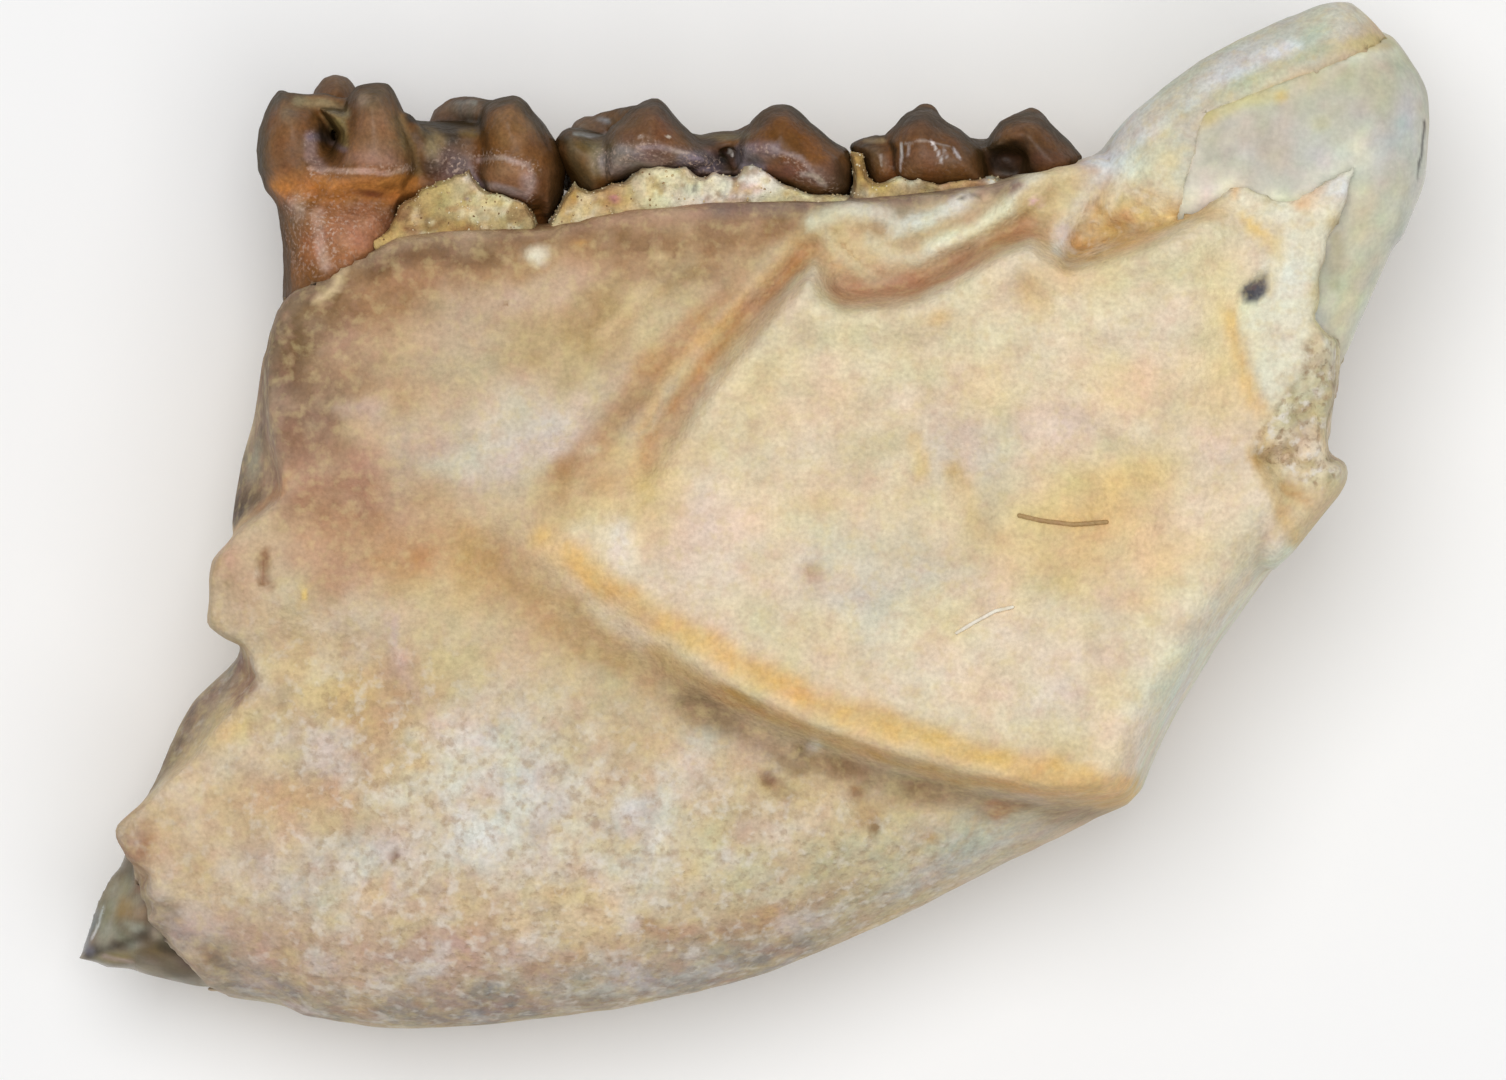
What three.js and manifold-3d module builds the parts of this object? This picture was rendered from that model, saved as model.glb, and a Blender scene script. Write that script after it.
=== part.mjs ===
// A broken left lower jaw of a small fossil rodent, with three molars, the whole incisor and the
// rock left between the teeth. It lies on its inner side.
// Millimetres. X runs from the broken front to the back, Y from the lower edge up to the molars,
// Z from the inner side, which it rests on, out to the cheek side.

import * as THREE from 'three';
import { mergeVertices } from 'three/addons/utils/BufferGeometryUtils.js';
import Module from 'manifold-3d';

const wasm = await Module();
wasm.setup();

// ---------------------------------------------------------------- driving dimensions

const SOCKET_GAP = 0.05; // free space between a tooth or the rock and what holds it
const BONE_STEPS = [0.28, 0.28, 0.38]; // facet sizes along X, Y and Z
const MOLAR_STEPS = [0.17, 0.17, 0.22];
const ROCK_STEPS = [0.26, 0.2, 0.34];
const SMOOTHING_PASSES = 2;

const EDGE_ROUND = { lower: 1.05, upper: 0.3, front: 0.1 }; // how far in each edge rounds over
const MID_HEIGHT = { lowerEdge: 1.35, perUp: 0.05, backRise: 0.1 }; // where the outline is widest

// Cheek side: its height above the rest, with the swellings and slopes that change it.
const CHEEK = {
  height: 2.46,
  middle: { y: 0.4, half: 1.6, rise: 0.24 },
  overIncisor: { y: -2.3, half: 0.9, rise: 0.12 },
  frontSlope: { from: -2.6, to: -4.6, drop: 0.16 },
  socketSlope: { from: 1.6, to: 2.5, drop: 0.1 },
};

// Inner side: the flat worn patch that the jaw lies on, and how the bone swells up beyond it.
const REST_FACE = { x: -0.2, y: -0.6, halfX: 2.5, halfY: 1.65 };
const INNER = {
  hidden: 0.12,
  swelling: { height: 0.5, rate: 0.25 },
  overIncisor: { depth: 0.8, half: 0.45, drop: 0.1 },
  muscleGroove: { y: 1.55, half: 0.3, rise: 0.12, from: -3.5, to: -2.0 },
  backRise: 0.75,
};

// Lower edge, from the broken front round below the incisor to the small knob at the back.
const LOWER_EDGE = [
  [-5.6, -3.3], [-4.15, -3.62], [-3.73, -3.73], [-3.46, -3.85], [-2.96, -3.95], [-2.65, -3.96],
  [-2.0, -3.92], [-1.04, -3.8], [-0.42, -3.67], [0.12, -3.52], [0.65, -3.3], [1.27, -3.02],
  [1.88, -2.7], [2.35, -2.43], [2.85, -2.05], [3.2, -1.6], [3.54, -1.03], [3.92, -0.5],
  [4.32, -0.03], [4.54, 0.38], [5.2, 1.6],
];

// Upper edge: along the tooth sockets, up over the thin wall behind the incisor's base, and down.
const UPPER_EDGE = [
  [-4.6, 1.2], [-3.62, 1.73], [-3.35, 1.87], [-2.96, 2.08], [-2.73, 2.2], [-2.35, 2.23],
  [-1.58, 2.26], [-1.04, 2.39], [-0.42, 2.45], [0.73, 2.47], [1.35, 2.5], [1.88, 2.6],
  [2.46, 2.74], [2.66, 2.79], [2.81, 3.01], [3.12, 3.27], [3.42, 3.5], [3.73, 3.67],
  [4.19, 3.87], [4.46, 3.96], [4.59, 3.94], [4.72, 3.84], [4.85, 3.6], [4.86, 3.2],
  [4.78, 2.7], [4.6, 2.1], [4.42, 1.5], [4.32, 1.0], [4.3, 0.62], [4.38, 0.46], [4.5, 0.43],
  [5.4, -0.4],
];

// Broken front edge of the cheek side, and of the deeper bone behind it.
const FRONT_EDGE = [
  [-3.5, 2.4], [-3.62, 1.73], [-3.76, 1.35], [-3.79, 0.89], [-3.7, 0.4], [-3.65, 0.16],
  [-3.96, -0.07], [-4.2, -0.3], [-4.2, -0.65], [-4.25, -0.85], [-3.94, -1.05], [-3.86, -1.25],
  [-4.19, -1.65], [-4.6, -2.08], [-4.88, -2.36], [-4.88, -2.52], [-4.7, -2.75], [-4.7, -2.98],
  [-4.44, -3.3], [-4.1, -3.7], [-3.9, -4.4],
];
const DEEP_FRONT_EDGE = [
  [-3.5, 2.4], [-3.62, 1.73], [-3.8, 1.1], [-3.94, 0.39], [-4.03, 0.0], [-3.98, -0.5],
  [-3.94, -1.05], [-4.2, -1.3], [-4.38, -1.5], [-4.65, -2.07], [-4.86, -2.34], [-4.84, -2.55],
  [-4.6, -2.95], [-4.35, -3.4], [-4.1, -3.7], [-3.9, -4.4],
];
const DEEP_EDGE_HEIGHT = [1.5, 2.1]; // the front edge changes from deep to cheek side between these

// Plate of bone that the jaw muscle held on to, raised from the cheek side.
const PLATE_FRONT = [-1.65, -0.27];
const PLATE_CREST = [[-1.19, -0.57], [-0.81, -0.88], [-0.42, -1.11], [0.35, -1.5], [1.12, -1.77],
  [1.88, -2.0], [2.93, -2.21]];
const PLATE_BACK = [[3.1, -1.77], [3.38, -1.27], [3.73, -0.74], [4.1, -0.24], [3.92, 0.15],
  [3.82, 0.47], [4.0, 0.68], [3.84, 0.89], [3.68, 1.45], [3.62, 1.97], [3.5, 2.25]];
const PLATE_TOP = [[2.98, 2.12], [2.39, 1.93], [1.81, 1.92], [1.3, 1.68], [0.69, 1.62]];
const PLATE_RIDGE = [[0.35, 1.97], [-0.04, 1.5], [-0.42, 1.04], [-0.81, 0.58], [-1.12, 0.2]];
const PLATE = { front: 2.84, rise: 0.08, hollow: 0.22, rim: 0.1, bevel: 0.2, edgeRound: 0.3 };

// Grooves and ridges of the cheek side: a path, a half width and a height (negative is a groove).
const RELIEF_LINES = [
  { path: [[-1.1, 0.42], [-0.62, 0.95], [-0.25, 1.5], [0.2, 2.0]], half: 0.2, rise: -0.24 },
  { path: [[0.6, 1.72], [1.22, 1.8], [1.58, 1.95], [2.1, 2.2]], half: 0.19, rise: -0.3 },
  { path: [[0.45, 2.2], [1.0, 2.28], [1.5, 2.25], [1.95, 2.42]], half: 0.2, rise: 0.12 },
  { path: [[2.1, 2.2], [2.35, 2.45]], half: 0.24, rise: 0.22 },
  { path: [[2.55, 2.15], [3.0, 2.25]], half: 0.22, rise: -0.32 },
  { path: [[-0.45, -1.45], [0.4, -1.85], [1.2, -2.1]], half: 0.3, rise: -0.12 },
  { path: [[-3.9, 0.2], [-3.2, 0.9], [-2.4, 1.2]], half: 0.5, rise: -0.1 },
  { path: [[-4.0, -1.1], [-3.3, -1.0], [-2.8, -0.9]], half: 0.3, rise: -0.12 },
];

// Cheek wall over the incisor's base: beyond this ragged edge the wall is lost.
const WALL_EDGE = [
  [1.4, 3.4], [2.3, 2.62], [2.62, 2.52], [3.0, 2.5], [3.5, 2.32], [3.95, 2.5], [4.2, 2.36],
  [4.5, 2.62], [4.62, 2.5], [4.46, 2.05], [4.34, 1.55], [4.4, 1.3], [4.1, 0.85], [4.0, 0.62],
  [4.3, 0.3], [5.2, 0.3],
];
const WALL_HEIGHT = 3.04;
const BACKING_HEIGHT = 2.2; // cheek face of the bone that is left behind the incisor's base

// Collar of bone round the incisor's open end, level with the tooth.
const COLLAR = [
  [2.58, 2.62], [2.65, 2.97], [3.12, 3.35], [3.73, 3.77], [4.35, 4.04], [4.65, 4.04],
  [4.96, 3.61], [4.33, 3.52], [3.81, 3.29], [3.33, 3.01], [3.08, 2.73], [2.98, 2.39], [2.73, 2.35],
];
const COLLAR_HEIGHT = 2.72;

// Incisor: centre line with its height, half depth (towards the arc's centre) and half width.
const INCISOR_LINE = [
  { at: [-5.7, -2.58, 1.3], depth: 0.7, width: 0.6 },
  { at: [-4.9, -2.75, 1.3], depth: 0.7, width: 0.6 },
  { at: [-4.2, -2.92, 1.3], depth: 0.7, width: 0.6 },
  { at: [-3.4, -3.03, 1.28], depth: 0.69, width: 0.6 },
  { at: [-2.6, -3.06, 1.25], depth: 0.69, width: 0.6 },
  { at: [-1.6, -3.0, 1.22], depth: 0.69, width: 0.6 },
  { at: [-0.7, -2.83, 1.2], depth: 0.69, width: 0.6 },
  { at: [0.25, -2.5, 1.2], depth: 0.69, width: 0.6 },
  { at: [1.1, -2.08, 1.25], depth: 0.69, width: 0.6 },
  { at: [1.9, -1.56, 1.35], depth: 0.7, width: 0.6 },
  { at: [2.5, -1.02, 1.5], depth: 0.7, width: 0.61 },
  { at: [3.0, -0.4, 1.7], depth: 0.7, width: 0.62 },
  { at: [3.38, 0.27, 1.95], depth: 0.71, width: 0.63 },
  { at: [3.66, 0.9, 2.12], depth: 0.74, width: 0.64 },
  { at: [3.88, 1.6, 2.22], depth: 0.78, width: 0.65 },
  { at: [4.07, 2.3, 2.25], depth: 0.86, width: 0.66 },
  { at: [4.17, 2.82, 2.24], depth: 1.01, width: 0.64 },
  { at: [4.28, 3.25, 2.2], depth: 0.88, width: 0.56 },
  { at: [4.4, 3.7, 2.15], depth: 0.74, width: 0.45 },
];
const INCISOR_STATIONS = 26;
const INCISOR_SIDES = 12;
const INCISOR_TIP = [-5.18, -3.36, 1.3]; // lowest, foremost point of the break
const BREAK_FACES = [[-0.68, 0.46, 0.57], [-0.87, 0.11, -0.47]]; // outward normals of its two faces
const BASE_END = { at: [4.05, 3.4, 2.2], normal: [-0.35, 0.93, 0.12] }; // oblique open end

// Molars. A lobe or a root is a tapering column: base point and radius, tip point and radius. The
// crown ends at its neck, a line from the front of the span to its back; the roots go on below.
const MOLARS = {
  molar_first: {
    span: [-3.87, -1.47],
    neck: [2.34, 2.58],
    body: { at: [-2.62, 2.72, 1.72], half: [1.0, 0.28, 0.66] },
    lobes: [
      { base: [-3.48, 2.58, 1.74], wide: 0.38, tip: [-3.6, 3.07, 1.75], narrow: 0.19 },
      { base: [-2.92, 2.58, 2.1], wide: 0.42, tip: [-2.9, 3.08, 2.08], narrow: 0.22 },
      { base: [-3.2, 2.65, 1.34], wide: 0.38, tip: [-3.23, 3.14, 1.3], narrow: 0.2 },
      { base: [-1.92, 2.6, 2.1], wide: 0.4, tip: [-1.88, 3.0, 2.08], narrow: 0.19 },
      { base: [-2.25, 2.65, 1.34], wide: 0.38, tip: [-2.27, 2.98, 1.3], narrow: 0.2 },
      { base: [-1.7, 2.6, 1.7], wide: 0.24, tip: [-1.6, 2.78, 1.75], narrow: 0.14 },
    ],
    roots: [
      { base: [-3.2, 2.45, 1.74], wide: 0.4, tip: [-3.12, 1.75, 1.7], narrow: 0.2 },
      { base: [-1.84, 2.55, 1.72], wide: 0.28, tip: [-1.8, 1.8, 1.7], narrow: 0.16 },
      { base: [-1.68, 2.65, 2.1], wide: 0.22, tip: [-1.64, 2.42, 2.08], narrow: 0.13 },
    ],
  },
  molar_second: {
    span: [-1.41, 0.7],
    neck: [2.58, 2.64],
    body: { at: [-0.36, 2.78, 1.72], half: [0.95, 0.22, 0.64] },
    lobes: [
      { base: [-1.14, 2.64, 1.96], wide: 0.28, tip: [-1.17, 2.82, 1.95], narrow: 0.18 },
      { base: [-0.78, 2.62, 2.1], wide: 0.4, tip: [-0.81, 2.98, 2.08], narrow: 0.19 },
      { base: [-1.06, 2.68, 1.34], wide: 0.36, tip: [-1.17, 2.88, 1.3], narrow: 0.18 },
      { base: [0.22, 2.6, 2.1], wide: 0.4, tip: [0.23, 2.93, 2.08], narrow: 0.19 },
      { base: [-0.1, 2.66, 1.34], wide: 0.36, tip: [-0.15, 2.78, 1.3], narrow: 0.18 },
      { base: [0.46, 2.6, 1.8], wide: 0.24, tip: [0.54, 2.72, 1.8], narrow: 0.14 },
    ],
    roots: [
      { base: [-1.0, 2.6, 1.72], wide: 0.28, tip: [-0.98, 1.95, 1.7], narrow: 0.16 },
      { base: [0.3, 2.6, 1.72], wide: 0.28, tip: [0.32, 1.95, 1.7], narrow: 0.16 },
    ],
  },
  molar_third: {
    span: [0.77, 2.5],
    neck: [2.54, 2.62],
    body: { at: [1.58, 2.74, 1.7], half: [0.76, 0.2, 0.56] },
    lobes: [
      { base: [1.04, 2.64, 1.9], wide: 0.26, tip: [1.0, 2.74, 1.88], narrow: 0.17 },
      { base: [1.36, 2.6, 2.02], wide: 0.36, tip: [1.32, 2.92, 2.0], narrow: 0.18 },
      { base: [1.12, 2.64, 1.4], wide: 0.32, tip: [1.08, 2.76, 1.36], narrow: 0.18 },
      { base: [2.08, 2.6, 1.93], wide: 0.35, tip: [2.13, 2.89, 1.9], narrow: 0.18 },
      { base: [1.8, 2.64, 1.42], wide: 0.3, tip: [1.78, 2.76, 1.4], narrow: 0.18 },
    ],
    roots: [
      { base: [1.2, 2.6, 1.7], wide: 0.27, tip: [1.22, 2.1, 1.68], narrow: 0.15 },
      { base: [2.02, 2.6, 1.7], wide: 0.27, tip: [2.08, 2.1, 1.68], narrow: 0.15 },
    ],
  },
};
const LOBE_BLEND = 0.22;

// Rock between the teeth: a slab along the sockets and a wedge that climbs between two lobes.
const ROCKS = {
  matrix_front: {
    slab: { at: [-2.24, 2.39, 1.72], half: [0.52, 0.18, 0.73], slope: 0.02 },
    wedge: { base: [-2.42, 2.5, 2.24], wide: 0.16, tip: [-2.44, 2.84, 2.22], narrow: 0.09 },
  },
  matrix_middle: {
    slab: { at: [-0.41, 2.52, 1.72], half: [1.05, 0.16, 0.74], slope: 0.07 },
    wedge: { base: [-1.36, 2.44, 2.14], wide: 0.14, tip: [-1.4, 2.6, 2.14], narrow: 0.07 },
  },
  matrix_rear: {
    slab: { at: [1.48, 2.5, 1.72], half: [0.8, 0.15, 0.66], slope: 0.08 },
    wedge: { base: [0.8, 2.5, 2.2], wide: 0.17, tip: [0.76, 2.74, 2.22], narrow: 0.1 },
  },
};

const FINISH = {
  jaw_bone: { color: 0xd9bd97, roughness: 0.55 },
  incisor: { color: 0xc9c4b4, roughness: 0.3 },
  molar: { color: 0x7a4a2b, roughness: 0.25 },
  matrix: { color: 0xe0cf9a, roughness: 0.95 },
};

// ---------------------------------------------------------------- small mathematics

const { clamp, lerp, smoothstep } = THREE.MathUtils;
const bell = (t) => Math.exp(-t * t);

// Smooth union of two fields over a blend width.
function melt(a, b, width) {
  const h = clamp(0.5 + (0.5 * (b - a)) / width, 0, 1);
  return lerp(b, a, h) - width * h * (1 - h);
}

function segmentDistance(x, y, a, b) {
  const dx = b[0] - a[0];
  const dy = b[1] - a[1];
  const t = clamp(((x - a[0]) * dx + (y - a[1]) * dy) / (dx * dx + dy * dy), 0, 1);
  return Math.hypot(x - a[0] - t * dx, y - a[1] - t * dy);
}

function pathDistance(path, x, y) {
  let nearest = Infinity;
  for (let i = 1; i < path.length; i++) {
    nearest = Math.min(nearest, segmentDistance(x, y, path[i - 1], path[i]));
  }
  return nearest;
}

function insidePolygon(polygon, x, y) {
  let inside = false;
  polygon.forEach(([x1, y1], i) => {
    const [x0, y0] = polygon.at(i - 1);
    if (y1 > y !== y0 > y && x < ((x0 - x1) * (y - y1)) / (y0 - y1) + x1) inside = !inside;
  });
  return inside;
}

// Depth inside an edge (negative outside), where far closes the edge on the bone's side.
function edgeDepth(path, far) {
  const region = [...path, ...far];
  return (x, y) => pathDistance(path, x, y) * (insidePolygon(region, x, y) ? 1 : -1);
}

// Column that tapers from its base to its tip.
function columnField(column, x, y, z) {
  const { base, wide, tip, narrow } = column;
  const axis = tip.map((value, i) => value - base[i]);
  const from = [x - base[0], y - base[1], z - base[2]];
  const length2 = axis.reduce((sum, value) => sum + value * value, 0);
  const t = clamp(from.reduce((sum, value, i) => sum + value * axis[i], 0) / length2, 0, 1);
  return Math.hypot(...from.map((value, i) => value - t * axis[i])) - lerp(wide, narrow, t);
}

function ellipsoidField({ at, half }, x, y, z) {
  const scaled = [x, y, z].map((value, i) => (value - at[i]) / half[i]);
  return (Math.hypot(...scaled) - 1) * Math.min(...half);
}

// ---------------------------------------------------------------- meshes from fields

// A grid cell: its eight corners, its twelve edges as pairs of corners, and its six faces.
const CORNERS = [0, 1, 2, 3, 4, 5, 6, 7].map((n) => [n & 1, (n >> 1) & 1, (n >> 2) & 1]);
const CELL_EDGES = [];
for (let n = 0; n < 8; n++) {
  for (const bit of [1, 2, 4]) if (!(n & bit)) CELL_EDGES.push([n, n | bit]);
}
const FACES = [1, 2, 4].flatMap((bit) => [0, bit].map(
  (side) => CORNERS.map((_, n) => n).filter((n) => (n & bit) === side),
));
const edgeNumber = (a, b) => CELL_EDGES.findIndex(([p, q]) => p === Math.min(a, b) && q === Math.max(a, b));

// Groups a cell's crossed edges into sheets of surface. Where a face is crossed four times, the
// two crossings next to the same inner corner belong together.
function sheetsOf(inner) {
  const sheet = CELL_EDGES.map(([a, b], n) => (inner[a] === inner[b] ? -1 : n));
  const join = (m, n) => {
    const [keep, drop] = [sheet[m], sheet[n]];
    sheet.forEach((value, i) => {
      if (value === drop) sheet[i] = keep;
    });
  };
  for (const face of FACES) {
    const rim = CELL_EDGES.map((_, n) => n).filter(
      (n) => sheet[n] >= 0 && CELL_EDGES[n].every((corner) => face.includes(corner)),
    );
    if (rim.length === 2) join(...rim);
    if (rim.length !== 4) continue;
    for (const corner of face.filter((n) => inner[n])) {
      join(...rim.filter((n) => CELL_EDGES[n].includes(corner)));
    }
  }
  return sheet;
}

// Closed mesh around the part of space where the field is negative: one vertex for each sheet of
// surface in a grid cell, moved on to the surface along the field's slope.
function skin(field, low, high, steps) {
  const counts = low.map((value, n) => Math.ceil((high[n] - value) / steps[n]) + 1);
  const index = (i, j, k) => i + counts[0] * (j + counts[1] * k);
  const values = new Float64Array(counts[0] * counts[1] * counts[2]);
  const eachCell = (first, visit) => {
    for (let k = first; k < counts[2] - 1; k++) {
      for (let j = first; j < counts[1] - 1; j++) {
        for (let i = first; i < counts[0] - 1; i++) visit(i, j, k);
      }
    }
  };
  for (let k = 0; k < counts[2]; k++) {
    for (let j = 0; j < counts[1]; j++) {
      for (let i = 0; i < counts[0]; i++) {
        const place = [i, j, k].map((n, axis) => low[axis] + n * steps[axis]);
        values[index(i, j, k)] = field(...place);
      }
    }
  }

  const points = [];
  const vertices = new Map(); // cell to the vertex of each of its crossed edges
  eachCell(0, (i, j, k) => {
    const cornerValues = CORNERS.map((c) => values[index(i + c[0], j + c[1], k + c[2])]);
    const inner = cornerValues.map((value) => value < 0);
    if (inner.every((value) => value === inner[0])) return;
    const sheet = sheetsOf(inner);
    const vertexOfEdge = new Array(CELL_EDGES.length).fill(-1);
    for (const name of new Set(sheet.filter((value) => value >= 0))) {
      const members = sheet.map((_, n) => n).filter((n) => sheet[n] === name);
      const sum = [0, 0, 0];
      for (const n of members) {
        const [a, b] = CELL_EDGES[n];
        const t = cornerValues[a] / (cornerValues[a] - cornerValues[b]);
        for (let axis = 0; axis < 3; axis++) sum[axis] += lerp(CORNERS[a][axis], CORNERS[b][axis], t);
        vertexOfEdge[n] = points.length;
      }
      const start = [i, j, k].map((n, axis) => low[axis] + (n + sum[axis] / members.length) * steps[axis]);
      points.push(start);
    }
    vertices.set(index(i, j, k), vertexOfEdge);
  });

  const triangles = [];
  const gap = (a, b) => Math.hypot(...points[a].map((value, n) => value - points[b][n]));
  const addQuad = (quad, turned) => {
    const [p, q, r, s] = turned ? quad.reverse() : quad;
    if (gap(p, r) < gap(q, s)) triangles.push(p, q, r, p, r, s);
    else triangles.push(q, r, s, q, s, p);
  };
  // The four cells round a grid edge, and which corner of each the edge starts from.
  const AROUND = [
    [[0, -1, -1], [0, 0, -1], [0, 0, 0], [0, -1, 0]],
    [[-1, 0, -1], [-1, 0, 0], [0, 0, 0], [0, 0, -1]],
    [[-1, -1, 0], [0, -1, 0], [0, 0, 0], [-1, 0, 0]],
  ];
  eachCell(1, (i, j, k) => {
    const here = values[index(i, j, k)] < 0;
    AROUND.forEach((cells, axis) => {
      const next = [i, j, k].map((n, m) => n + (m === axis ? 1 : 0));
      if (here === values[index(...next)] < 0) return;
      const quad = cells.map(([di, dj, dk]) => {
        const corner = -di - 2 * dj - 4 * dk;
        return vertices.get(index(i + di, j + dj, k + dk))[edgeNumber(corner, corner | (1 << axis))];
      });
      addQuad(quad, !here);
    });
  });
  for (let pass = 0; pass < SMOOTHING_PASSES; pass++) {
    relax(points, triangles);
    points.forEach((point, n) => {
      points[n] = settle(field, point, Math.min(...steps));
    });
  }
  relax(points, triangles);
  return { points, triangles };
}

// Moves every vertex half of the way to the middle of its neighbours.
function relax(points, triangles) {
  const sums = points.map(() => [0, 0, 0]);
  const neighbours = points.map(() => 0);
  for (let t = 0; t < triangles.length; t++) {
    const here = triangles[t];
    const next = points[triangles[t % 3 === 2 ? t - 2 : t + 1]];
    sums[here] = sums[here].map((value, axis) => value + next[axis]);
    neighbours[here] += 1;
  }
  points.forEach((point, n) => {
    points[n] = point.map((value, axis) => lerp(value, sums[n][axis] / neighbours[n], 0.5));
  });
}

// Moves a point towards the surface in a few short steps, and never far from its own cell.
function settle(field, point, step) {
  const reach = 0.45 * step;
  const h = 0.02 * step;
  const start = [...point];
  let [x, y, z] = point;
  for (let pass = 0; pass < 3; pass++) {
    const value = field(x, y, z);
    const slope = [
      (field(x + h, y, z) - field(x - h, y, z)) / (2 * h),
      (field(x, y + h, z) - field(x, y - h, z)) / (2 * h),
      (field(x, y, z + h) - field(x, y, z - h)) / (2 * h),
    ];
    const steepness = slope.reduce((sum, s) => sum + s * s, 1e-6);
    [x, y, z] = [x, y, z].map((c, n) => {
      const moved = c - clamp((value * slope[n]) / steepness, -reach, reach);
      return clamp(moved, start[n] - reach, start[n] + reach);
    });
  }
  return [x, y, z];
}

// The same mesh with every vertex moved outwards by a distance.
function swell({ points, triangles }, distance) {
  const normals = points.map(() => new THREE.Vector3());
  const corner = (n) => new THREE.Vector3(...points[n]);
  for (let t = 0; t < triangles.length; t += 3) {
    const [a, b, c] = [0, 1, 2].map((n) => corner(triangles[t + n]));
    const normal = b.clone().sub(a).cross(c.sub(a));
    for (let n = 0; n < 3; n++) normals[triangles[t + n]].add(normal);
  }
  const moved = points.map((point, n) => {
    const shift = normals[n].normalize().multiplyScalar(distance);
    return [point[0] + shift.x, point[1] + shift.y, point[2] + shift.z];
  });
  return { points: moved, triangles };
}

function solidOf({ points, triangles }) {
  return new wasm.Manifold(new wasm.Mesh({
    numProp: 3,
    vertProperties: new Float32Array(points.flat()),
    triVerts: new Uint32Array(triangles),
  }));
}

function solidOfGeometry(geometry) {
  const bare = geometry.index ? geometry.toNonIndexed() : geometry.clone();
  bare.deleteAttribute('normal');
  bare.deleteAttribute('uv');
  const merged = mergeVertices(bare, 1e-4);
  return new wasm.Manifold(new wasm.Mesh({
    numProp: 3,
    vertProperties: merged.attributes.position.array,
    triVerts: new Uint32Array(merged.index.array),
  }));
}

function geometryOf(solid) {
  const { numProp, vertProperties, triVerts } = solid.getMesh();
  const geometry = new THREE.BufferGeometry();
  const positions = new Float32Array((vertProperties.length / numProp) * 3);
  for (let v = 0; v * numProp < vertProperties.length; v++) {
    for (let n = 0; n < 3; n++) positions[3 * v + n] = vertProperties[v * numProp + n];
  }
  geometry.setAttribute('position', new THREE.BufferAttribute(positions, 3));
  geometry.setIndex(new THREE.BufferAttribute(new Uint32Array(triVerts), 1));
  geometry.computeVertexNormals();
  return geometry;
}

// ---------------------------------------------------------------- jaw bone

const PLATE_OUTLINE = [PLATE_FRONT, ...PLATE_CREST, ...PLATE_BACK, ...PLATE_TOP, ...PLATE_RIDGE];
const plateDepth = edgeDepth([...PLATE_OUTLINE, PLATE_FRONT], []);
const lowerDepth = edgeDepth(LOWER_EDGE, [[9, 9], [-9, 9]]);
const upperDepth = edgeDepth(UPPER_EDGE, [[5.4, -9], [-9, -9]]);
const frontDepth = edgeDepth(FRONT_EDGE, [[9, -9], [9, 9]]);
const deepFrontDepth = edgeDepth(DEEP_FRONT_EDGE, [[9, -9], [9, 9]]);
const wallDepth = edgeDepth(WALL_EDGE, [[5.2, -9], [-9, -9], [-9, 3.4]]);
const collarDepth = edgeDepth(COLLAR, []);

// How far along the way from the body of the jaw to its back upper end, 0 to 1.
const towardsBack = (x, y) => smoothstep(0.75 * x + 0.66 * y, 2.4, 5.2);

function midHeight(x, y) {
  const { lowerEdge, perUp, backRise } = MID_HEIGHT;
  return lowerEdge + perUp * (y + 3.5) + backRise * towardsBack(x, y);
}

// How far a place is on to the plate, 0 to 1 across its bevelled edge.
const onPlate = (x, y) => smoothstep(plateDepth(x, y), -PLATE.bevel, PLATE.bevel);

function plateHeight(x, y) {
  const hollow = bell((x - 1.5) / 1.4) * bell((y - 0.1) / 1.0);
  const rim = bell((plateDepth(x, y) - 0.2) / 0.24) * smoothstep(x, -1.6, -0.6);
  return PLATE.front + PLATE.rise * (x - PLATE_FRONT[0]) - PLATE.hollow * hollow + PLATE.rim * rim;
}

function cheekHeight(x, y) {
  const { middle, overIncisor, frontSlope, socketSlope } = CHEEK;
  let height = CHEEK.height;
  for (const { y: at, half, rise } of [middle, overIncisor]) height += rise * bell((y - at) / half);
  height -= frontSlope.drop * (1 - smoothstep(x, frontSlope.to, frontSlope.from));
  height -= socketSlope.drop * smoothstep(y, socketSlope.from, socketSlope.to);
  height = lerp(height, plateHeight(x, y), onPlate(x, y));
  height = lerp(height, WALL_HEIGHT, smoothstep(x, 3.2, 3.7));
  for (const { path, half, rise } of RELIEF_LINES) height += rise * bell(pathDistance(path, x, y) / half);
  const backing = lerp(BACKING_HEIGHT, COLLAR_HEIGHT, smoothstep(collarDepth(x, y), -0.14, 0.06));
  return lerp(backing, height, smoothstep(wallDepth(x, y), -0.1, 0.1));
}

function restHeight(x, y) {
  const across = (x - REST_FACE.x) / REST_FACE.halfX;
  const up = (y - REST_FACE.y) / REST_FACE.halfY;
  const beyond = across * across + up * up - 1;
  const { hidden, swelling, overIncisor, muscleGroove, backRise } = INNER;
  let height = beyond < 0
    ? hidden * beyond
    : swelling.height * (1 - Math.exp(-swelling.rate * beyond));
  height -= overIncisor.drop * bell((lowerDepth(x, y) - overIncisor.depth) / overIncisor.half);
  height += muscleGroove.rise * bell((y - muscleGroove.y) / muscleGroove.half)
    * smoothstep(x, muscleGroove.from, muscleGroove.to);
  return Math.max(0, height + backRise * towardsBack(x, y));
}

// Rounded slab between two heights, with each edge rounding over its own width.
function slabField(z, middle, top, bottom, roundings) {
  const half = Math.max(0.2, z > middle ? top - middle : middle - bottom);
  const edge = roundings.reduce((sum, [depth, width]) => sum + Math.max(0, 1 - depth / width) ** 2, 0);
  return half * (Math.sqrt(edge + ((z - middle) / half) ** 2) - 1);
}

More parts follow.
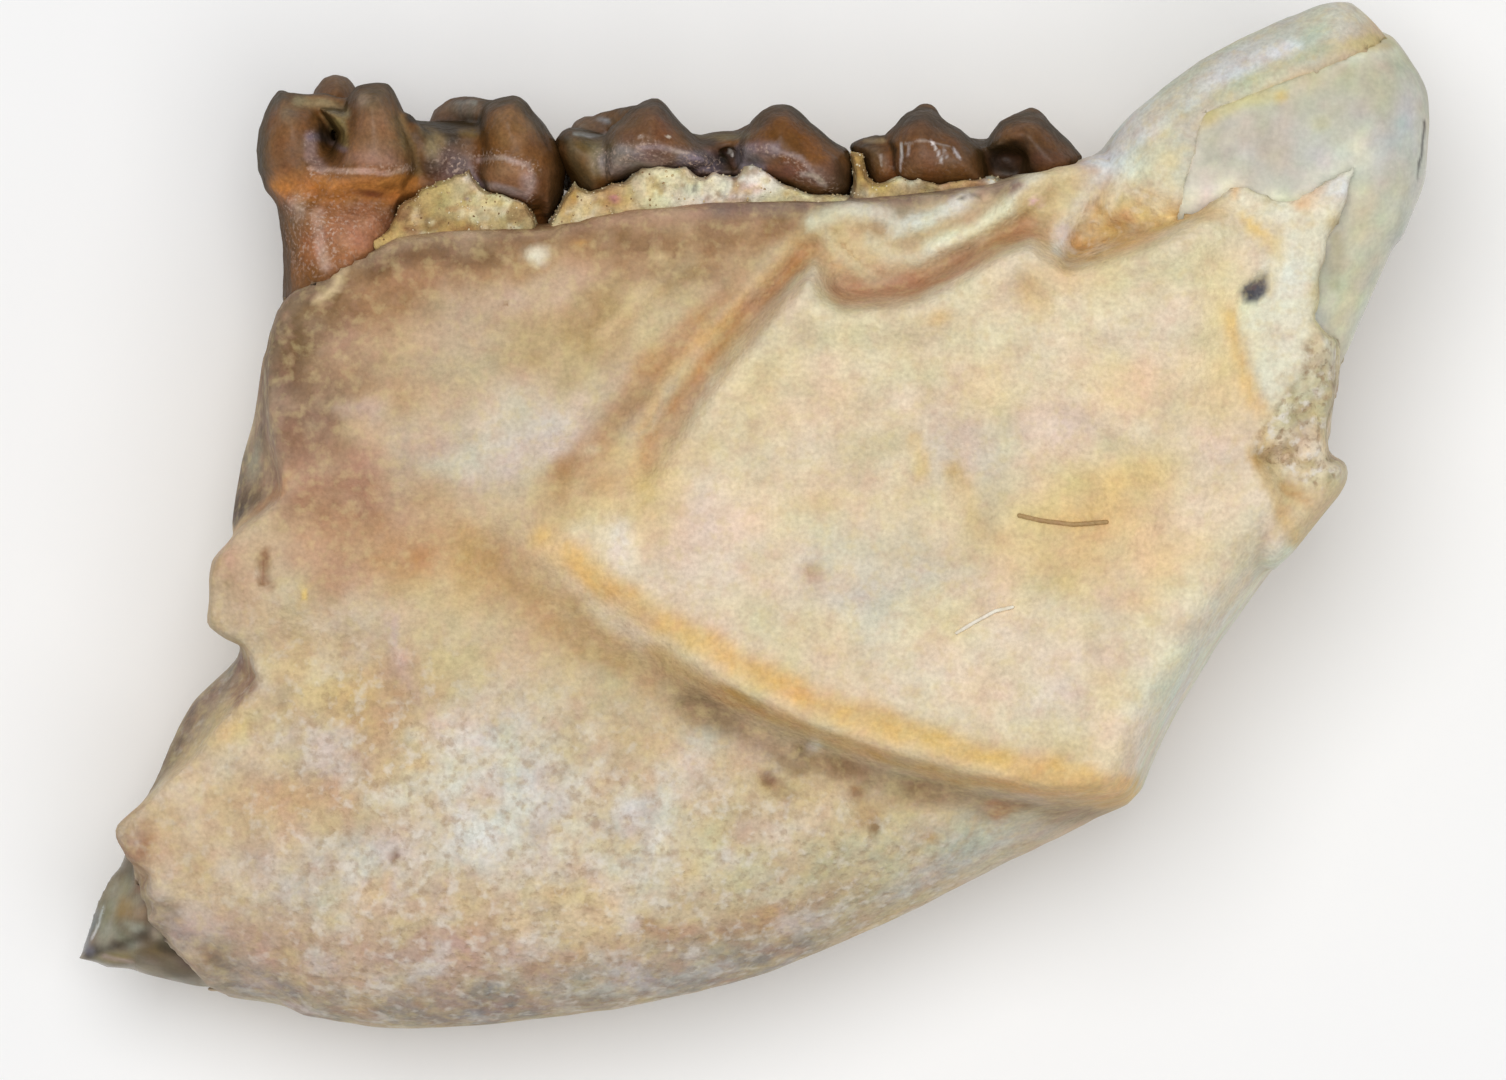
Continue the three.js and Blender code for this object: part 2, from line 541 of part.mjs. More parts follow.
function boneField(x, y, z) {
  const deep = smoothstep(z, ...DEEP_EDGE_HEIGHT);
  const front = lerp(deepFrontDepth(x, y), frontDepth(x, y), deep);
  const onBack = smoothstep(plateDepth(x, y), -0.3, 0.1) * smoothstep(z, 1.5, 2.2);
  return slabField(z, midHeight(x, y), cheekHeight(x, y), restHeight(x, y), [
    [lowerDepth(x, y), lerp(EDGE_ROUND.lower, PLATE.edgeRound, onBack)],
    [upperDepth(x, y), EDGE_ROUND.upper],
    [front, EDGE_ROUND.front],
  ]);
}

// ---------------------------------------------------------------- incisor

// Tube with an oval section along the centre line, its depth lying in the plane of the arc.
function incisorGeometry(grow) {
  const line = new THREE.CatmullRomCurve3(INCISOR_LINE.map(({ at }) => new THREE.Vector3(...at)));
  const sized = (name, t) => {
    const place = t * (INCISOR_LINE.length - 1);
    const n = Math.min(Math.floor(place), INCISOR_LINE.length - 2);
    return lerp(INCISOR_LINE[n][name], INCISOR_LINE[n + 1][name], place - n) + grow;
  };
  const points = [];
  const triangles = [];
  for (let i = 0; i <= INCISOR_STATIONS; i++) {
    const t = i / INCISOR_STATIONS;
    const centre = line.getPoint(t);
    const along = line.getTangent(t);
    const outward = new THREE.Vector3(along.y, -along.x, 0).normalize();
    for (let j = 0; j < INCISOR_SIDES; j++) {
      const angle = (2 * Math.PI * j) / INCISOR_SIDES;
      points.push(centre.clone()
        .addScaledVector(outward, sized('depth', t) * Math.cos(angle))
        .add(new THREE.Vector3(0, 0, sized('width', t) * Math.sin(angle))).toArray());
    }
  }
  for (let i = 0; i < INCISOR_STATIONS; i++) {
    for (let j = 0; j < INCISOR_SIDES; j++) {
      const a = i * INCISOR_SIDES + j;
      const b = i * INCISOR_SIDES + ((j + 1) % INCISOR_SIDES);
      triangles.push(b, a, b + INCISOR_SIDES, b + INCISOR_SIDES, a, a + INCISOR_SIDES);
    }
  }
  for (let j = 1; j < INCISOR_SIDES - 1; j++) {
    const last = INCISOR_STATIONS * INCISOR_SIDES;
    triangles.push(0, j, j + 1, last, last + j + 1, last + j);
  }
  return { points, triangles };
}

// Box that fills the space in front of a plane, to cut a solid back to that plane.
function spaceBeyond(point, normal, offset) {
  const size = 6;
  const box = new THREE.BoxGeometry(size, size, size);
  box.translate(0, 0, size / 2 + offset);
  const turn = new THREE.Quaternion().setFromUnitVectors(
    new THREE.Vector3(0, 0, 1),
    new THREE.Vector3(...normal).normalize(),
  );
  box.applyQuaternion(turn);
  box.translate(...point);
  return solidOfGeometry(box);
}

function incisorSolid(grow) {
  let solid = solidOf(incisorGeometry(grow));
  for (const normal of BREAK_FACES) solid = solid.subtract(spaceBeyond(INCISOR_TIP, normal, grow));
  return solid.subtract(spaceBeyond(BASE_END.at, BASE_END.normal, grow));
}

// ---------------------------------------------------------------- molars and rock

function molarField({ span, neck, body, lobes, roots }) {
  return (x, y, z) => {
    const neckHeight = lerp(...neck, (x - span[0]) / (span[1] - span[0]));
    let crown = ellipsoidField(body, x, y, z);
    for (const lobe of lobes) crown = melt(crown, columnField(lobe, x, y, z), LOBE_BLEND);
    let field = -melt(-crown, y - neckHeight, 0.1);
    for (const root of roots) field = melt(field, columnField(root, x, y, z), LOBE_BLEND);
    return Math.max(field, span[0] - x, x - span[1]);
  };
}

function rockField({ slab, wedge }) {
  return (x, y, z) => {
    const [dx, dy, dz] = [x - slab.at[0], y - slab.at[1], z - slab.at[2]];
    const lump = 0.025 * Math.sin(9 * x + 2) * Math.cos(8 * z) + 0.015 * Math.sin(17 * x);
    const out = [Math.abs(dx), Math.abs(dy - slab.slope * dx), Math.abs(dz)].map(
      (value, n) => value - slab.half[n] + 0.08,
    );
    const box = Math.hypot(...out.map((value) => Math.max(value, 0))) - 0.08
      + Math.min(Math.max(...out), 0);
    return melt(box, columnField(wedge, x, y, z), 0.08) - lump;
  };
}

// Grid bounds around a piece.
const around = (from, to, margin) => [from.map((v) => v - margin), to.map((v) => v + margin)];

const molarSkins = Object.fromEntries(Object.entries(MOLARS).map(([name, molar]) => {
  const [low, high] = around([molar.span[0], 1.0, 0.85], [molar.span[1], 3.5, 2.65], 0.3);
  return [name, skin(molarField(molar), low, high, MOLAR_STEPS)];
}));

const rockSkins = Object.fromEntries(Object.entries(ROCKS).map(([name, rock]) => {
  const { at, half } = rock.slab;
  const [low, high] = around(at.map((v, n) => v - half[n]), at.map((v, n) => v + half[n]), 0.5);
  return [name, skin(rockField(rock), low, high, ROCK_STEPS)];
}));

// ---------------------------------------------------------------- fitting the pieces together

const sockets = Object.values(molarSkins).map((molar) => solidOf(swell(molar, SOCKET_GAP)));
const [boneLow, boneHigh] = around([-5.2, -4.0, 0], [5.2, 4.0, 3.4], 0.5);

const solids = {};
solids.jaw_bone = solidOf(skin(boneField, boneLow, boneHigh, BONE_STEPS))
  .subtract(incisorSolid(SOCKET_GAP));
for (const rock of Object.values(rockSkins)) {
  solids.jaw_bone = solids.jaw_bone.subtract(solidOf(swell(rock, SOCKET_GAP)));
}
for (const socket of sockets) solids.jaw_bone = solids.jaw_bone.subtract(socket);
solids.incisor = incisorSolid(0);
for (const [name, molar] of Object.entries(molarSkins)) solids[name] = solidOf(molar);
for (const [name, rock] of Object.entries(rockSkins)) {
  solids[name] = sockets.reduce((left, socket) => left.subtract(socket), solidOf(rock));
}

const jaw = new THREE.Group();
for (const [name, solid] of Object.entries(solids)) {
  const look = FINISH[name] ?? FINISH[name.split('_')[0]];
  const mesh = new THREE.Mesh(
    geometryOf(solid),
    new THREE.MeshStandardMaterial({ ...look, metalness: 0 }),
  );
  mesh.name = name;
  jaw.add(mesh);
}

export default jaw;
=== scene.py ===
"""A fossil rodent's broken left lower jaw, lying on its inner side with its teeth still in place.

The faceted solids give the sizes. Here every piece is shaped again at a fine scale and coloured:
the bone with its raised muscle plate and broken edges, the curved incisor that shows at both ends,
three brown molars and the crumbly rock between them. Shapes are written in millimetres, with X
running from the broken front to the back of the jaw, Y from its lower edge up to the molars and Z
from the inner side, which it lies on, out to the cheek side.
"""

import copy
import math

import bpy
import mathutils
import numpy as np
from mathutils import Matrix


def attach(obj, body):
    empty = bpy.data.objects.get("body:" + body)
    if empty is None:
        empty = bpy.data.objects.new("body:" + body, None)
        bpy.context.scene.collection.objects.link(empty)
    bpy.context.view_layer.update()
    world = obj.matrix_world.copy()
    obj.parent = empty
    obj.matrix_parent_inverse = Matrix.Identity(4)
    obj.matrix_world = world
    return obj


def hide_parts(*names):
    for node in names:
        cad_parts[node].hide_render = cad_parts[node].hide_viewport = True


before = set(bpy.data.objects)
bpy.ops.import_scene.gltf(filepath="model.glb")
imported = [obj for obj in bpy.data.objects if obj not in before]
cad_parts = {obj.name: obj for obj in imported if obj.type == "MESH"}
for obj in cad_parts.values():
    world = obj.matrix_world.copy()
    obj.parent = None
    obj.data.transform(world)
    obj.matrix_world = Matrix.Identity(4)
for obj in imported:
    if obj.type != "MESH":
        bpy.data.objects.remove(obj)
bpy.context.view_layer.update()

MM = 0.001  # one millimetre in scene units
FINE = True

# ---------------------------------------------------------------- noise


def lattice(i, j, k, seed):
    """A random value from -1 to 1 for each whole-number place."""
    mixed = (i * 73856093) ^ (j * 19349663) ^ (k * 83492791) ^ (seed * 26544357)
    mixed = ((mixed ^ (mixed >> 13)) * 1274126177) & 0x7FFFFFFF
    return mixed / 0x3FFFFFFF - 1.0


def noise(place, size, seed=0):
    """Smooth random values from -1 to 1, with lumps of the given size."""
    scaled = [np.asarray(axis) / size for axis in place]
    cells = [np.floor(axis).astype(np.int64) for axis in scaled]
    parts = [axis - cell for axis, cell in zip(scaled, cells)]
    parts = [t * t * (3 - 2 * t) for t in parts]
    total = 0.0
    for corner in range(8):
        steps = [(corner >> axis) & 1 for axis in range(3)]
        share = 1.0
        for step, part in zip(steps, parts):
            share = share * (part if step else 1 - part)
        i, j, k = [cell + step for cell, step in zip(cells, steps)]
        total = total + share * lattice(i, j, k, seed)
    return total


def layered(place, size, layers=3, seed=0):
    """Noise with finer lumps on its coarser ones."""
    total, height = 0.0, 1.0
    for layer in range(layers):
        total = total + height * noise(place, size / 2**layer, seed + 17 * layer)
        height *= 0.5
    return total


# ---------------------------------------------------------------- distances and profiles


def bell(t):
    return np.exp(-t * t)


def ease(value, start, end):
    """0 before the start and 1 after the end, with a soft change between them."""
    t = np.clip((value - start) / (end - start), 0, 1)
    return t * t * (3 - 2 * t)


def melt(a, b, width):
    """Smooth union of two fields over a blend width."""
    h = np.clip(0.5 + 0.5 * (b - a) / width, 0, 1)
    return b + (a - b) * h - width * h * (1 - h)


def carve(a, b, width):
    """Field a with the part inside b taken away, the new edge rounded over a width."""
    return -melt(-a, b, width)


def segment_distance(x, y, a, b):
    dx, dy = b[0] - a[0], b[1] - a[1]
    t = np.clip(((x - a[0]) * dx + (y - a[1]) * dy) / (dx * dx + dy * dy), 0, 1)
    return np.hypot(x - a[0] - t * dx, y - a[1] - t * dy)


def path_distance(path, x, y):
    return np.minimum.reduce([segment_distance(x, y, a, b) for a, b in zip(path, path[1:])])


def inside_polygon(polygon, x, y):
    inside = np.zeros(np.shape(x), bool)
    for (x0, y0), (x1, y1) in zip(polygon[-1:] + polygon[:-1], polygon):
        if y0 == y1:
            continue
        crosses = ((y1 > y) != (y0 > y)) & (x < (x0 - x1) * (y - y1) / (y0 - y1) + x1)
        inside ^= crosses
    return inside


def edge_depth(path, far, x, y):
    """Depth inside an edge (negative outside). The far points close the edge on the inner side."""
    return path_distance(path, x, y) * np.where(inside_polygon(path + far, x, y), 1, -1)


def area_depth(polygon, x, y):
    return edge_depth(polygon + polygon[:1], [], x, y)


def column_field(x, y, z, base, wide, tip, narrow, squash=1.0):
    """Tapering column between two points. A squash under 1 flattens it along Z."""
    axis = [t - b for b, t in zip(base, tip)]
    ax, ay, az = x - base[0], y - base[1], (z - base[2]) / squash
    along = np.clip((ax * axis[0] + ay * axis[1] + az * axis[2]) / sum(a * a for a in axis), 0, 1)
    gap = np.sqrt(
        (ax - along * axis[0]) ** 2 + (ay - along * axis[1]) ** 2 + (az - along * axis[2]) ** 2
    )
    return gap - (wide + (narrow - wide) * along)


def slab_field(z, middle, top, bottom, roundings):
    """Slab between two heights, with each edge rounding over its own width."""
    half = np.maximum(0.2, np.where(z > middle, top - middle, middle - bottom))
    edge = sum(np.maximum(0, 1 - depth / width) ** 2 for depth, width in roundings)
    return half * (np.sqrt(edge + ((z - middle) / half) ** 2) - 1)


def lobe_field(grid, outline, low, high, rounding):
    """Swelling with the given outline from the cheek side, between two heights."""
    depth = area_depth(outline, *grid.flat)[:, :, None]
    return slab_field(grid.z, (low + high) / 2, high, low, [(depth, rounding)])


def ball_field(x, y, z, at, half):
    scaled = np.sqrt(sum(((c - a) / h) ** 2 for c, a, h in zip((x, y, z), at, half)))
    return (scaled - 1) * min(half)


# ---------------------------------------------------------------- meshes from fields


class Grid:
    """Evenly spaced points in a box, as three arrays that stretch over each other."""

    def __init__(self, low, high, step):
        self.step = step
        self.take([np.arange(a, b + step, step) for a, b in zip(low, high)])

    def take(self, axes):
        self.low = np.array([axis[0] for axis in axes])
        self.x = axes[0][:, None, None]
        self.y = axes[1][None, :, None]
        self.z = axes[2][None, None, :]
        self.flat = np.broadcast_arrays(self.x[:, :, 0], self.y[:, :, 0])

    def part(self, low, high):
        """The grid's part inside a box, and where it lies in the whole."""
        axes = [axis.ravel() for axis in (self.x, self.y, self.z)]
        where = tuple(
            slice(*np.searchsorted(axis, (a, b))) for axis, a, b in zip(axes, low, high)
        )
        piece = copy.copy(self)
        piece.take([axis[span] for axis, span in zip(axes, where)])
        return where, piece

    def near(self, values, reach):
        """Where a field is close to its surface, with the three coordinates of those points."""
        close = np.abs(values) < reach
        i, j, k = np.nonzero(close)
        return close, (self.x[i, 0, 0], self.y[0, j, 0], self.z[0, 0, k])


def skin(values, grid):
    """Closed quad mesh round the part of a grid where the values are negative."""
    inside = values < 0
    shape = np.array(values.shape)
    corners = [(n & 1, (n >> 1) & 1, (n >> 2) & 1) for n in range(8)]
    window = [tuple(slice(c, s - 1 + c) for c, s in zip(corner, shape)) for corner in corners]
    filled = sum(inside[place].astype(np.int8) for place in window)
    cells = np.argwhere((filled > 0) & (filled < 8))
    number = np.full(shape - 1, -1, np.int64)
    number[tuple(cells.T)] = np.arange(len(cells))

    offset = np.zeros((len(cells), 3))
    hits = np.zeros(len(cells))
    for n in range(8):
        for bit in (1, 2, 4):
            if n & bit:
                continue
            a, b = np.array(corners[n]), np.array(corners[n | bit])
            start = values[tuple((cells + a).T)]
            end = values[tuple((cells + b).T)]
            crossed = (start < 0) != (end < 0)
            t = start[crossed] / (start[crossed] - end[crossed])
            offset[crossed] += a + t[:, None] * (b - a)
            hits[crossed] += 1
    points = grid.low + (cells + offset / hits[:, None]) * grid.step

    quads = []
    for axis in range(3):
        side, up = np.eye(3, dtype=int)[(axis + 1) % 3], np.eye(3, dtype=int)[(axis + 2) % 3]
        before = np.take(inside, range(shape[axis] - 1), axis)
        after = np.take(inside, range(1, shape[axis]), axis)
        place = np.argwhere(before != after)
        place = place[(place >= side + up).all(1) & (place < shape - 1).all(1)]
        ring = [number[tuple((place - shift).T)] for shift in (side + up, up, 0 * up, side)]
        quad = np.stack(ring, 1)
        outward = before[tuple(place.T)]
        quads.append(np.where(outward[:, None], quad, quad[:, ::-1]))
    return points, np.concatenate(quads)


def smooth(points, quads, passes=1):
    """Moves every vertex half of the way to the middle of its neighbours."""
    for _ in range(passes):
        total = np.zeros_like(points)
        count = np.zeros(len(points))
        for a, b in ((0, 1), (1, 2), (2, 3), (3, 0)):
            np.add.at(total, quads[:, a], points[quads[:, b]])
            np.add.at(count, quads[:, a], 1)
        points = 0.5 * points + 0.5 * total / count[:, None]
    return points


def normals_of(points, quads):
    across = np.cross(
        points[quads[:, 2]] - points[quads[:, 0]], points[quads[:, 3]] - points[quads[:, 1]]
    )
    normals = np.zeros_like(points)
    for corner in range(4):
        np.add.at(normals, quads[:, corner], across)
    return normals / np.maximum(np.linalg.norm(normals, axis=1), 1e-9)[:, None]


def make_object(name, points, quads, layers):
    """Mesh object at the origin, with its point colours and point values stored by name."""
    mesh = bpy.data.meshes.new(name)
    mesh.vertices.add(len(points))
    mesh.vertices.foreach_set("co", (points * MM).ravel())
    mesh.loops.add(quads.size)
    mesh.loops.foreach_set("vertex_index", quads.ravel())
    mesh.polygons.add(len(quads))
    mesh.polygons.foreach_set("loop_start", np.arange(len(quads)) * 4)
    mesh.polygons.foreach_set("use_smooth", np.ones(len(quads), bool))
    mesh.update(calc_edges=True)
    mesh.validate()
    for layer, values in layers.items():
        if values.ndim == 2:
            colours = np.column_stack([values, np.ones(len(values))])
            mesh.attributes.new(layer, "FLOAT_COLOR", "POINT").data.foreach_set(
                "color", colours.ravel()
            )
        else:
            mesh.attributes.new(layer, "FLOAT", "POINT").data.foreach_set("value", values)
    piece = bpy.data.objects.new(name, mesh)
    bpy.context.collection.objects.link(piece)
    return piece


# ---------------------------------------------------------------- stained marks, painted shade and painted highlights


def tone(code):
    """Linear colour of a six-digit screen colour."""
    screen = np.array([int(code[n : n + 2], 16) / 255 for n in (0, 2, 4)])
    return np.where(screen <= 0.04045, screen / 12.92, ((screen + 0.055) / 1.055) ** 2.4)


def blot(at, half, colour, strength=0.8, turn=0):
    """Oval mark of colour, used for stained patches, painted shade and painted highlights: its middle, half sizes,
    colour, strength and turn in degrees.
    """
    c, s = math.cos(math.radians(turn)), math.sin(math.radians(turn))

    def cover(x, y):
        dx, dy = x - at[0], y - at[1]
        far = np.hypot((c * dx + s * dy) / half[0], (c * dy - s * dx) / half[1])
        return np.exp(-(far**3))

    return cover, colour, strength


def streak(path, half, colour, strength=0.8):
    """Mark of colour along a path, used for stained streaks, painted shade and painted highlights."""
    return (lambda x, y: np.exp(-((path_distance(path, x, y) / half) ** 3))), colour, strength


def patch(polygon, colour, strength=0.8, soft=0.06):
    """Mark of colour that fills an outline, used for stained areas and painted shade."""
    return (lambda x, y: ease(area_depth(polygon, x, y), -soft, soft)), colour, strength


def paint(colours, place, colour_marks, where, wander=0.05, patchiness=0.4, seed=0):
    """Lays marks of colour over the colours, where the given share allows, with wandering edges: stained marks,
    and in places painted shade and painted highlights.
    """
    x = place[0] + wander * layered(place, 0.3, 4, seed)
    y = place[1] + wander * layered(place, 0.3, 4, seed + 5)
    patchy = 1 + patchiness * layered(place, 0.17, 3, seed + 9)
    for cover, colour, strength in colour_marks:
        share = np.clip(strength * cover(x, y) * patchy, 0, 1) * where
        colours = colours + share[:, None] * (tone(colour) - colours)
    return colours

# ---------------------------------------------------------------- jaw bone: outlines and sizes

BONE_STEP = 0.055 if FINE else 0.08

LOWER_EDGE = [
    (-5.58, -3.38), (-4.23, -3.67), (-3.96, -3.73), (-3.7, -3.76), (-3.58, -3.8), (-3.48, -3.86), (-2.96, -3.94),
    (-2.65, -3.96), (-2, -3.92), (-1.04, -3.8), (-0.42, -3.67), (0.12, -3.52), (0.65, -3.3), (1.27, -3.02),
    (1.88, -2.7), (2.35, -2.48), (2.65, -2.32), (2.87, -2.23), (2.98, -2.11), (3.08, -1.86),
    (3.2, -1.6), (3.54, -1.03), (3.92, -0.5), (4.32, -0.03), (4.54, 0.29), (5.2, 1.6),
]
UPPER_EDGE = [
    (-4.6, 1.2), (-3.62, 1.73), (-3.35, 1.87), (-3.15, 1.99), (-2.96, 2.08), (-2.73, 2.19), (-2.35, 2.23),
    (-1.58, 2.26), (-1.31, 2.32), (-1.04, 2.38), (-0.42, 2.44), (0.73, 2.47), (1.35, 2.52), (1.88, 2.6),
    (2.27, 2.7), (2.46, 2.74), (2.65, 2.79), (2.75, 2.93), (2.88, 3.08), (3.12, 3.27),
    (3.42, 3.5), (3.73, 3.67), (4.04, 3.8), (4.35, 3.93), (4.5, 3.96), (4.59, 3.93), (4.72, 3.83),
    (4.85, 3.7), (4.9, 3.61), (4.93, 3.35), (4.88, 2.81), (4.78, 2.12), (4.6, 1.5),
    (4.5, 1.01), (4.44, 0.73), (4.42, 0.52), (4.47, 0.43), (4.53, 0.39), (4.55, 0.29),
    (5.4, -0.4),
]
FRONT_EDGE = [
    (-3.5, 2.35), (-3.62, 1.73), (-3.73, 1.47), (-3.78, 1.2), (-3.79, 0.89), (-3.75, 0.58), (-3.68, 0.29),
    (-3.68, 0.18), (-3.79, 0.06), (-3.96, -0.07), (-4.07, -0.2), (-4.18, -0.31), (-4.22, -0.46), (-4.22, -0.65),
    (-4.25, -0.85), (-4.1, -0.96), (-3.94, -1.03), (-3.91, -1.14), (-3.86, -1.25), (-3.98, -1.38), (-4.16, -1.59),
    (-4.35, -1.84), (-4.56, -2.02), (-4.7, -2.17), (-4.83, -2.27), (-4.95, -2.37), (-4.96, -2.47), (-4.89, -2.57),
    (-4.84, -2.67), (-4.67, -2.77), (-4.73, -2.9), (-4.65, -3), (-4.74, -3.14), (-4.58, -3.2), (-4.47, -3.34),
    (-4.35, -3.47), (-4.25, -3.65), (-4.16, -4.19),
]
DEEP_FRONT_EDGE = [
    (-3.5, 2.35), (-3.62, 1.73), (-3.79, 1.2), (-3.86, 0.73), (-3.95, 0.43), (-3.99, 0.2), (-4.03, -0.07),
    (-3.98, -0.34), (-3.98, -0.65), (-3.96, -1.05), (-4.02, -1.14), (-4.16, -1.27), (-4.32, -1.42), (-4.42, -1.59),
    (-4.52, -1.8), (-4.63, -2.07), (-4.73, -2.23), (-4.78, -2.42), (-4.8, -2.67), (-4.77, -2.97), (-4.68, -3.19),
    (-4.5, -3.39), (-4.28, -3.65), (-4.21, -4.19),
]
DEEP_EDGE_HEIGHT = (1.65, 2.25)
EDGE_ROUND = {"lower": 1.05, "by_teeth": 0.08, "arch": 0.3, "front": 0.07}
MID_HEIGHT = {"lower_edge": 1.35, "per_up": 0.05, "back_rise": 0.1}

CHEEK = {
    "height": 2.46,
    "middle": {"y": 0.4, "half": 1.6, "rise": 0.24},
    "over_incisor": {"y": -2.3, "half": 0.9, "rise": 0.12},
    "front_slope": {"start": -4.6, "end": -2.6, "drop": 0.16},
    "socket_slope": {"start": 1.6, "end": 2.4, "drop": -0.05},
}
REST_FACE = {"x": -0.2, "y": -0.6, "half_x": 2.5, "half_y": 1.65}
INNER = {
    "hidden": 0.12,
    "swelling": {"height": 0.5, "rate": 0.25},
    "over_incisor": {"depth": 0.8, "half": 0.45, "drop": 0.1},
    "muscle_groove": {"y": 1.55, "half": 0.3, "rise": 0.12, "start": -3.5, "end": -2.0},
    "back_rise": 0.75,
}

# The raised plate that the jaw muscle held on to.
PLATE_FRONT = (-1.65, -0.27)
PLATE_CREST = [
    (-1.27, -0.68), (-0.88, -1), (-0.5, -1.25), (0.28, -1.63), (1.06, -1.9), (1.85, -2.1), (2.48, -2.2),
    (2.92, -2.23),
]
PLATE_BACK = [
    (3.1, -1.77), (3.38, -1.27), (3.73, -0.74), (4.08, -0.28), (3.92, 0.12), (3.82, 0.45),
    (4.02, 0.68), (4.42, 0.89),
]
PLATE_TOP = [
    (4.5, 2.58), (3.73, 2.47), (2.98, 2.12), (2.39, 1.92), (2.12, 2.12), (1.81, 2.03),
    (1.58, 1.87), (1.23, 1.69), (0.69, 1.63), (0.52, 1.72), (0.46, 1.95),
]
PLATE_RIDGE = [(0.35, 1.85), (-0.04, 1.44), (-0.42, 0.98), (-0.67, 0.61), (-0.88, 0.35), (-1.19, 0.08)]
PLATE_OUTLINE = [PLATE_FRONT] + PLATE_CREST + PLATE_BACK + PLATE_TOP + PLATE_RIDGE
PLATE = {
    "front": 2.8,
    "rise": 0.085,
    "hollow": 0.22,
    "rim": 0.07,
    "bevel": 0.12,
    "front_bevel": 0.42,
    "edge_round": 0.4,
}

# Cheek wall over the incisor's base: beyond this ragged edge the wall is lost.
WALL_EDGE = [
    (2.19, 3.4), (2.64, 2.9), (2.68, 2.69), (2.7, 2.57), (2.79, 2.49),
    (2.92, 2.61), (3.05, 2.53), (3.19, 2.64), (3.33, 2.6), (3.46, 2.64), (3.58, 2.55),
    (3.7, 2.58), (3.81, 2.53), (3.96, 2.47), (4.1, 2.46), (4.21, 2.53), (4.32, 2.57),
    (4.45, 2.64), (4.56, 2.72), (4.64, 2.66), (4.58, 2.49), (4.48, 2.23), (4.39, 2.12), (4.38, 1.95), (4.32, 1.81), (4.35, 1.66), (4.28, 1.53),
    (4.38, 1.38), (4.32, 1.26), (4.24, 1.2), (4.25, 1), (4.16, 0.86), (4.06, 0.78),
    (4.01, 0.67), (3.9, 0.58), (3.84, 0.47), (3.95, 0.27), (4.08, 0), (4.19, -0.34),
    (5.2, -0.34),
]
WALL_HEIGHT = 3.07
BACKING_HEIGHT = 2.2
WALL_BEVEL = (-0.1, 0.05)
# Rounded body of the upper back end, which the incisor's base shares with the bone round it.
BACK_END = (
    [(2.62, 2.2), (2.58, 2.5), (2.68, 2.75), (2.76, 2.9), (2.88, 3.07), (3.12, 3.27),
     (3.42, 3.49), (3.73, 3.66), (4.04, 3.8), (4.35, 3.92), (4.5, 3.95), (4.59, 3.93), (4.72, 3.81),
     (4.84, 3.67), (4.99, 3.53), (5.11, 3.41), (5.15, 3.27), (5.16, 3.04), (5.1, 2.5),
     (4.96, 2.12), (4.5, 1.95), (3.42, 1.95)],
    1.6, 2.86, 0.62,
)

RUSTY_HOLLOW = [(2.48, 2.07), (2.65, 2.21), (2.96, 2.39)]

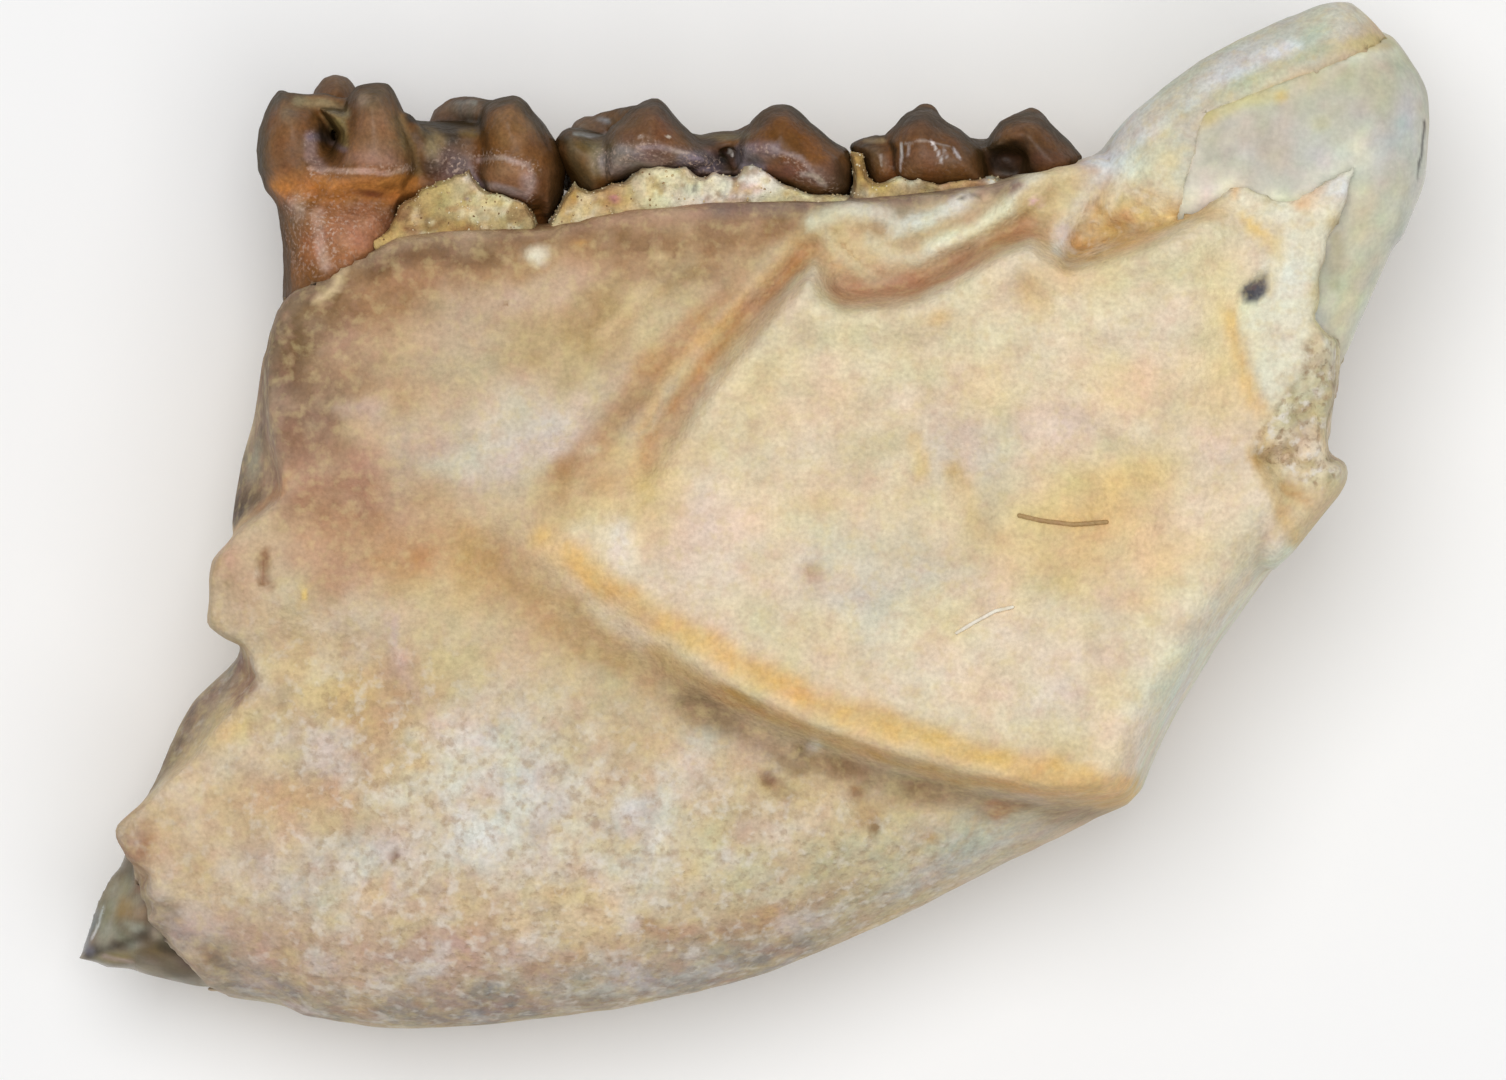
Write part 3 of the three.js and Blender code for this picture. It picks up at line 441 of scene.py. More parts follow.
# Ridges and grooves of the cheek side: path, half width, height.
RELIEF = [
    # the groove before the plate, the pale ridges beside it and the soft hollow before them
    ([(-0.81, 0.41), (-0.42, 1), (0, 1.52), (0.41, 1.98)], 0.11, -0.13),
    ([(-0.93, 0.66), (-0.59, 1.15), (-0.18, 1.61), (0.24, 2.06)], 0.07, 0.05),
    ([(-1.5, 0.39), (-1.02, 0.89), (-0.42, 1.43)], 0.14, -0.07),
    ([(-1.19, 1.39), (-0.85, 1.69), (-0.48, 1.95)], 0.06, 0.04),
    ([(-1.96, -0.23), (-1.5, -0.74), (-0.88, -1.17)], 0.26, -0.06),
    # along the crest's foot
    ([(-0.5, -1.53), (0.19, -1.9), (0.88, -2.13), (1.65, -2.28)], 0.17, -0.07),
    # folds and splinters over the back of the tooth row
    ([(0.67, 1.73), (0.95, 1.72), (1.23, 1.78), (1.58, 1.96), (1.81, 2.11), (2.1, 2.23)], 0.11, -0.1),
    ([(1.35, 2.03), (1.64, 2.15), (1.93, 2.32)], 0.07, 0.1),
    ([(1.09, 2.2), (1.35, 2.28), (1.62, 2.41)], 0.07, 0.08),
    ([(0.46, 2.26), (0.73, 2.33), (1.02, 2.3)], 0.07, 0.06),
    ([(0.96, 2.21), (1.15, 2.3), (1.42, 2.37)], 0.05, -0.03),
    ([(0.55, 2.15), (0.67, 1.98), (0.87, 1.85)], 0.05, 0.08),
    ([(0.7, 2.17), (0.82, 2.01), (1.01, 1.9)], 0.05, 0.07),
    ([(0.88, 2.13), (1.05, 2), (1.27, 1.95)], 0.05, 0.07),
    ([(0.64, 2.07), (0.78, 1.93), (0.99, 1.84)], 0.05, -0.05),
    # the flake beside the last molar and the band behind it
    ([(1.93, 2.37), (2.07, 2.55), (2.32, 2.64), (2.59, 2.69)], 0.09, 0.1),
    ([(2.01, 2.26), (2.15, 2.37), (2.3, 2.47)], 0.04, -0.04),
    ([(2.72, 2.7), (2.53, 2.43), (2.36, 2.18), (2.3, 1.95)], 0.08, 0.07),
    ([(2.27, 2.39), (2.18, 2.15), (2.22, 1.95)], 0.05, -0.05),
    # the rusty hollow
    (RUSTY_HOLLOW, 0.2, -0.1),
    ([(2.56, 2.18), (2.61, 2.09)], 0.05, 0.03),
    ([(2.75, 2.32), (2.82, 2.23)], 0.05, 0.08),
    ([(2.88, 2.37), (3.01, 2.33)], 0.04, 0.06),
    # the broken wall thins towards its ragged edge
    ([(2.81, 2.55), (3.27, 2.58), (3.73, 2.58), (4.12, 2.55), (4.54, 2.67)], 0.22, -0.12),
    # streaks on the body and steps on the broken front
    ([(-2.79, -0.82), (-2.64, -1.34), (-2.42, -1.77)], 0.04, 0.02),
    ([(-3.79, -0.29), (-3.78, -0.54)], 0.02, -0.06),
    ([(-3.35, 1.66), (-3.23, 1.77), (-3.15, 1.95)], 0.04, 0.03),
    ([(-3.94, -1.07), (-3.58, -0.96), (-3.19, -1.03)], 0.11, -0.05),
    ([(-4.23, -0.34), (-3.96, -0.53), (-3.5, -0.65)], 0.15, 0.05),
    ([(-3.68, 0.27), (-3.27, 0.35), (-2.73, 0.27)], 0.15, 0.04),
    # cracks on the thin plate
    ([(3.9, 1.43), (4, 1.13), (4.12, 0.89)], 0.02, -0.03),
    ([(4.19, 2.15), (4.16, 1.66), (4.24, 1.27)], 0.02, -0.02),
]

# Knobs and pits of the cheek side: middle, half sizes, height.
KNOBS = [
    ((-1.25, 0.52), (0.07, 0.05), 0.07),
    ((-1.67, 2), (0.07, 0.05), 0.06),
    ((2.23, 2.46), (0.26, 0.2), 0.1),
    ((4.04, 0.48), (0.15, 0.07), 0.06),
    ((-1.9, 1.62), (0.03, 0.02), -0.05),
    ((0.08, -2.03), (0.05, 0.04), -0.09),
    ((0.35, -1.77), (0.05, 0.04), -0.08),
    ((0.46, -1.73), (0.05, 0.05), 0.05),
    ((0.79, -2.15), (0.07, 0.05), -0.06),
    ((0.94, -2.39), (0.05, 0.06), -0.06),
    ((1.92, -2.23), (0.07, 0.05), -0.05),
    ((-1.18, -3.03), (0.04, 0.02), -0.06),
    ((-2.75, -2.61), (0.03, 0.02), -0.06),
    ((-2.3, -3.6), (0.02, 0.02), -0.05),
    ((1.52, 1.03), (0.04, 0.04), -0.03),
    ((0.44, -0.43), (0.07, 0.05), -0.04),
    ((1.65, 2.42), (0.05, 0.02), -0.1),
    ((-3.45, -0.6), (0.02, 0.06), 0.04),
    ((-3.85, -0.44), (0.03, 0.03), 0.03),
    ((2.65, -0.03), (0.62, 0.46), -0.06),
    ((1.12, -0.34), (0.46, 0.38), -0.04),
    ((-0.88, 0.12), (0.31, 0.28), -0.04),
    ((-0.42, -0.19), (0.31, 0.46), 0.04),
]
FORAMEN = {"at": (3.82, 1.73), "half": (0.13, 0.08), "turn": 50, "deep": 0.09}
THIN_PLATE = [
    (3.65, 1.5), (3.73, 1.18), (3.84, 0.89), (4.02, 0.7), (4.13, 0.78), (4.42, 1.12),
    (4.5, 2.39), (4.27, 2.33), (4.04, 2.12), (3.9, 1.95), (3.72, 1.66),
]
THIN_PLATE_DROP = 0.03
# Grainy fill and a smooth facet behind the thin plate: outline, height, softness.
SEDIMENT = [
    (3.81, 0.58), (3.93, 0.73), (3.99, 0.87), (4.12, 0.97), (4.18, 1.1), (4.22, 1.32),
    (4.42, 1.4), (4.68, 1.35), (4.65, 1.01), (4.58, 0.52), (4.5, 0.35), (4.36, 0.18),
    (4.12, 0.29), (3.87, 0.41),
]
SEDIMENT_HEIGHT = 2.97
FACET = [(3.84, 0.47), (4.09, 0.46), (4.36, 0.18), (4.54, 0.12), (4.19, -0.39), (4.04, -0.11)]
FACET_HEIGHT = 2.9
# Small knob at the back.
BACK_KNOB = (
    [(3.87, 0.41), (4.02, 0.53), (4.21, 0.6), (4.33, 0.55), (4.4, 0.46), (4.48, 0.45), (4.55, 0.39), (4.55, 0.29),
     (4.5, 0.18), (4.33, -0.03), (4.12, -0.29), (3.95, -0.45), (3.81, -0.23)],
    1.9, 2.93, 0.16,
)

# ---------------------------------------------------------------- jaw bone: shape


def towards_back(x, y):
    """How far along the way from the body of the jaw to its back upper end, 0 to 1."""
    return ease(0.75 * x + 0.66 * y, 2.4, 5.2)


def mid_height(x, y):
    rise = MID_HEIGHT["per_up"] * (y + 3.5) + MID_HEIGHT["back_rise"] * towards_back(x, y)
    return MID_HEIGHT["lower_edge"] + rise


def plate_height(x, y, depth):
    """Top of the muscle plate: it rises to the back, is hollow and has a raised rim."""
    hollow = bell((x - 1.5) / 1.4) * bell((y - 0.1) / 1.0)
    rim = bell((depth - 0.14) / 0.13) * ease(x, -1.2, 0.2)
    top = PLATE["front"] + PLATE["rise"] * (x - PLATE_FRONT[0])
    return top - PLATE["hollow"] * hollow + PLATE["rim"] * rim


def turned_oval(x, y, at, half, turn=0):
    """1 in the middle of an oval, falling off to nothing outside it."""
    c, s = math.cos(math.radians(turn)), math.sin(math.radians(turn))
    dx, dy = x - at[0], y - at[1]
    return bell(np.hypot((c * dx + s * dy) / half[0], (c * dy - s * dx) / half[1]))


def cheek_height(x, y):
    """Height of the cheek side above the rest."""
    height = CHEEK["height"] + 0 * x
    for swelling in (CHEEK["middle"], CHEEK["over_incisor"]):
        height += swelling["rise"] * bell((y - swelling["y"]) / swelling["half"])
    front, socket = CHEEK["front_slope"], CHEEK["socket_slope"]
    height -= front["drop"] * (1 - ease(x, front["start"], front["end"]))
    height -= socket["drop"] * ease(y, socket["start"], socket["end"])

    depth = area_depth(PLATE_OUTLINE, x, y)
    bevel = PLATE["front_bevel"] + (PLATE["bevel"] - PLATE["front_bevel"]) * ease(x, -1.4, 0.0)
    on_plate = ease(depth / bevel, -1, 1)
    height += (plate_height(x, y, depth) - height) * on_plate
    height += (WALL_HEIGHT - height) * ease(x, 3.2, 3.7)
    height -= THIN_PLATE_DROP * ease(area_depth(THIN_PLATE, x, y), -0.03, 0.03)
    for path, half, rise in RELIEF:
        height += rise * bell(path_distance(path, x, y) / half)
    for at, half, rise in KNOBS:
        height += rise * turned_oval(x, y, at, half)

    flat = 0 * x
    height += 0.03 * layered((x, y, flat), 0.9, 2, 3) + 0.014 * layered((x, y, flat), 0.25, 3, 4)
    wall = ease(edge_depth(WALL_EDGE, [(5.2, -9), (-9, -9), (-9, 3.4)], x, y), *WALL_BEVEL)
    backing = BACKING_HEIGHT + 0.04 * layered((x, y, flat), 0.3, 3, 6)
    grainy = SEDIMENT_HEIGHT + 0.05 * layered((x, y, flat), 0.14, 2, 7)
    backing += (grainy - backing) * ease(area_depth(SEDIMENT, x, y), -0.03, 0.03)
    backing += (FACET_HEIGHT - backing) * ease(area_depth(FACET, x, y), -0.03, 0.05)
    height = backing + (height - backing) * wall
    return height - FORAMEN["deep"] * turned_oval(
        x, y, FORAMEN["at"], FORAMEN["half"], FORAMEN["turn"]
    )


def rest_height(x, y, lower_depth):
    """Height of the inner side: flat where the jaw lies on it, swelling up round that."""
    across = (x - REST_FACE["x"]) / REST_FACE["half_x"]
    up = (y - REST_FACE["y"]) / REST_FACE["half_y"]
    beyond = across**2 + up**2 - 1
    swelling, over, groove = INNER["swelling"], INNER["over_incisor"], INNER["muscle_groove"]
    rising = swelling["height"] * (1 - np.exp(-swelling["rate"] * np.maximum(beyond, 0)))
    height = np.where(beyond < 0, INNER["hidden"] * beyond, rising)
    height -= over["drop"] * bell((lower_depth - over["depth"]) / over["half"])
    across_groove = bell((y - groove["y"]) / groove["half"])
    height += groove["rise"] * across_groove * ease(x, groove["start"], groove["end"])
    return np.maximum(0, height + INNER["back_rise"] * towards_back(x, y))


def bone_shape():
    """The jaw bone's surface as points and quads."""
    grid = Grid((-5.1, -4.15, -0.12), (5.05, 4.15, 3.45), BONE_STEP)
    x, y = grid.flat
    lower = edge_depth(LOWER_EDGE, [(9, 9), (-9, 9)], x, y)
    upper = edge_depth(UPPER_EDGE, [(5.4, -9), (-9, -9)], x, y)
    front = edge_depth(FRONT_EDGE, [(9, -9), (9, 9)], x, y)
    deep_front = edge_depth(DEEP_FRONT_EDGE, [(9, -9), (9, 9)], x, y)
    on_back = np.maximum(ease(area_depth(PLATE_OUTLINE, x, y), -0.3, 0.1), ease(x, 3.6, 3.9))
    heights = [mid_height(x, y), cheek_height(x, y), rest_height(x, y, lower)]
    lower, upper, front, deep_front, on_back = (
        values[:, :, None] for values in (lower, upper, front, deep_front, on_back)
    )
    deep = ease(grid.z, *DEEP_EDGE_HEIGHT)
    lower_round = EDGE_ROUND["lower"] + (PLATE["edge_round"] - EDGE_ROUND["lower"]) * on_back * ease(
        grid.z, 1.5, 2.2
    )
    arch = ease(grid.x, 2.7, 3.1) * ease(grid.y, 0.9, 1.5)
    upper_round = EDGE_ROUND["by_teeth"] + (EDGE_ROUND["arch"] - EDGE_ROUND["by_teeth"]) * arch
    bone = slab_field(
        grid.z,
        *(height[:, :, None] for height in heights),
        [
            (lower, lower_round),
            (upper, upper_round),
            (deep_front + (front - deep_front) * deep, EDGE_ROUND["front"]),
        ],
    )
    where, part = grid.part((3.7, -0.6, 1.8), (5.0, 0.7, 3.2))
    bone[where] = melt(bone[where], lobe_field(part, *BACK_KNOB), 0.06)
    bone = carve(bone, incisor_field(grid, SOCKET_GAP), 0.015)
    where, part = grid.part((2.3, 1.9, 1.5), (5.1, 4.1, 3.0))
    seams = [-plane_field(part, *seam) - SEAM_OVERLAP for seam in (BASE_END, BASE_SIDE)]
    collar = np.maximum(lobe_field(part, *BACK_END) - 0.004, np.minimum(*seams))
    bone[where] = melt(bone[where], collar, 0.03)
    for name in MOLARS:
        where, part = grid.part(*molar_room(name))
        bone[where] = carve(bone[where], molar_field(name, part) - SOCKET_GAP, 0.015)

    close, place = grid.near(bone, 0.15)
    px, py, _ = place
    broken = ease(-path_distance(FRONT_EDGE, px, py), -0.35, -0.05)
    broken = np.maximum(broken, ease(-path_distance(WALL_EDGE[4:11], px, py), -0.3, -0.04))
    broken = np.maximum(broken, ease(-path_distance(RUSTY_HOLLOW, px, py), -0.25, -0.1))
    broken = np.maximum(broken, ease(area_depth(SEDIMENT, px, py), -0.05, 0.05))
    rough = 0.006 + 0.035 * broken
    bone[close] += rough * layered(place, 0.16, 3, 21) + 0.3 * rough * noise(place, 0.05, 22)
    points, quads = skin(bone, grid)
    points = smooth(points, quads, 1)
    points[:, 2] = np.maximum(points[:, 2], 0)
    return points, quads

# ---------------------------------------------------------------- incisor

SOCKET_GAP = 0.008
SEAM_OVERLAP = 0.03
INCISOR_STEP = 0.036 if FINE else 0.07

# Centre line of the incisor: x, y, z, half depth (in the plane of its arc) and half width.
INCISOR_LINE = [
    (-5.7, -2.58, 1.3, 0.7, 0.6), (-4.9, -2.76, 1.3, 0.71, 0.6), (-4.2, -2.925, 1.3, 0.71, 0.6),
    (-3.4, -2.97, 1.28, 0.68, 0.6), (-2.6, -3.02, 1.25, 0.68, 0.6), (-1.6, -3.0, 1.22, 0.69, 0.6),
    (-0.7, -2.83, 1.2, 0.69, 0.6), (0.25, -2.5, 1.2, 0.69, 0.6), (1.1, -2.08, 1.25, 0.69, 0.6),
    (1.9, -1.56, 1.35, 0.7, 0.6), (2.5, -1.02, 1.5, 0.7, 0.61), (3.0, -0.4, 1.7, 0.7, 0.62),
    (3.34, 0.28, 1.95, 0.68, 0.6), (3.6, 0.92, 2.1, 0.69, 0.6), (3.86, 1.6, 2.2, 0.77, 0.64),
    (4.07, 2.3, 2.25, 0.86, 0.66), (4.17, 2.82, 2.24, 1.0, 0.64), (4.28, 3.25, 2.2, 0.9, 0.56),
    (4.4, 3.7, 2.15, 0.74, 0.45),
]
# Faces of the broken tip: a point on each and its outward normal.
BREAK_FACES = [
    ((-5.24, -3.36, 1.3), (-0.78, 0.42, 0.5)), ((-5.24, -3.36, 1.3), (-0.8, 0.36, -0.47)),
    ((-5.14, -3.18, 1.3), (-0.96, 0.26, 0.05)),
]
# Planes that end the incisor's base: a point on each and its outward normal.
BASE_END = ((4.05, 3.4, 2.2), (-0.35, 0.93, 0.12))
BASE_SIDE = ((3.3, 2.6, 2.2), (-1.0, 0.25, 0.0))
BASE_CORNER = ((4.95, 3.6, 2.2), (0.75, 0.66, 0.1))


def incisor_field(grid, grow):
    """Curved tube with an oval section, cut off at the broken tip and at the open base."""
    x, y = grid.flat
    best = np.full(x.shape, np.inf)
    found = [np.zeros(x.shape) for _ in range(3)]
    for a, b in zip(INCISOR_LINE, INCISOR_LINE[1:]):
        dx, dy = b[0] - a[0], b[1] - a[1]
        t = np.clip(((x - a[0]) * dx + (y - a[1]) * dy) / (dx * dx + dy * dy), 0, 1)
        off_x, off_y = x - a[0] - t * dx, y - a[1] - t * dy
        gap = np.hypot(off_x, off_y)
        nearer = gap < best
        best = np.where(nearer, gap, best)
        middle = [a[n] + t * (b[n] - a[n]) for n in (2, 3, 4)]
        for store, value in zip(found, middle):
            store[nearer] = value[nearer]
    height, depth, width = (values[:, :, None] for values in found)
    off = best[:, :, None] / (depth + grow)
    up = (grid.z - height) / (width + grow)
    tube = (np.sqrt(off**2 + up**2) - 1) * (width + grow)
    for at, normal in BREAK_FACES:
        tube = np.maximum(tube, plane_field(grid, at, normal) - grow)
    where, part = grid.part((2.8, 1.9, 1.5), (5.2, 3.95, 3.0))
    body = melt(tube[where], lobe_field(part, *BACK_END) - grow, 0.08)
    tube[where] = carve(body, grow - plane_field(part, *BASE_SIDE), 0.02)
    for end, rounding in ((BASE_END, 0.02), (BASE_CORNER, 0.12)):
        tube = carve(tube, grow - plane_field(grid, *end), rounding)
    return tube


def plane_field(grid, at, normal):
    length = math.sqrt(sum(n * n for n in normal))
    axes = zip((grid.x, grid.y, grid.z), at, normal)
    return sum((axis - a) * n / length for axis, a, n in axes)


def incisor_shape():
    grid = Grid((-5.35, -3.95, 0.45), (5.35, 3.85, 3.05), INCISOR_STEP)
    field = incisor_field(grid, 0)
    close, place = grid.near(field, 0.1)
    tip = ease(-place[0], 4.6, 4.95)
    rough = 0.001 + 0.02 * tip
    field[close] += rough * layered(place, 0.2, 3, 31)
    points, quads = skin(field, grid)
    return smooth(points, quads, 1), quads


# ---------------------------------------------------------------- molars

MOLAR_STEP = 0.021 if FINE else 0.05
LOBE_BLEND = 0.1

# Each lobe of a crown: its outline from the cheek side, lowest and highest z, and rounding.
MOLARS = {
    "molar_first": {
        "lobes": {
            "front": (
                [(-3.83, 2.66), (-3.84, 2.81), (-3.82, 2.97), (-3.77, 3.1), (-3.72, 3.2), (-3.66, 3.27),
                 (-3.61, 3.27), (-3.55, 3.23), (-3.47, 3.21), (-3.36, 3.17), (-3.27, 3.03), (-3.22, 2.81),
                 (-3.21, 2.5), (-3.28, 2.4), (-3.5, 2.37), (-3.65, 2.43), (-3.76, 2.52)],
                1.2, 2.28, 0.3,
            ),
            "outer middle": (
                [(-3.18, 2.97), (-3.14, 3.15), (-3.11, 3.24), (-3.06, 3.3), (-2.99, 3.32), (-2.9, 3.33),
                 (-2.82, 3.32), (-2.77, 3.26), (-2.73, 3.17), (-2.69, 3.06), (-2.64, 2.94), (-2.58, 2.81),
                 (-2.58, 2.69), (-2.61, 2.58), (-2.7, 2.47), (-2.88, 2.4), (-3.15, 2.39), (-3.36, 2.4),
                 (-3.35, 2.58), (-3.25, 2.8)],
                1.5, 2.6, 0.32,
            ),
            "foot": (
                [(-3.58, 2.73), (-3.31, 2.81), (-3.15, 2.81), (-2.88, 2.77), (-2.57, 2.72), (-2.59, 2.57),
                 (-2.7, 2.47), (-2.96, 2.39), (-3.35, 2.37), (-3.56, 2.4)],
                1.25, 2.44, 0.34,
            ),
            "inner middle": (
                [(-3.43, 3.2), (-3.39, 3.29), (-3.33, 3.37), (-3.24, 3.4), (-3.15, 3.38), (-3.1, 3.33),
                 (-3.06, 3.26), (-2.98, 2.97), (-2.96, 2.43), (-3.5, 2.43), (-3.47, 2.97)],
                0.96, 1.72, 0.24,
            ),
            "buttress": (
                [(-3.35, 3.13), (-3.22, 3.13), (-3.1, 3.09), (-3.07, 2.97), (-3.09, 2.83), (-3.15, 2.83),
                 (-3.22, 2.95)],
                1.5, 2.38, 0.1,
            ),
            "bridge": (
                [(-2.77, 3.07), (-2.58, 3.04), (-2.42, 3.03), (-2.08, 3.03), (-1.96, 2.89), (-1.96, 2.39),
                 (-2.73, 2.39), (-2.85, 2.81)],
                1.15, 2.22, 0.14,
            ),
            "inner rear": (
                [(-2.51, 3.03), (-2.47, 3.13), (-2.38, 3.19), (-2.27, 3.21), (-2.17, 3.19), (-2.07, 3.13),
                 (-1.96, 2.89), (-1.96, 2.39), (-2.58, 2.39), (-2.55, 2.81)],
                0.96, 1.7, 0.22,
            ),
            "outer rear": (
                [(-2.13, 2.81), (-2.12, 3), (-2.08, 3.13), (-2.02, 3.18), (-1.94, 3.21), (-1.86, 3.23),
                 (-1.81, 3.22), (-1.75, 3.17), (-1.69, 3.09), (-1.63, 3.02), (-1.57, 2.9), (-1.52, 2.8),
                 (-1.5, 2.62), (-1.56, 2.38), (-1.73, 2.33), (-1.92, 2.39), (-2.08, 2.43), (-2.16, 2.6)],
                1.45, 2.58, 0.3,
            ),
            "rear edge": (
                [(-1.67, 3.04), (-1.62, 3), (-1.55, 2.9), (-1.49, 2.81), (-1.45, 2.67), (-1.47, 2.5),
                 (-1.53, 2.33), (-1.58, 2.28), (-1.63, 2.28), (-1.68, 2.38), (-1.72, 2.58), (-1.73, 2.85)],
                1.15, 2.4, 0.2,
            ),
        },
        "ridges": [
            ((-3.55, 3.13, 1.95), (-3.33, 3.12, 1.9), 0.11),
            ((-3.33, 3.12, 1.9), (-3.12, 3.1, 1.95), 0.11),
            ((-2.7, 3, 2.2), (-2.47, 2.73, 2.22), 0.1),
            ((-2.28, 3.1, 1.5), (-1.96, 3.06, 2.0), 0.13),
        ],
        "roots": [
            (
                [(-3.72, 2.53), (-3.65, 2.26), (-3.63, 2.04), (-3.63, 1.66), (-3.56, 1.31), (-3.27, 1.04),
                 (-2.88, 1.31), (-2.72, 1.73), (-2.64, 2.53)],
                1.2, 2.5, 0.42,
            ),
            ([(-2.13, 2.46), (-2.1, 1.66), (-1.81, 1.43), (-1.58, 1.73), (-1.52, 2.46)], 1.35, 2.1, 0.25),
        ],
        "pits": [
            ((-3.26, 2.93, 2.42), (0.1, 0.1, 0.26)),
            ((-3.35, 3.03, 2.4), (0.07, 0.05, 0.16)),
            ((-2.48, 2.69, 2.4), (0.06, 0.07, 0.12)),
            ((-2.13, 2.81, 2.4), (0.05, 0.16, 0.12)),
        ],
    },
    "molar_second": {
        "lobes": {
            "front": (
                [(-1.55, 2.8), (-1.53, 2.89), (-1.48, 2.96), (-1.42, 2.99), (-1.35, 2.98), (-1.19, 2.93),
                 (-1.08, 2.89), (-1.05, 2.73), (-1.08, 2.55), (-1.16, 2.45), (-1.25, 2.43), (-1.35, 2.49),
                 (-1.43, 2.6), (-1.5, 2.7)],
                1.3, 2.32, 0.2,
            ),
            "outer middle": (
                [(-1.18, 2.87), (-1.11, 2.99), (-1.02, 3.05), (-0.94, 3.13), (-0.86, 3.18), (-0.79, 3.2),
                 (-0.74, 3.2), (-0.68, 3.15), (-0.63, 3.09), (-0.57, 3.02), (-0.49, 2.94), (-0.42, 2.86),
                 (-0.33, 2.77), (-0.29, 2.68), (-0.42, 2.63), (-0.73, 2.61), (-0.96, 2.6), (-1.15, 2.53),
                 (-1.19, 2.7)],
                1.5, 2.6, 0.3,
            ),
            "inner middle": (
                [(-1.45, 2.93), (-1.39, 3.04), (-1.31, 3.08), (-1.15, 3.08), (-1.08, 3.03), (-1.01, 2.93),
                 (-0.95, 2.5), (-1.48, 2.5)],
                0.96, 1.7, 0.2,
            ),
            "bridge": (
                [(-0.58, 2.96), (-0.42, 2.93), (-0.33, 2.95), (-0.25, 2.96), (-0.1, 2.96), (0.01, 3),
                 (0.19, 2.81), (0.19, 2.52), (-0.58, 2.52)],
                1.15, 2.2, 0.14,
            ),
            "waist": (
                [(-0.5, 2.77), (-0.3, 2.7), (-0.08, 2.75), (0.08, 2.81), (0.31, 2.8), (0.31, 2.53),
                 (-0.19, 2.55), (-0.5, 2.57)],
                1.4, 2.42, 0.22,
            ),
            "inner rear": (
                [(-0.33, 2.81), (-0.27, 2.93), (-0.13, 2.96), (-0.02, 2.93), (0.07, 2.81), (0.12, 2.5),
                 (-0.38, 2.5)],
                0.96, 1.68, 0.2,
            ),
            "outer rear": (
                [(-0.15, 2.81), (-0.1, 2.94), (-0.02, 3.04), (0.05, 3.11), (0.13, 3.15), (0.22, 3.16),
                 (0.28, 3.15), (0.35, 3.1), (0.42, 3.03), (0.51, 2.96), (0.6, 2.87), (0.7, 2.81),
                 (0.75, 2.69), (0.73, 2.52), (0.64, 2.43), (0.48, 2.41), (0.31, 2.47), (0.13, 2.57),
                 (-0.02, 2.64), (-0.13, 2.7)],
                1.5, 2.6, 0.3,
            ),
            "rear edge": (
                [(0.48, 2.96), (0.62, 2.86), (0.71, 2.82), (0.76, 2.73), (0.76, 2.58), (0.72, 2.45),
                 (0.62, 2.44), (0.5, 2.5), (0.44, 2.73)],
                1.2, 2.34, 0.17,
            ),
        },
        "ridges": [
            ((-0.82, 3.07, 1.9), (-1.19, 3, 1.5), 0.1),
            ((0.22, 3.04, 1.9), (-0.1, 2.87, 1.5), 0.1),
        ],
        "roots": [
            ([(-1.42, 2.53), (-1.27, 1.73), (-0.88, 1.73), (-0.79, 2.53)], 1.35, 2.1, 0.25),
            ([(0.08, 2.53), (0.19, 1.73), (0.58, 1.73), (0.73, 2.53)], 1.35, 2.1, 0.25),
        ],
        "pits": [
            ((-0.22, 2.79, 2.4), (0.09, 0.07, 0.3)),
            ((-0.18, 2.73, 2.4), (0.05, 0.08, 0.3)),
            ((-0.15, 2.64, 2.45), (0.03, 0.09, 0.3)),
        ],
    },
    "molar_third": {
        "lobes": {
            "front": (
                [(0.72, 2.83), (0.75, 2.87), (0.82, 2.9), (0.93, 2.93), (1.04, 2.91), (1.12, 2.87),
                 (1.18, 2.73), (1.13, 2.53), (1.01, 2.49), (0.9, 2.52), (0.84, 2.64), (0.8, 2.75),
                 (0.75, 2.79)],
                1.3, 2.24, 0.18,
            ),
            "outer middle": (
                [(1.01, 2.87), (1.06, 2.98), (1.12, 3.06), (1.17, 3.1), (1.25, 3.13), (1.31, 3.13),
                 (1.36, 3.12), (1.42, 3.07), (1.48, 3.02), (1.58, 2.97), (1.66, 2.9), (1.75, 2.81),
                 (1.79, 2.69), (1.78, 2.52), (1.58, 2.5), (1.41, 2.49), (1.23, 2.5), (1.09, 2.55),
                 (1.02, 2.73)],
                1.45, 2.52, 0.28,
            ),
            "inner middle": (
                [(0.87, 2.81), (0.95, 2.89), (1.06, 2.91), (1.15, 2.87), (1.25, 2.73), (1.27, 2.52),
                 (0.84, 2.52)],
                0.98, 1.66, 0.18,
            ),
            "bridge": (
                [(1.59, 2.92), (1.73, 2.9), (1.88, 2.89), (2.27, 2.85), (2.42, 2.73), (2.35, 2.5),
                 (1.54, 2.5)],
                1.1, 2.06, 0.12,
            ),
            "inner rear": (
                [(1.62, 2.75), (1.7, 2.83), (1.79, 2.84), (1.88, 2.8), (1.96, 2.5), (1.58, 2.5)],
                1.0, 1.64, 0.18,
            ),
            "outer rear": (
                [(1.76, 2.81), (1.81, 2.93), (1.88, 3.03), (1.98, 3.08), (2.08, 3.1), (2.15, 3.1),
                 (2.22, 3.08), (2.28, 3.01), (2.36, 2.93), (2.44, 2.85), (2.52, 2.76), (2.48, 2.6),
                 (2.32, 2.5), (2.16, 2.52), (2.05, 2.64), (1.96, 2.77), (1.84, 2.77)],
                1.4, 2.44, 0.26,
            ),
        },
        "ridges": [
            ((0.82, 2.84, 2.0), (1.04, 2.87, 2.1), 0.06),
            ((1.31, 3.07, 1.9), (1.04, 2.84, 1.5), 0.1),
            ((2.12, 3.04, 1.9), (1.81, 2.8, 1.5), 0.1),
        ],
        "roots": [
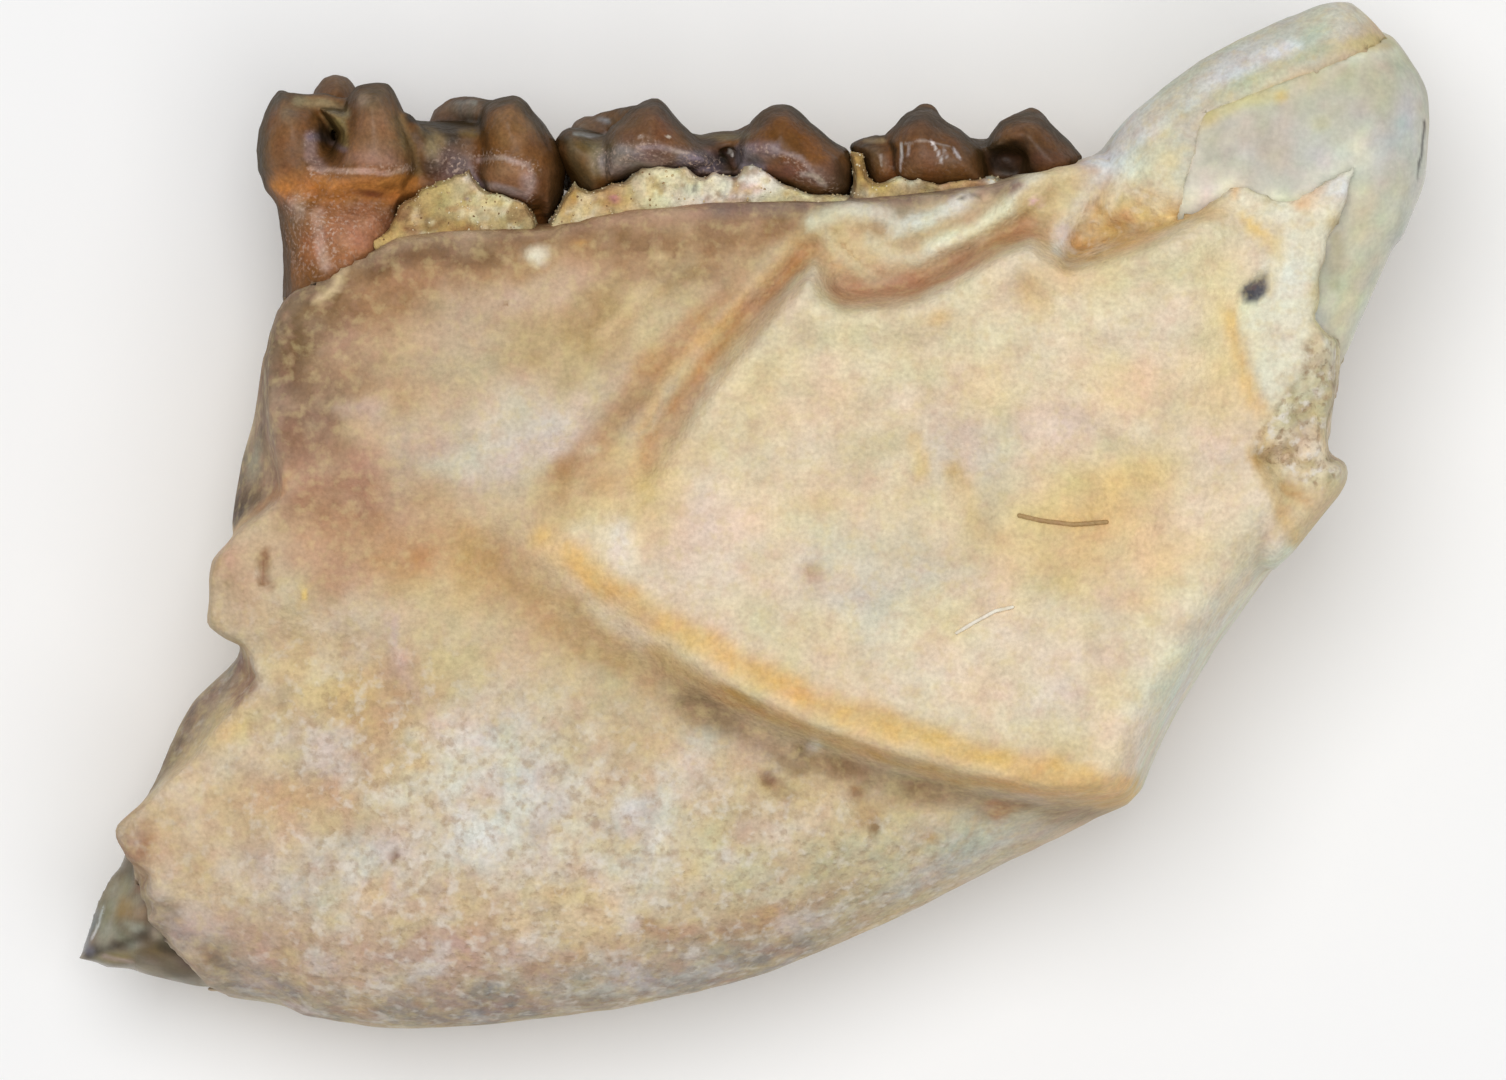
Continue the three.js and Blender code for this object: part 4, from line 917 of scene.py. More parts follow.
            ([(0.92, 2.57), (1.04, 2.04), (1.35, 2.04), (1.5, 2.57)], 1.35, 2.05, 0.22),
            ([(1.77, 2.57), (1.88, 2.04), (2.19, 2.04), (2.35, 2.57)], 1.35, 2.05, 0.22),
        ],
        "pits": [((1.93, 2.73, 2.3), (0.16, 0.1, 0.3)), ((0.99, 2.81, 2.3), (0.04, 0.06, 0.06))],
    },
}


def molar_room(name):
    """The box that a molar needs, roots and all."""
    molar = MOLARS[name]
    lobes = list(molar["lobes"].values()) + molar["roots"]
    spots = np.array([spot for outline, *_ in lobes for spot in outline])
    margin = 0.08
    low = (*(spots.min(0) - margin), min(lobe[1] for lobe in lobes) - margin)
    high = (*(spots.max(0) + margin), max(lobe[2] for lobe in lobes) + margin)
    return low, high


def molar_field(name, grid):
    """Crown lobes with their ridges and pits, on roots that go down into the bone."""
    molar = MOLARS[name]
    x, y, z = grid.x, grid.y, grid.z
    tooth = np.full(np.broadcast_shapes(x.shape, y.shape, z.shape), 9.0)
    for lobe in molar["lobes"].values():
        tooth = melt(tooth, lobe_field(grid, *lobe), LOBE_BLEND)
    for start, end, radius in molar["ridges"]:
        tooth = melt(tooth, column_field(x, y, z, start, radius, end, radius), 0.06)
    for root in molar["roots"]:
        tooth = melt(tooth, lobe_field(grid, *root), 0.2)
    for at, half in molar["pits"]:
        tooth = carve(tooth, ball_field(x, y, z, at, half), 0.05)
    return tooth


def molar_shape(name):
    grid = Grid(*molar_room(name), MOLAR_STEP)
    tooth = molar_field(name, grid)
    close, place = grid.near(tooth, 0.06)
    root = 1 - ease(place[1], 2.35, 2.5)
    tooth[close] += 0.012 * layered(place, 0.16, 3, 41) + 0.008 * root * layered(place, 0.06, 2, 42)
    points, quads = skin(tooth, grid)
    return smooth(points, quads, 1), quads

# ---------------------------------------------------------------- rock between the teeth

ROCK_STEP = 0.022 if FINE else 0.06

# Outline of each lump as seen from the cheek side, and how far it reaches from inner to cheek side.
ROCKS = {
    "matrix_front": {
        "outline": [
            (-2.99, 2.06), (-2.98, 2.13), (-2.92, 2.17), (-2.84, 2.21), (-2.78, 2.31), (-2.76, 2.37),
            (-2.7, 2.43), (-2.62, 2.46), (-2.57, 2.53), (-2.48, 2.55), (-2.44, 2.59), (-2.35, 2.6),
            (-2.3, 2.64), (-2.24, 2.63), (-2.19, 2.69), (-2.15, 2.6), (-2.09, 2.53), (-2.01, 2.51),
            (-1.92, 2.5), (-1.85, 2.46), (-1.76, 2.43), (-1.71, 2.37), (-1.67, 2.29), (-1.64, 2.15),
            (-1.96, 2.04), (-2.42, 2.03), (-2.73, 2), (-2.92, 1.95),
        ],
        "reach": (1.06, 2.47),
        "colour": "b39d6c",
        "grains": 900,
    },
    "matrix_middle": {
        "outline": [
            (-1.63, 2.15), (-1.59, 2.26), (-1.53, 2.35), (-1.47, 2.46), (-1.42, 2.52), (-1.39, 2.6),
            (-1.35, 2.53), (-1.27, 2.5), (-1.18, 2.53), (-1.09, 2.57), (-1.01, 2.57), (-0.95, 2.63),
            (-0.88, 2.72), (-0.82, 2.7), (-0.73, 2.71), (-0.62, 2.69), (-0.52, 2.72), (-0.45, 2.63),
            (-0.39, 2.61), (-0.32, 2.67), (-0.25, 2.63), (-0.15, 2.62), (-0.11, 2.7), (-0.02, 2.73),
            (0.05, 2.7), (0.13, 2.64), (0.21, 2.57), (0.31, 2.54), (0.41, 2.5), (0.5, 2.5),
            (0.75, 2.47), (0.75, 2.27), (0.19, 2.26), (-0.42, 2.24), (-0.88, 2.18), (-1.19, 2.1),
        ],
        "reach": (1.02, 2.47),
        "colour": "cbc0a0",
        "grains": 1500,
    },
    "matrix_rear": {
        "outline": [
            (0.71, 2.8), (0.75, 2.81), (0.81, 2.79), (0.85, 2.8), (0.85, 2.72), (0.87, 2.61),
            (0.93, 2.56), (0.99, 2.57), (1.05, 2.61), (1.12, 2.63), (1.19, 2.6), (1.27, 2.63),
            (1.32, 2.6), (1.41, 2.57), (1.48, 2.6), (1.58, 2.63), (1.7, 2.61), (1.82, 2.63),
            (1.93, 2.58), (1.88, 2.41), (1.35, 2.32), (0.81, 2.27), (0.69, 2.29), (0.74, 2.57),
        ],
        "reach": (1.15, 2.4),
        "colour": "b59c70",
        "grains": 700,
    },
}
GRAIN_SIZE = (0.006, 0.015)
ROCK_STAINS_AND_SHADE = {
    "matrix_front": [
        streak([(-2.95, 2.12), (-2.76, 2.26), (-2.5, 2.23), (-2.19, 2.2)], 0.07, "8c6843", 0.8),
        blot((-2.88, 2.15), (0.11, 0.08), "cfae72", 0.8),
        blot((-2.69, 2.33), (0.09, 0.06), "8a6544", 0.6),
        blot((-2.18, 2.44), (0.22, 0.12), "cfc49e", 0.8),
        blot((-2.5, 2.46), (0.18, 0.11), "bda56c", 0.8),
        blot((-1.92, 2.35), (0.18, 0.11), "b9a06c", 0.7),
        blot((-2.22, 2.43), (0.04, 0.02), "8f7a86", 0.8),
        blot((-1.91, 2.45), (0.03, 0.02), "8a7468", 0.8),
        streak([(-2.38, 2.35), (-2.25, 2.37), (-2.12, 2.37)], 0.02, "a97a52", 0.7),
    ],
    "matrix_middle": [
        blot((-1.38, 2.35), (0.17, 0.18), "bd9a52", 0.95),
        blot((-1.08, 2.47), (0.23, 0.17), "b0905e", 0.95),
        blot((-0.67, 2.56), (0.29, 0.17), "e0d6b4", 0.9),
        blot((-0.27, 2.52), (0.28, 0.17), "e2dcca", 0.9),
        blot((0.04, 2.58), (0.25, 0.17), "e9e4d4", 0.9),
        blot((-0.02, 2.5), (0.09, 0.05), "dcb9a6", 0.8),
        blot((0.58, 2.46), (0.31, 0.09), "c7ba8e", 0.8),
        blot((-1.23, 2.42), (0.03, 0.05), "8f6752", 0.8),
        blot((-1.07, 2.43), (0.05, 0.03), "b98084", 0.8),
        streak([(-0.42, 2.64), (-0.45, 2.55), (-0.47, 2.5)], 0.02, "57474c", 0.9),
        # painted shade in the notch below the second molar's pit
        streak([(-0.21, 2.64), (-0.14, 2.55)], 0.03, "4f4248", 0.8),
    ],
    "matrix_rear": [
        blot((0.79, 2.72), (0.09, 0.18), "b4934f", 0.9),
        blot((1.12, 2.57), (0.15, 0.06), "d9d2b4", 0.9),
        blot((1.58, 2.58), (0.18, 0.06), "c7a680", 0.9),
        blot((1.79, 2.6), (0.08, 0.05), "d2cebd", 0.8),
        blot((0.92, 2.5), (0.11, 0.06), "c7a767", 0.8),
    ],
}


def rock_shape(name):
    rock = ROCKS[name]
    outline = np.array(rock["outline"])
    back, front = rock["reach"]
    low = (outline[:, 0].min() - 0.15, outline[:, 1].min() - 0.15, back - 0.15)
    high = (outline[:, 0].max() + 0.15, outline[:, 1].max() + 0.15, front + 0.15)
    grid = Grid(low, high, ROCK_STEP)
    field = lobe_field(grid, rock["outline"], back, front, 0.055)
    close, place = grid.near(field, 0.12)
    field[close] += 0.035 * layered(place, 0.22, 3, 51) + 0.024 * layered(place, 0.08, 2, 52)
    for molar in MOLARS:
        field = carve(field, molar_field(molar, grid) - SOCKET_GAP, 0.01)
    points, quads = skin(field, grid)
    return smooth(points, quads, 1), quads


def grain_nodes():
    """Geometry nodes that scatter small grains of sand over a surface and join them to it."""
    tree = bpy.data.node_groups.new("sand grains", "GeometryNodeTree")
    sockets = {}
    for label, kind, value in (
        ("Surface", "NodeSocketGeometry", None),
        ("Grains per square metre", "NodeSocketFloat", 1e7),
        ("Smallest grain", "NodeSocketFloat", GRAIN_SIZE[0] * MM),
        ("Largest grain", "NodeSocketFloat", GRAIN_SIZE[1] * MM),
        ("Grain finish", "NodeSocketMaterial", None),
    ):
        item = tree.interface.new_socket(label, in_out="INPUT", socket_type=kind)
        if value is not None:
            item.default_value = value
        sockets[label] = item.identifier
    tree.interface.new_socket("Grains", in_out="OUTPUT", socket_type="NodeSocketGeometry")

    def add(kind, **settings):
        node = tree.nodes.new(kind)
        for key, value in settings.items():
            setattr(node, key, value)
        return node

    start, end = add("NodeGroupInput"), add("NodeGroupOutput")
    scatter = add("GeometryNodeDistributePointsOnFaces", distribute_method="RANDOM")
    scatter.inputs["Seed"].default_value = 4
    ball = add("GeometryNodeMeshIcoSphere")
    ball.inputs["Subdivisions"].default_value = 1
    ball.inputs["Radius"].default_value = 1.0
    size = add("FunctionNodeRandomValue", data_type="FLOAT")
    turn = add("FunctionNodeRandomValue", data_type="FLOAT_VECTOR")
    turn.inputs[1].default_value = (math.tau, math.tau, math.tau)
    place = add("GeometryNodeInstanceOnPoints")
    flatten = add("GeometryNodeScaleInstances")
    flatten.inputs["Scale"].default_value = (1.0, 0.8, 0.62)
    real = add("GeometryNodeRealizeInstances")
    finish = add("GeometryNodeSetMaterial")
    both = add("GeometryNodeJoinGeometry")
    join = tree.links.new
    join(start.outputs["Surface"], scatter.inputs["Mesh"])
    join(start.outputs["Grains per square metre"], scatter.inputs["Density"])
    join(start.outputs["Smallest grain"], size.inputs[2])
    join(start.outputs["Largest grain"], size.inputs[3])
    join(scatter.outputs["Points"], place.inputs["Points"])
    join(ball.outputs["Mesh"], place.inputs["Instance"])
    join(turn.outputs[0], place.inputs["Rotation"])
    join(size.outputs[1], place.inputs["Scale"])
    join(place.outputs["Instances"], flatten.inputs["Instances"])
    join(flatten.outputs["Instances"], real.inputs["Geometry"])
    join(real.outputs["Geometry"], finish.inputs["Geometry"])
    join(start.outputs["Grain finish"], finish.inputs["Material"])
    join(start.outputs["Surface"], both.inputs["Geometry"])
    join(finish.outputs["Geometry"], both.inputs["Geometry"])
    join(both.outputs["Geometry"], end.inputs[0])
    return tree, sockets


def add_grains(piece, tree, sockets, count, finish):
    """Scatters grains over a piece, as real mesh, and joins them to it."""
    area = sum(face.area for face in piece.data.polygons)
    scatter = piece.modifiers.new("sand grains", "NODES")
    scatter.node_group = tree
    scatter[sockets["Grains per square metre"]] = count / area
    scatter[sockets["Grain finish"]] = finish
    shapes = bpy.context.evaluated_depsgraph_get()
    piece.data = bpy.data.meshes.new_from_object(
        piece.evaluated_get(shapes), preserve_all_data_layers=True, depsgraph=shapes
    )
    piece.modifiers.remove(scatter)

# ---------------------------------------------------------------- stained marks, painted shade and painted highlights: the jaw bone

BONE_BASE = "cbb692"
BONE_STAINS_AND_SHADE = [
    # body, from the tooth row down to the lower edge
    streak([(-3.62, 1.5), (-2.73, 1.85), (-1.58, 2.04), (-0.42, 2.2), (0.73, 2.26)], 0.35, "ab845c", 0.85),
    blot((-2.31, 1.93), (0.69, 0.17), "9d7650", 0.6),
    blot((-2.88, 1.58), (0.38, 0.23), "8f6845", 0.85, 15),
    blot((-2.96, 1.12), (0.43, 0.34), "a5805f", 0.75),
    blot((-3.35, 1.58), (0.38, 0.23), "7b5a35", 0.85),
    blot((-3.68, 1.27), (0.38, 0.65), "6f5230", 0.95),
    blot((-3.5, 0.7), (0.38, 0.49), "80614a", 0.9),
    blot((-3.5, 1.33), (0.2, 0.34), "644318", 0.75),
    blot((-3.36, 1.13), (0.18, 0.12), "a07f5a", 0.5, 30),
    blot((-3.23, 0.12), (0.62, 0.46), "a67e64", 0.9),
    blot((-3.12, -0.34), (0.46, 0.28), "b88c68", 0.7),
    blot((-2.62, -0.19), (0.46, 0.35), "ba8c5b", 0.8, 35),
    blot((-2.5, 0.35), (0.46, 0.26), "b18a68", 0.6),
    blot((-2.42, 0.89), (0.38, 0.26), "bb9a78", 0.6),
    blot((-3.12, 0.81), (0.14, 0.08), "c7b3a3", 0.5),
    blot((-2.95, 0.8), (0.08, 0.11), "cdbcae", 0.5),
    blot((-1.81, 0.66), (0.73, 0.4), "d3c4b0", 0.85, 15),
    blot((-2.19, 0.43), (0.35, 0.12), "d8cdb2", 0.6, 20),
    blot((-1.5, 1.27), (0.54, 0.32), "ac9466", 0.75),
    blot((-2.12, 1.5), (0.54, 0.2), "bfa383", 0.6, 10),
    blot((-1.62, 1.72), (0.4, 0.15), "cbb9a2", 0.6, 12),
    blot((-1.19, 1.62), (0.38, 0.2), "a98b60", 0.75, 25),
    streak([(-1.15, 1.47), (-0.85, 1.71), (-0.5, 1.93)], 0.06, "ccb184", 0.6),
    blot((-0.42, 2.29), (0.54, 0.09), "ad927b", 0.5),
    blot((-1.19, 0.26), (0.2, 0.13), "a87b5c", 0.65),
    blot((-1.15, 0.49), (0.12, 0.09), "a87b5c", 0.6),
    blot((-1.5, 0.12), (0.31, 0.14), "c4a676", 0.6, -20),
    # painted shade on the slope into the soft hollow before the plate's groove
    streak([(-1.45, 0.29), (-0.96, 0.85), (-0.42, 1.43), (-0.08, 1.8)], 0.15, "b98d5c", 0.7),
    streak([(-0.79, 0.43), (-0.42, 1), (0, 1.53), (0.41, 1.98)], 0.1, "bd884c", 0.9),
    streak([(-0.88, 0.66), (-0.55, 1.15), (-0.14, 1.61), (0.28, 2.06)], 0.05, "cfa565", 0.6),
    blot((-2.12, -0.34), (0.35, 0.2), "bd955f", 0.7, -35),
    streak([(-2.19, -0.34), (-1.5, -0.8), (-0.88, -1.13), (-0.38, -1.46)], 0.26, "b99663", 0.75),
    blot((-2.27, -0.96), (0.54, 0.38), "cab68c", 0.6),
    blot((-3.19, -1), (0.46, 0.23), "cdb28e", 0.6),
    blot((-3.5, -1.34), (0.46, 0.28), "d2b884", 0.6, 20),
    blot((-2.9, -1.51), (0.38, 0.35), "c79f6e", 0.75, 30),
    blot((-3.56, -2.15), (0.46, 0.17), "c69a6a", 0.5, 10),
    blot((-4.04, -1.67), (0.18, 0.15), "dcbd7a", 0.7),
    blot((-3.85, -1.84), (0.31, 0.17), "d8c8a4", 0.6, 20),
    streak([(-2.79, -0.77), (-2.65, -1.23), (-2.42, -1.74)], 0.05, "c9a999", 0.6),
    blot((-2.15, -1.59), (0.11, 0.06), "ddb469", 0.7),
    blot((-2.59, -1.91), (0.06, 0.05), "dcb366", 0.7),
    blot((-1.96, -1.57), (0.23, 0.14), "b79c83", 0.5),
    blot((-1.12, -1.34), (0.46, 0.2), "c2b391", 0.6, -20),
    # pale, speckled lower body
    blot((-1.96, -2.19), (0.54, 0.46), "dae4e4", 0.6),
    blot((-1.96, -2.19), (0.62, 0.62), "d8d8ce", 0.8),
    blot((-2.19, -1.77), (0.23, 0.23), "dcdcd6", 0.6),
    blot((-3.04, -2.57), (0.46, 0.2), "d5cfc6", 0.6),
    blot((-1.04, -2.57), (0.92, 0.46), "cdc4b0", 0.75),
    blot((-0.73, -2.19), (0.31, 0.28), "d2d3c8", 0.6),
    blot((-3.5, -2.8), (0.69, 0.31), "c4b9ae", 0.7),
    blot((-4.35, -2.57), (0.31, 0.31), "c2aa8a", 0.7),
    blot((-0.27, -2.65), (0.46, 0.31), "c8c09e", 0.6),
    blot((-0.42, -1.73), (0.2, 0.15), "b9bfae", 0.6),
    blot((0.46, -1.74), (0.07, 0.06), "dfe0d6", 0.8),
    blot((0.81, -2.65), (0.92, 0.38), "bbb798", 0.7, 20),
    blot((1.73, -2.46), (0.54, 0.2), "c4c4b0", 0.85, 20),
    blot((1.35, -2.77), (0.46, 0.11), "b5b8b8", 0.7, 25),
    # painted shade along the lower edge, where the bone rounds away from the light
    streak([(-4.15, -3.53), (-3.27, -3.8), (-2.35, -3.87), (-1.19, -3.73), (-0.27, -3.53), (0.35, -3.33)],
           0.2, "8d847b", 0.85),
    streak([(-4.27, -3.15), (-3.5, -3.34), (-2.5, -3.42), (-1.5, -3.43)], 0.22, "b4988a", 0.7),
    streak([(-1.65, -3.46), (-0.73, -3.38), (0.04, -3.19), (0.73, -2.92)], 0.15, "b08c6e", 0.55),
    streak([(-0.88, -3.15), (-0.42, -3.27), (0.12, -3.11)], 0.07, "ae7f55", 0.6),
    blot((-0.38, -3.25), (0.14, 0.11), "a98264", 0.6),
    blot((2.27, -2.36), (0.31, 0.09), "b9b3a0", 0.6, 22),
    streak([(-1.5, -3.61), (-0.88, -3.5), (-0.27, -3.3)], 0.17, "a8a89c", 0.55),
    # painted shade at the lower edge
    streak([(-2.88, -3.74), (-2.35, -3.77), (-1.81, -3.73)], 0.11, "7e7c78", 0.6),
    blot((-1.19, -2.57), (0.38, 0.18), "cdc9bc", 0.6),
    # painted shade along the foot of the plate's crest, then brown spots
    streak([(-0.5, -1.46), (0.08, -1.77), (0.65, -1.94), (1.35, -2.11), (2.12, -2.23), (2.69, -2.26)],
           0.12, "957a58", 0.8),
    blot((-0.5, -1.51), (0.28, 0.12), "a08a63", 0.6, -30),
    blot((0.1, -2.03), (0.07, 0.05), "5f4a35", 0.85),
    blot((0.19, -2.1), (0.18, 0.08), "96703f", 0.6),
    blot((0.35, -1.77), (0.08, 0.06), "8d7a60", 0.75),
    blot((0.77, -2.15), (0.08, 0.07), "93693c", 0.85),
    blot((0.88, -2.28), (0.17, 0.12), "ab8150", 0.7, 30),
    blot((0.94, -2.4), (0.05, 0.07), "7e5a38", 0.7),
    blot((1.9, -2.23), (0.12, 0.07), "b0835a", 0.8),
    blot((1.38, -2.48), (0.09, 0.05), "b08b58", 0.6),
    blot((-1.18, -3.03), (0.07, 0.03), "7d5b44", 0.8),
    blot((-1.9, -2.5), (0.05, 0.04), "a9826e", 0.6),
    blot((-2.75, -2.61), (0.04, 0.03), "84684e", 0.8),
    blot((-0.95, -2.51), (0.06, 0.11), "cdb47c", 0.6),
    blot((-2.3, -3.6), (0.03, 0.02), "4f463e", 0.8),
    # dark band along the tooth row
    streak([(-3.5, 1.66), (-3.12, 1.89), (-2.65, 2.03), (-2.12, 2.07)], 0.13, "6b4c2a", 0.75),
    streak([(-2.22, 2.06), (-1.5, 2.18), (-1.04, 2.29)], 0.15, "775430", 0.8),
    streak([(-1.15, 2.13), (-0.58, 2.13), (0.04, 2.24), (0.53, 2.3)], 0.15, "84623e", 0.7),
    blot((-0.58, 1.89), (0.31, 0.12), "90704a", 0.65),
    blot((0.82, 2.38), (0.17, 0.06), "746650", 0.7),
    blot((1.12, 2.32), (0.14, 0.05), "82765e", 0.7),
    blot((1.52, 2.38), (0.15, 0.05), "959482", 0.6),
    blot((-1.9, 1.62), (0.04, 0.03), "8d6440", 0.7),
    blot((-1.67, 2), (0.08, 0.06), "e4dcc8", 0.97),
    blot((-1.33, 2.06), (0.05, 0.03), "c79a52", 0.7),
    blot((-0.72, 1.97), (0.09, 0.05), "d2bc90", 0.7),
    blot((-0.5, 2.32), (0.31, 0.04), "b59a88", 0.5),
    streak([(-3.35, 1.65), (-3.22, 1.76), (-3.16, 1.92)], 0.05, "cbb28d", 0.7),
    blot((-1.25, 0.52), (0.08, 0.06), "d9c49a", 0.8),
    blot((-3.45, -0.6), (0.04, 0.08), "ddb75c", 0.95),
    # broken front
    blot((-4, -0.46), (0.26, 0.35), "ba987c", 0.8),
    streak([(-3.79, -0.28), (-3.78, -0.57)], 0.04, "8e5f3e", 0.85),
    blot((-3.85, -0.44), (0.04, 0.04), "dccdb4", 0.9),
    streak([(-4.18, -0.34), (-4.21, -0.65), (-4.22, -0.84)], 0.08, "b79a6c", 0.7),
    blot((-3.9, 0.12), (0.12, 0.12), "69553f", 0.7),
    streak([(-3.96, -0.07), (-3.79, 0.06), (-3.67, 0.21)], 0.05, "b98a5c", 0.8),
    streak([(-3.92, -1.13), (-3.85, -1.27), (-3.99, -1.4)], 0.05, "8f6450", 0.6),
    blot((-4.79, -2.48), (0.2, 0.23), "946a3e", 0.95),
    streak([(-4.65, -2.96), (-4.44, -3.2), (-4.22, -3.47)], 0.13, "806d55", 0.75),
    blot((-4.73, -2.8), (0.09, 0.08), "6c4a2c", 0.85),
    # painted shade in the notches where the bone's edge meets the incisor's tip
    blot((-4.65, -3.17), (0.05, 0.04), "554a3d", 0.8),
    blot((-4.41, -3.31), (0.06, 0.05), "554a3f", 0.8),
]

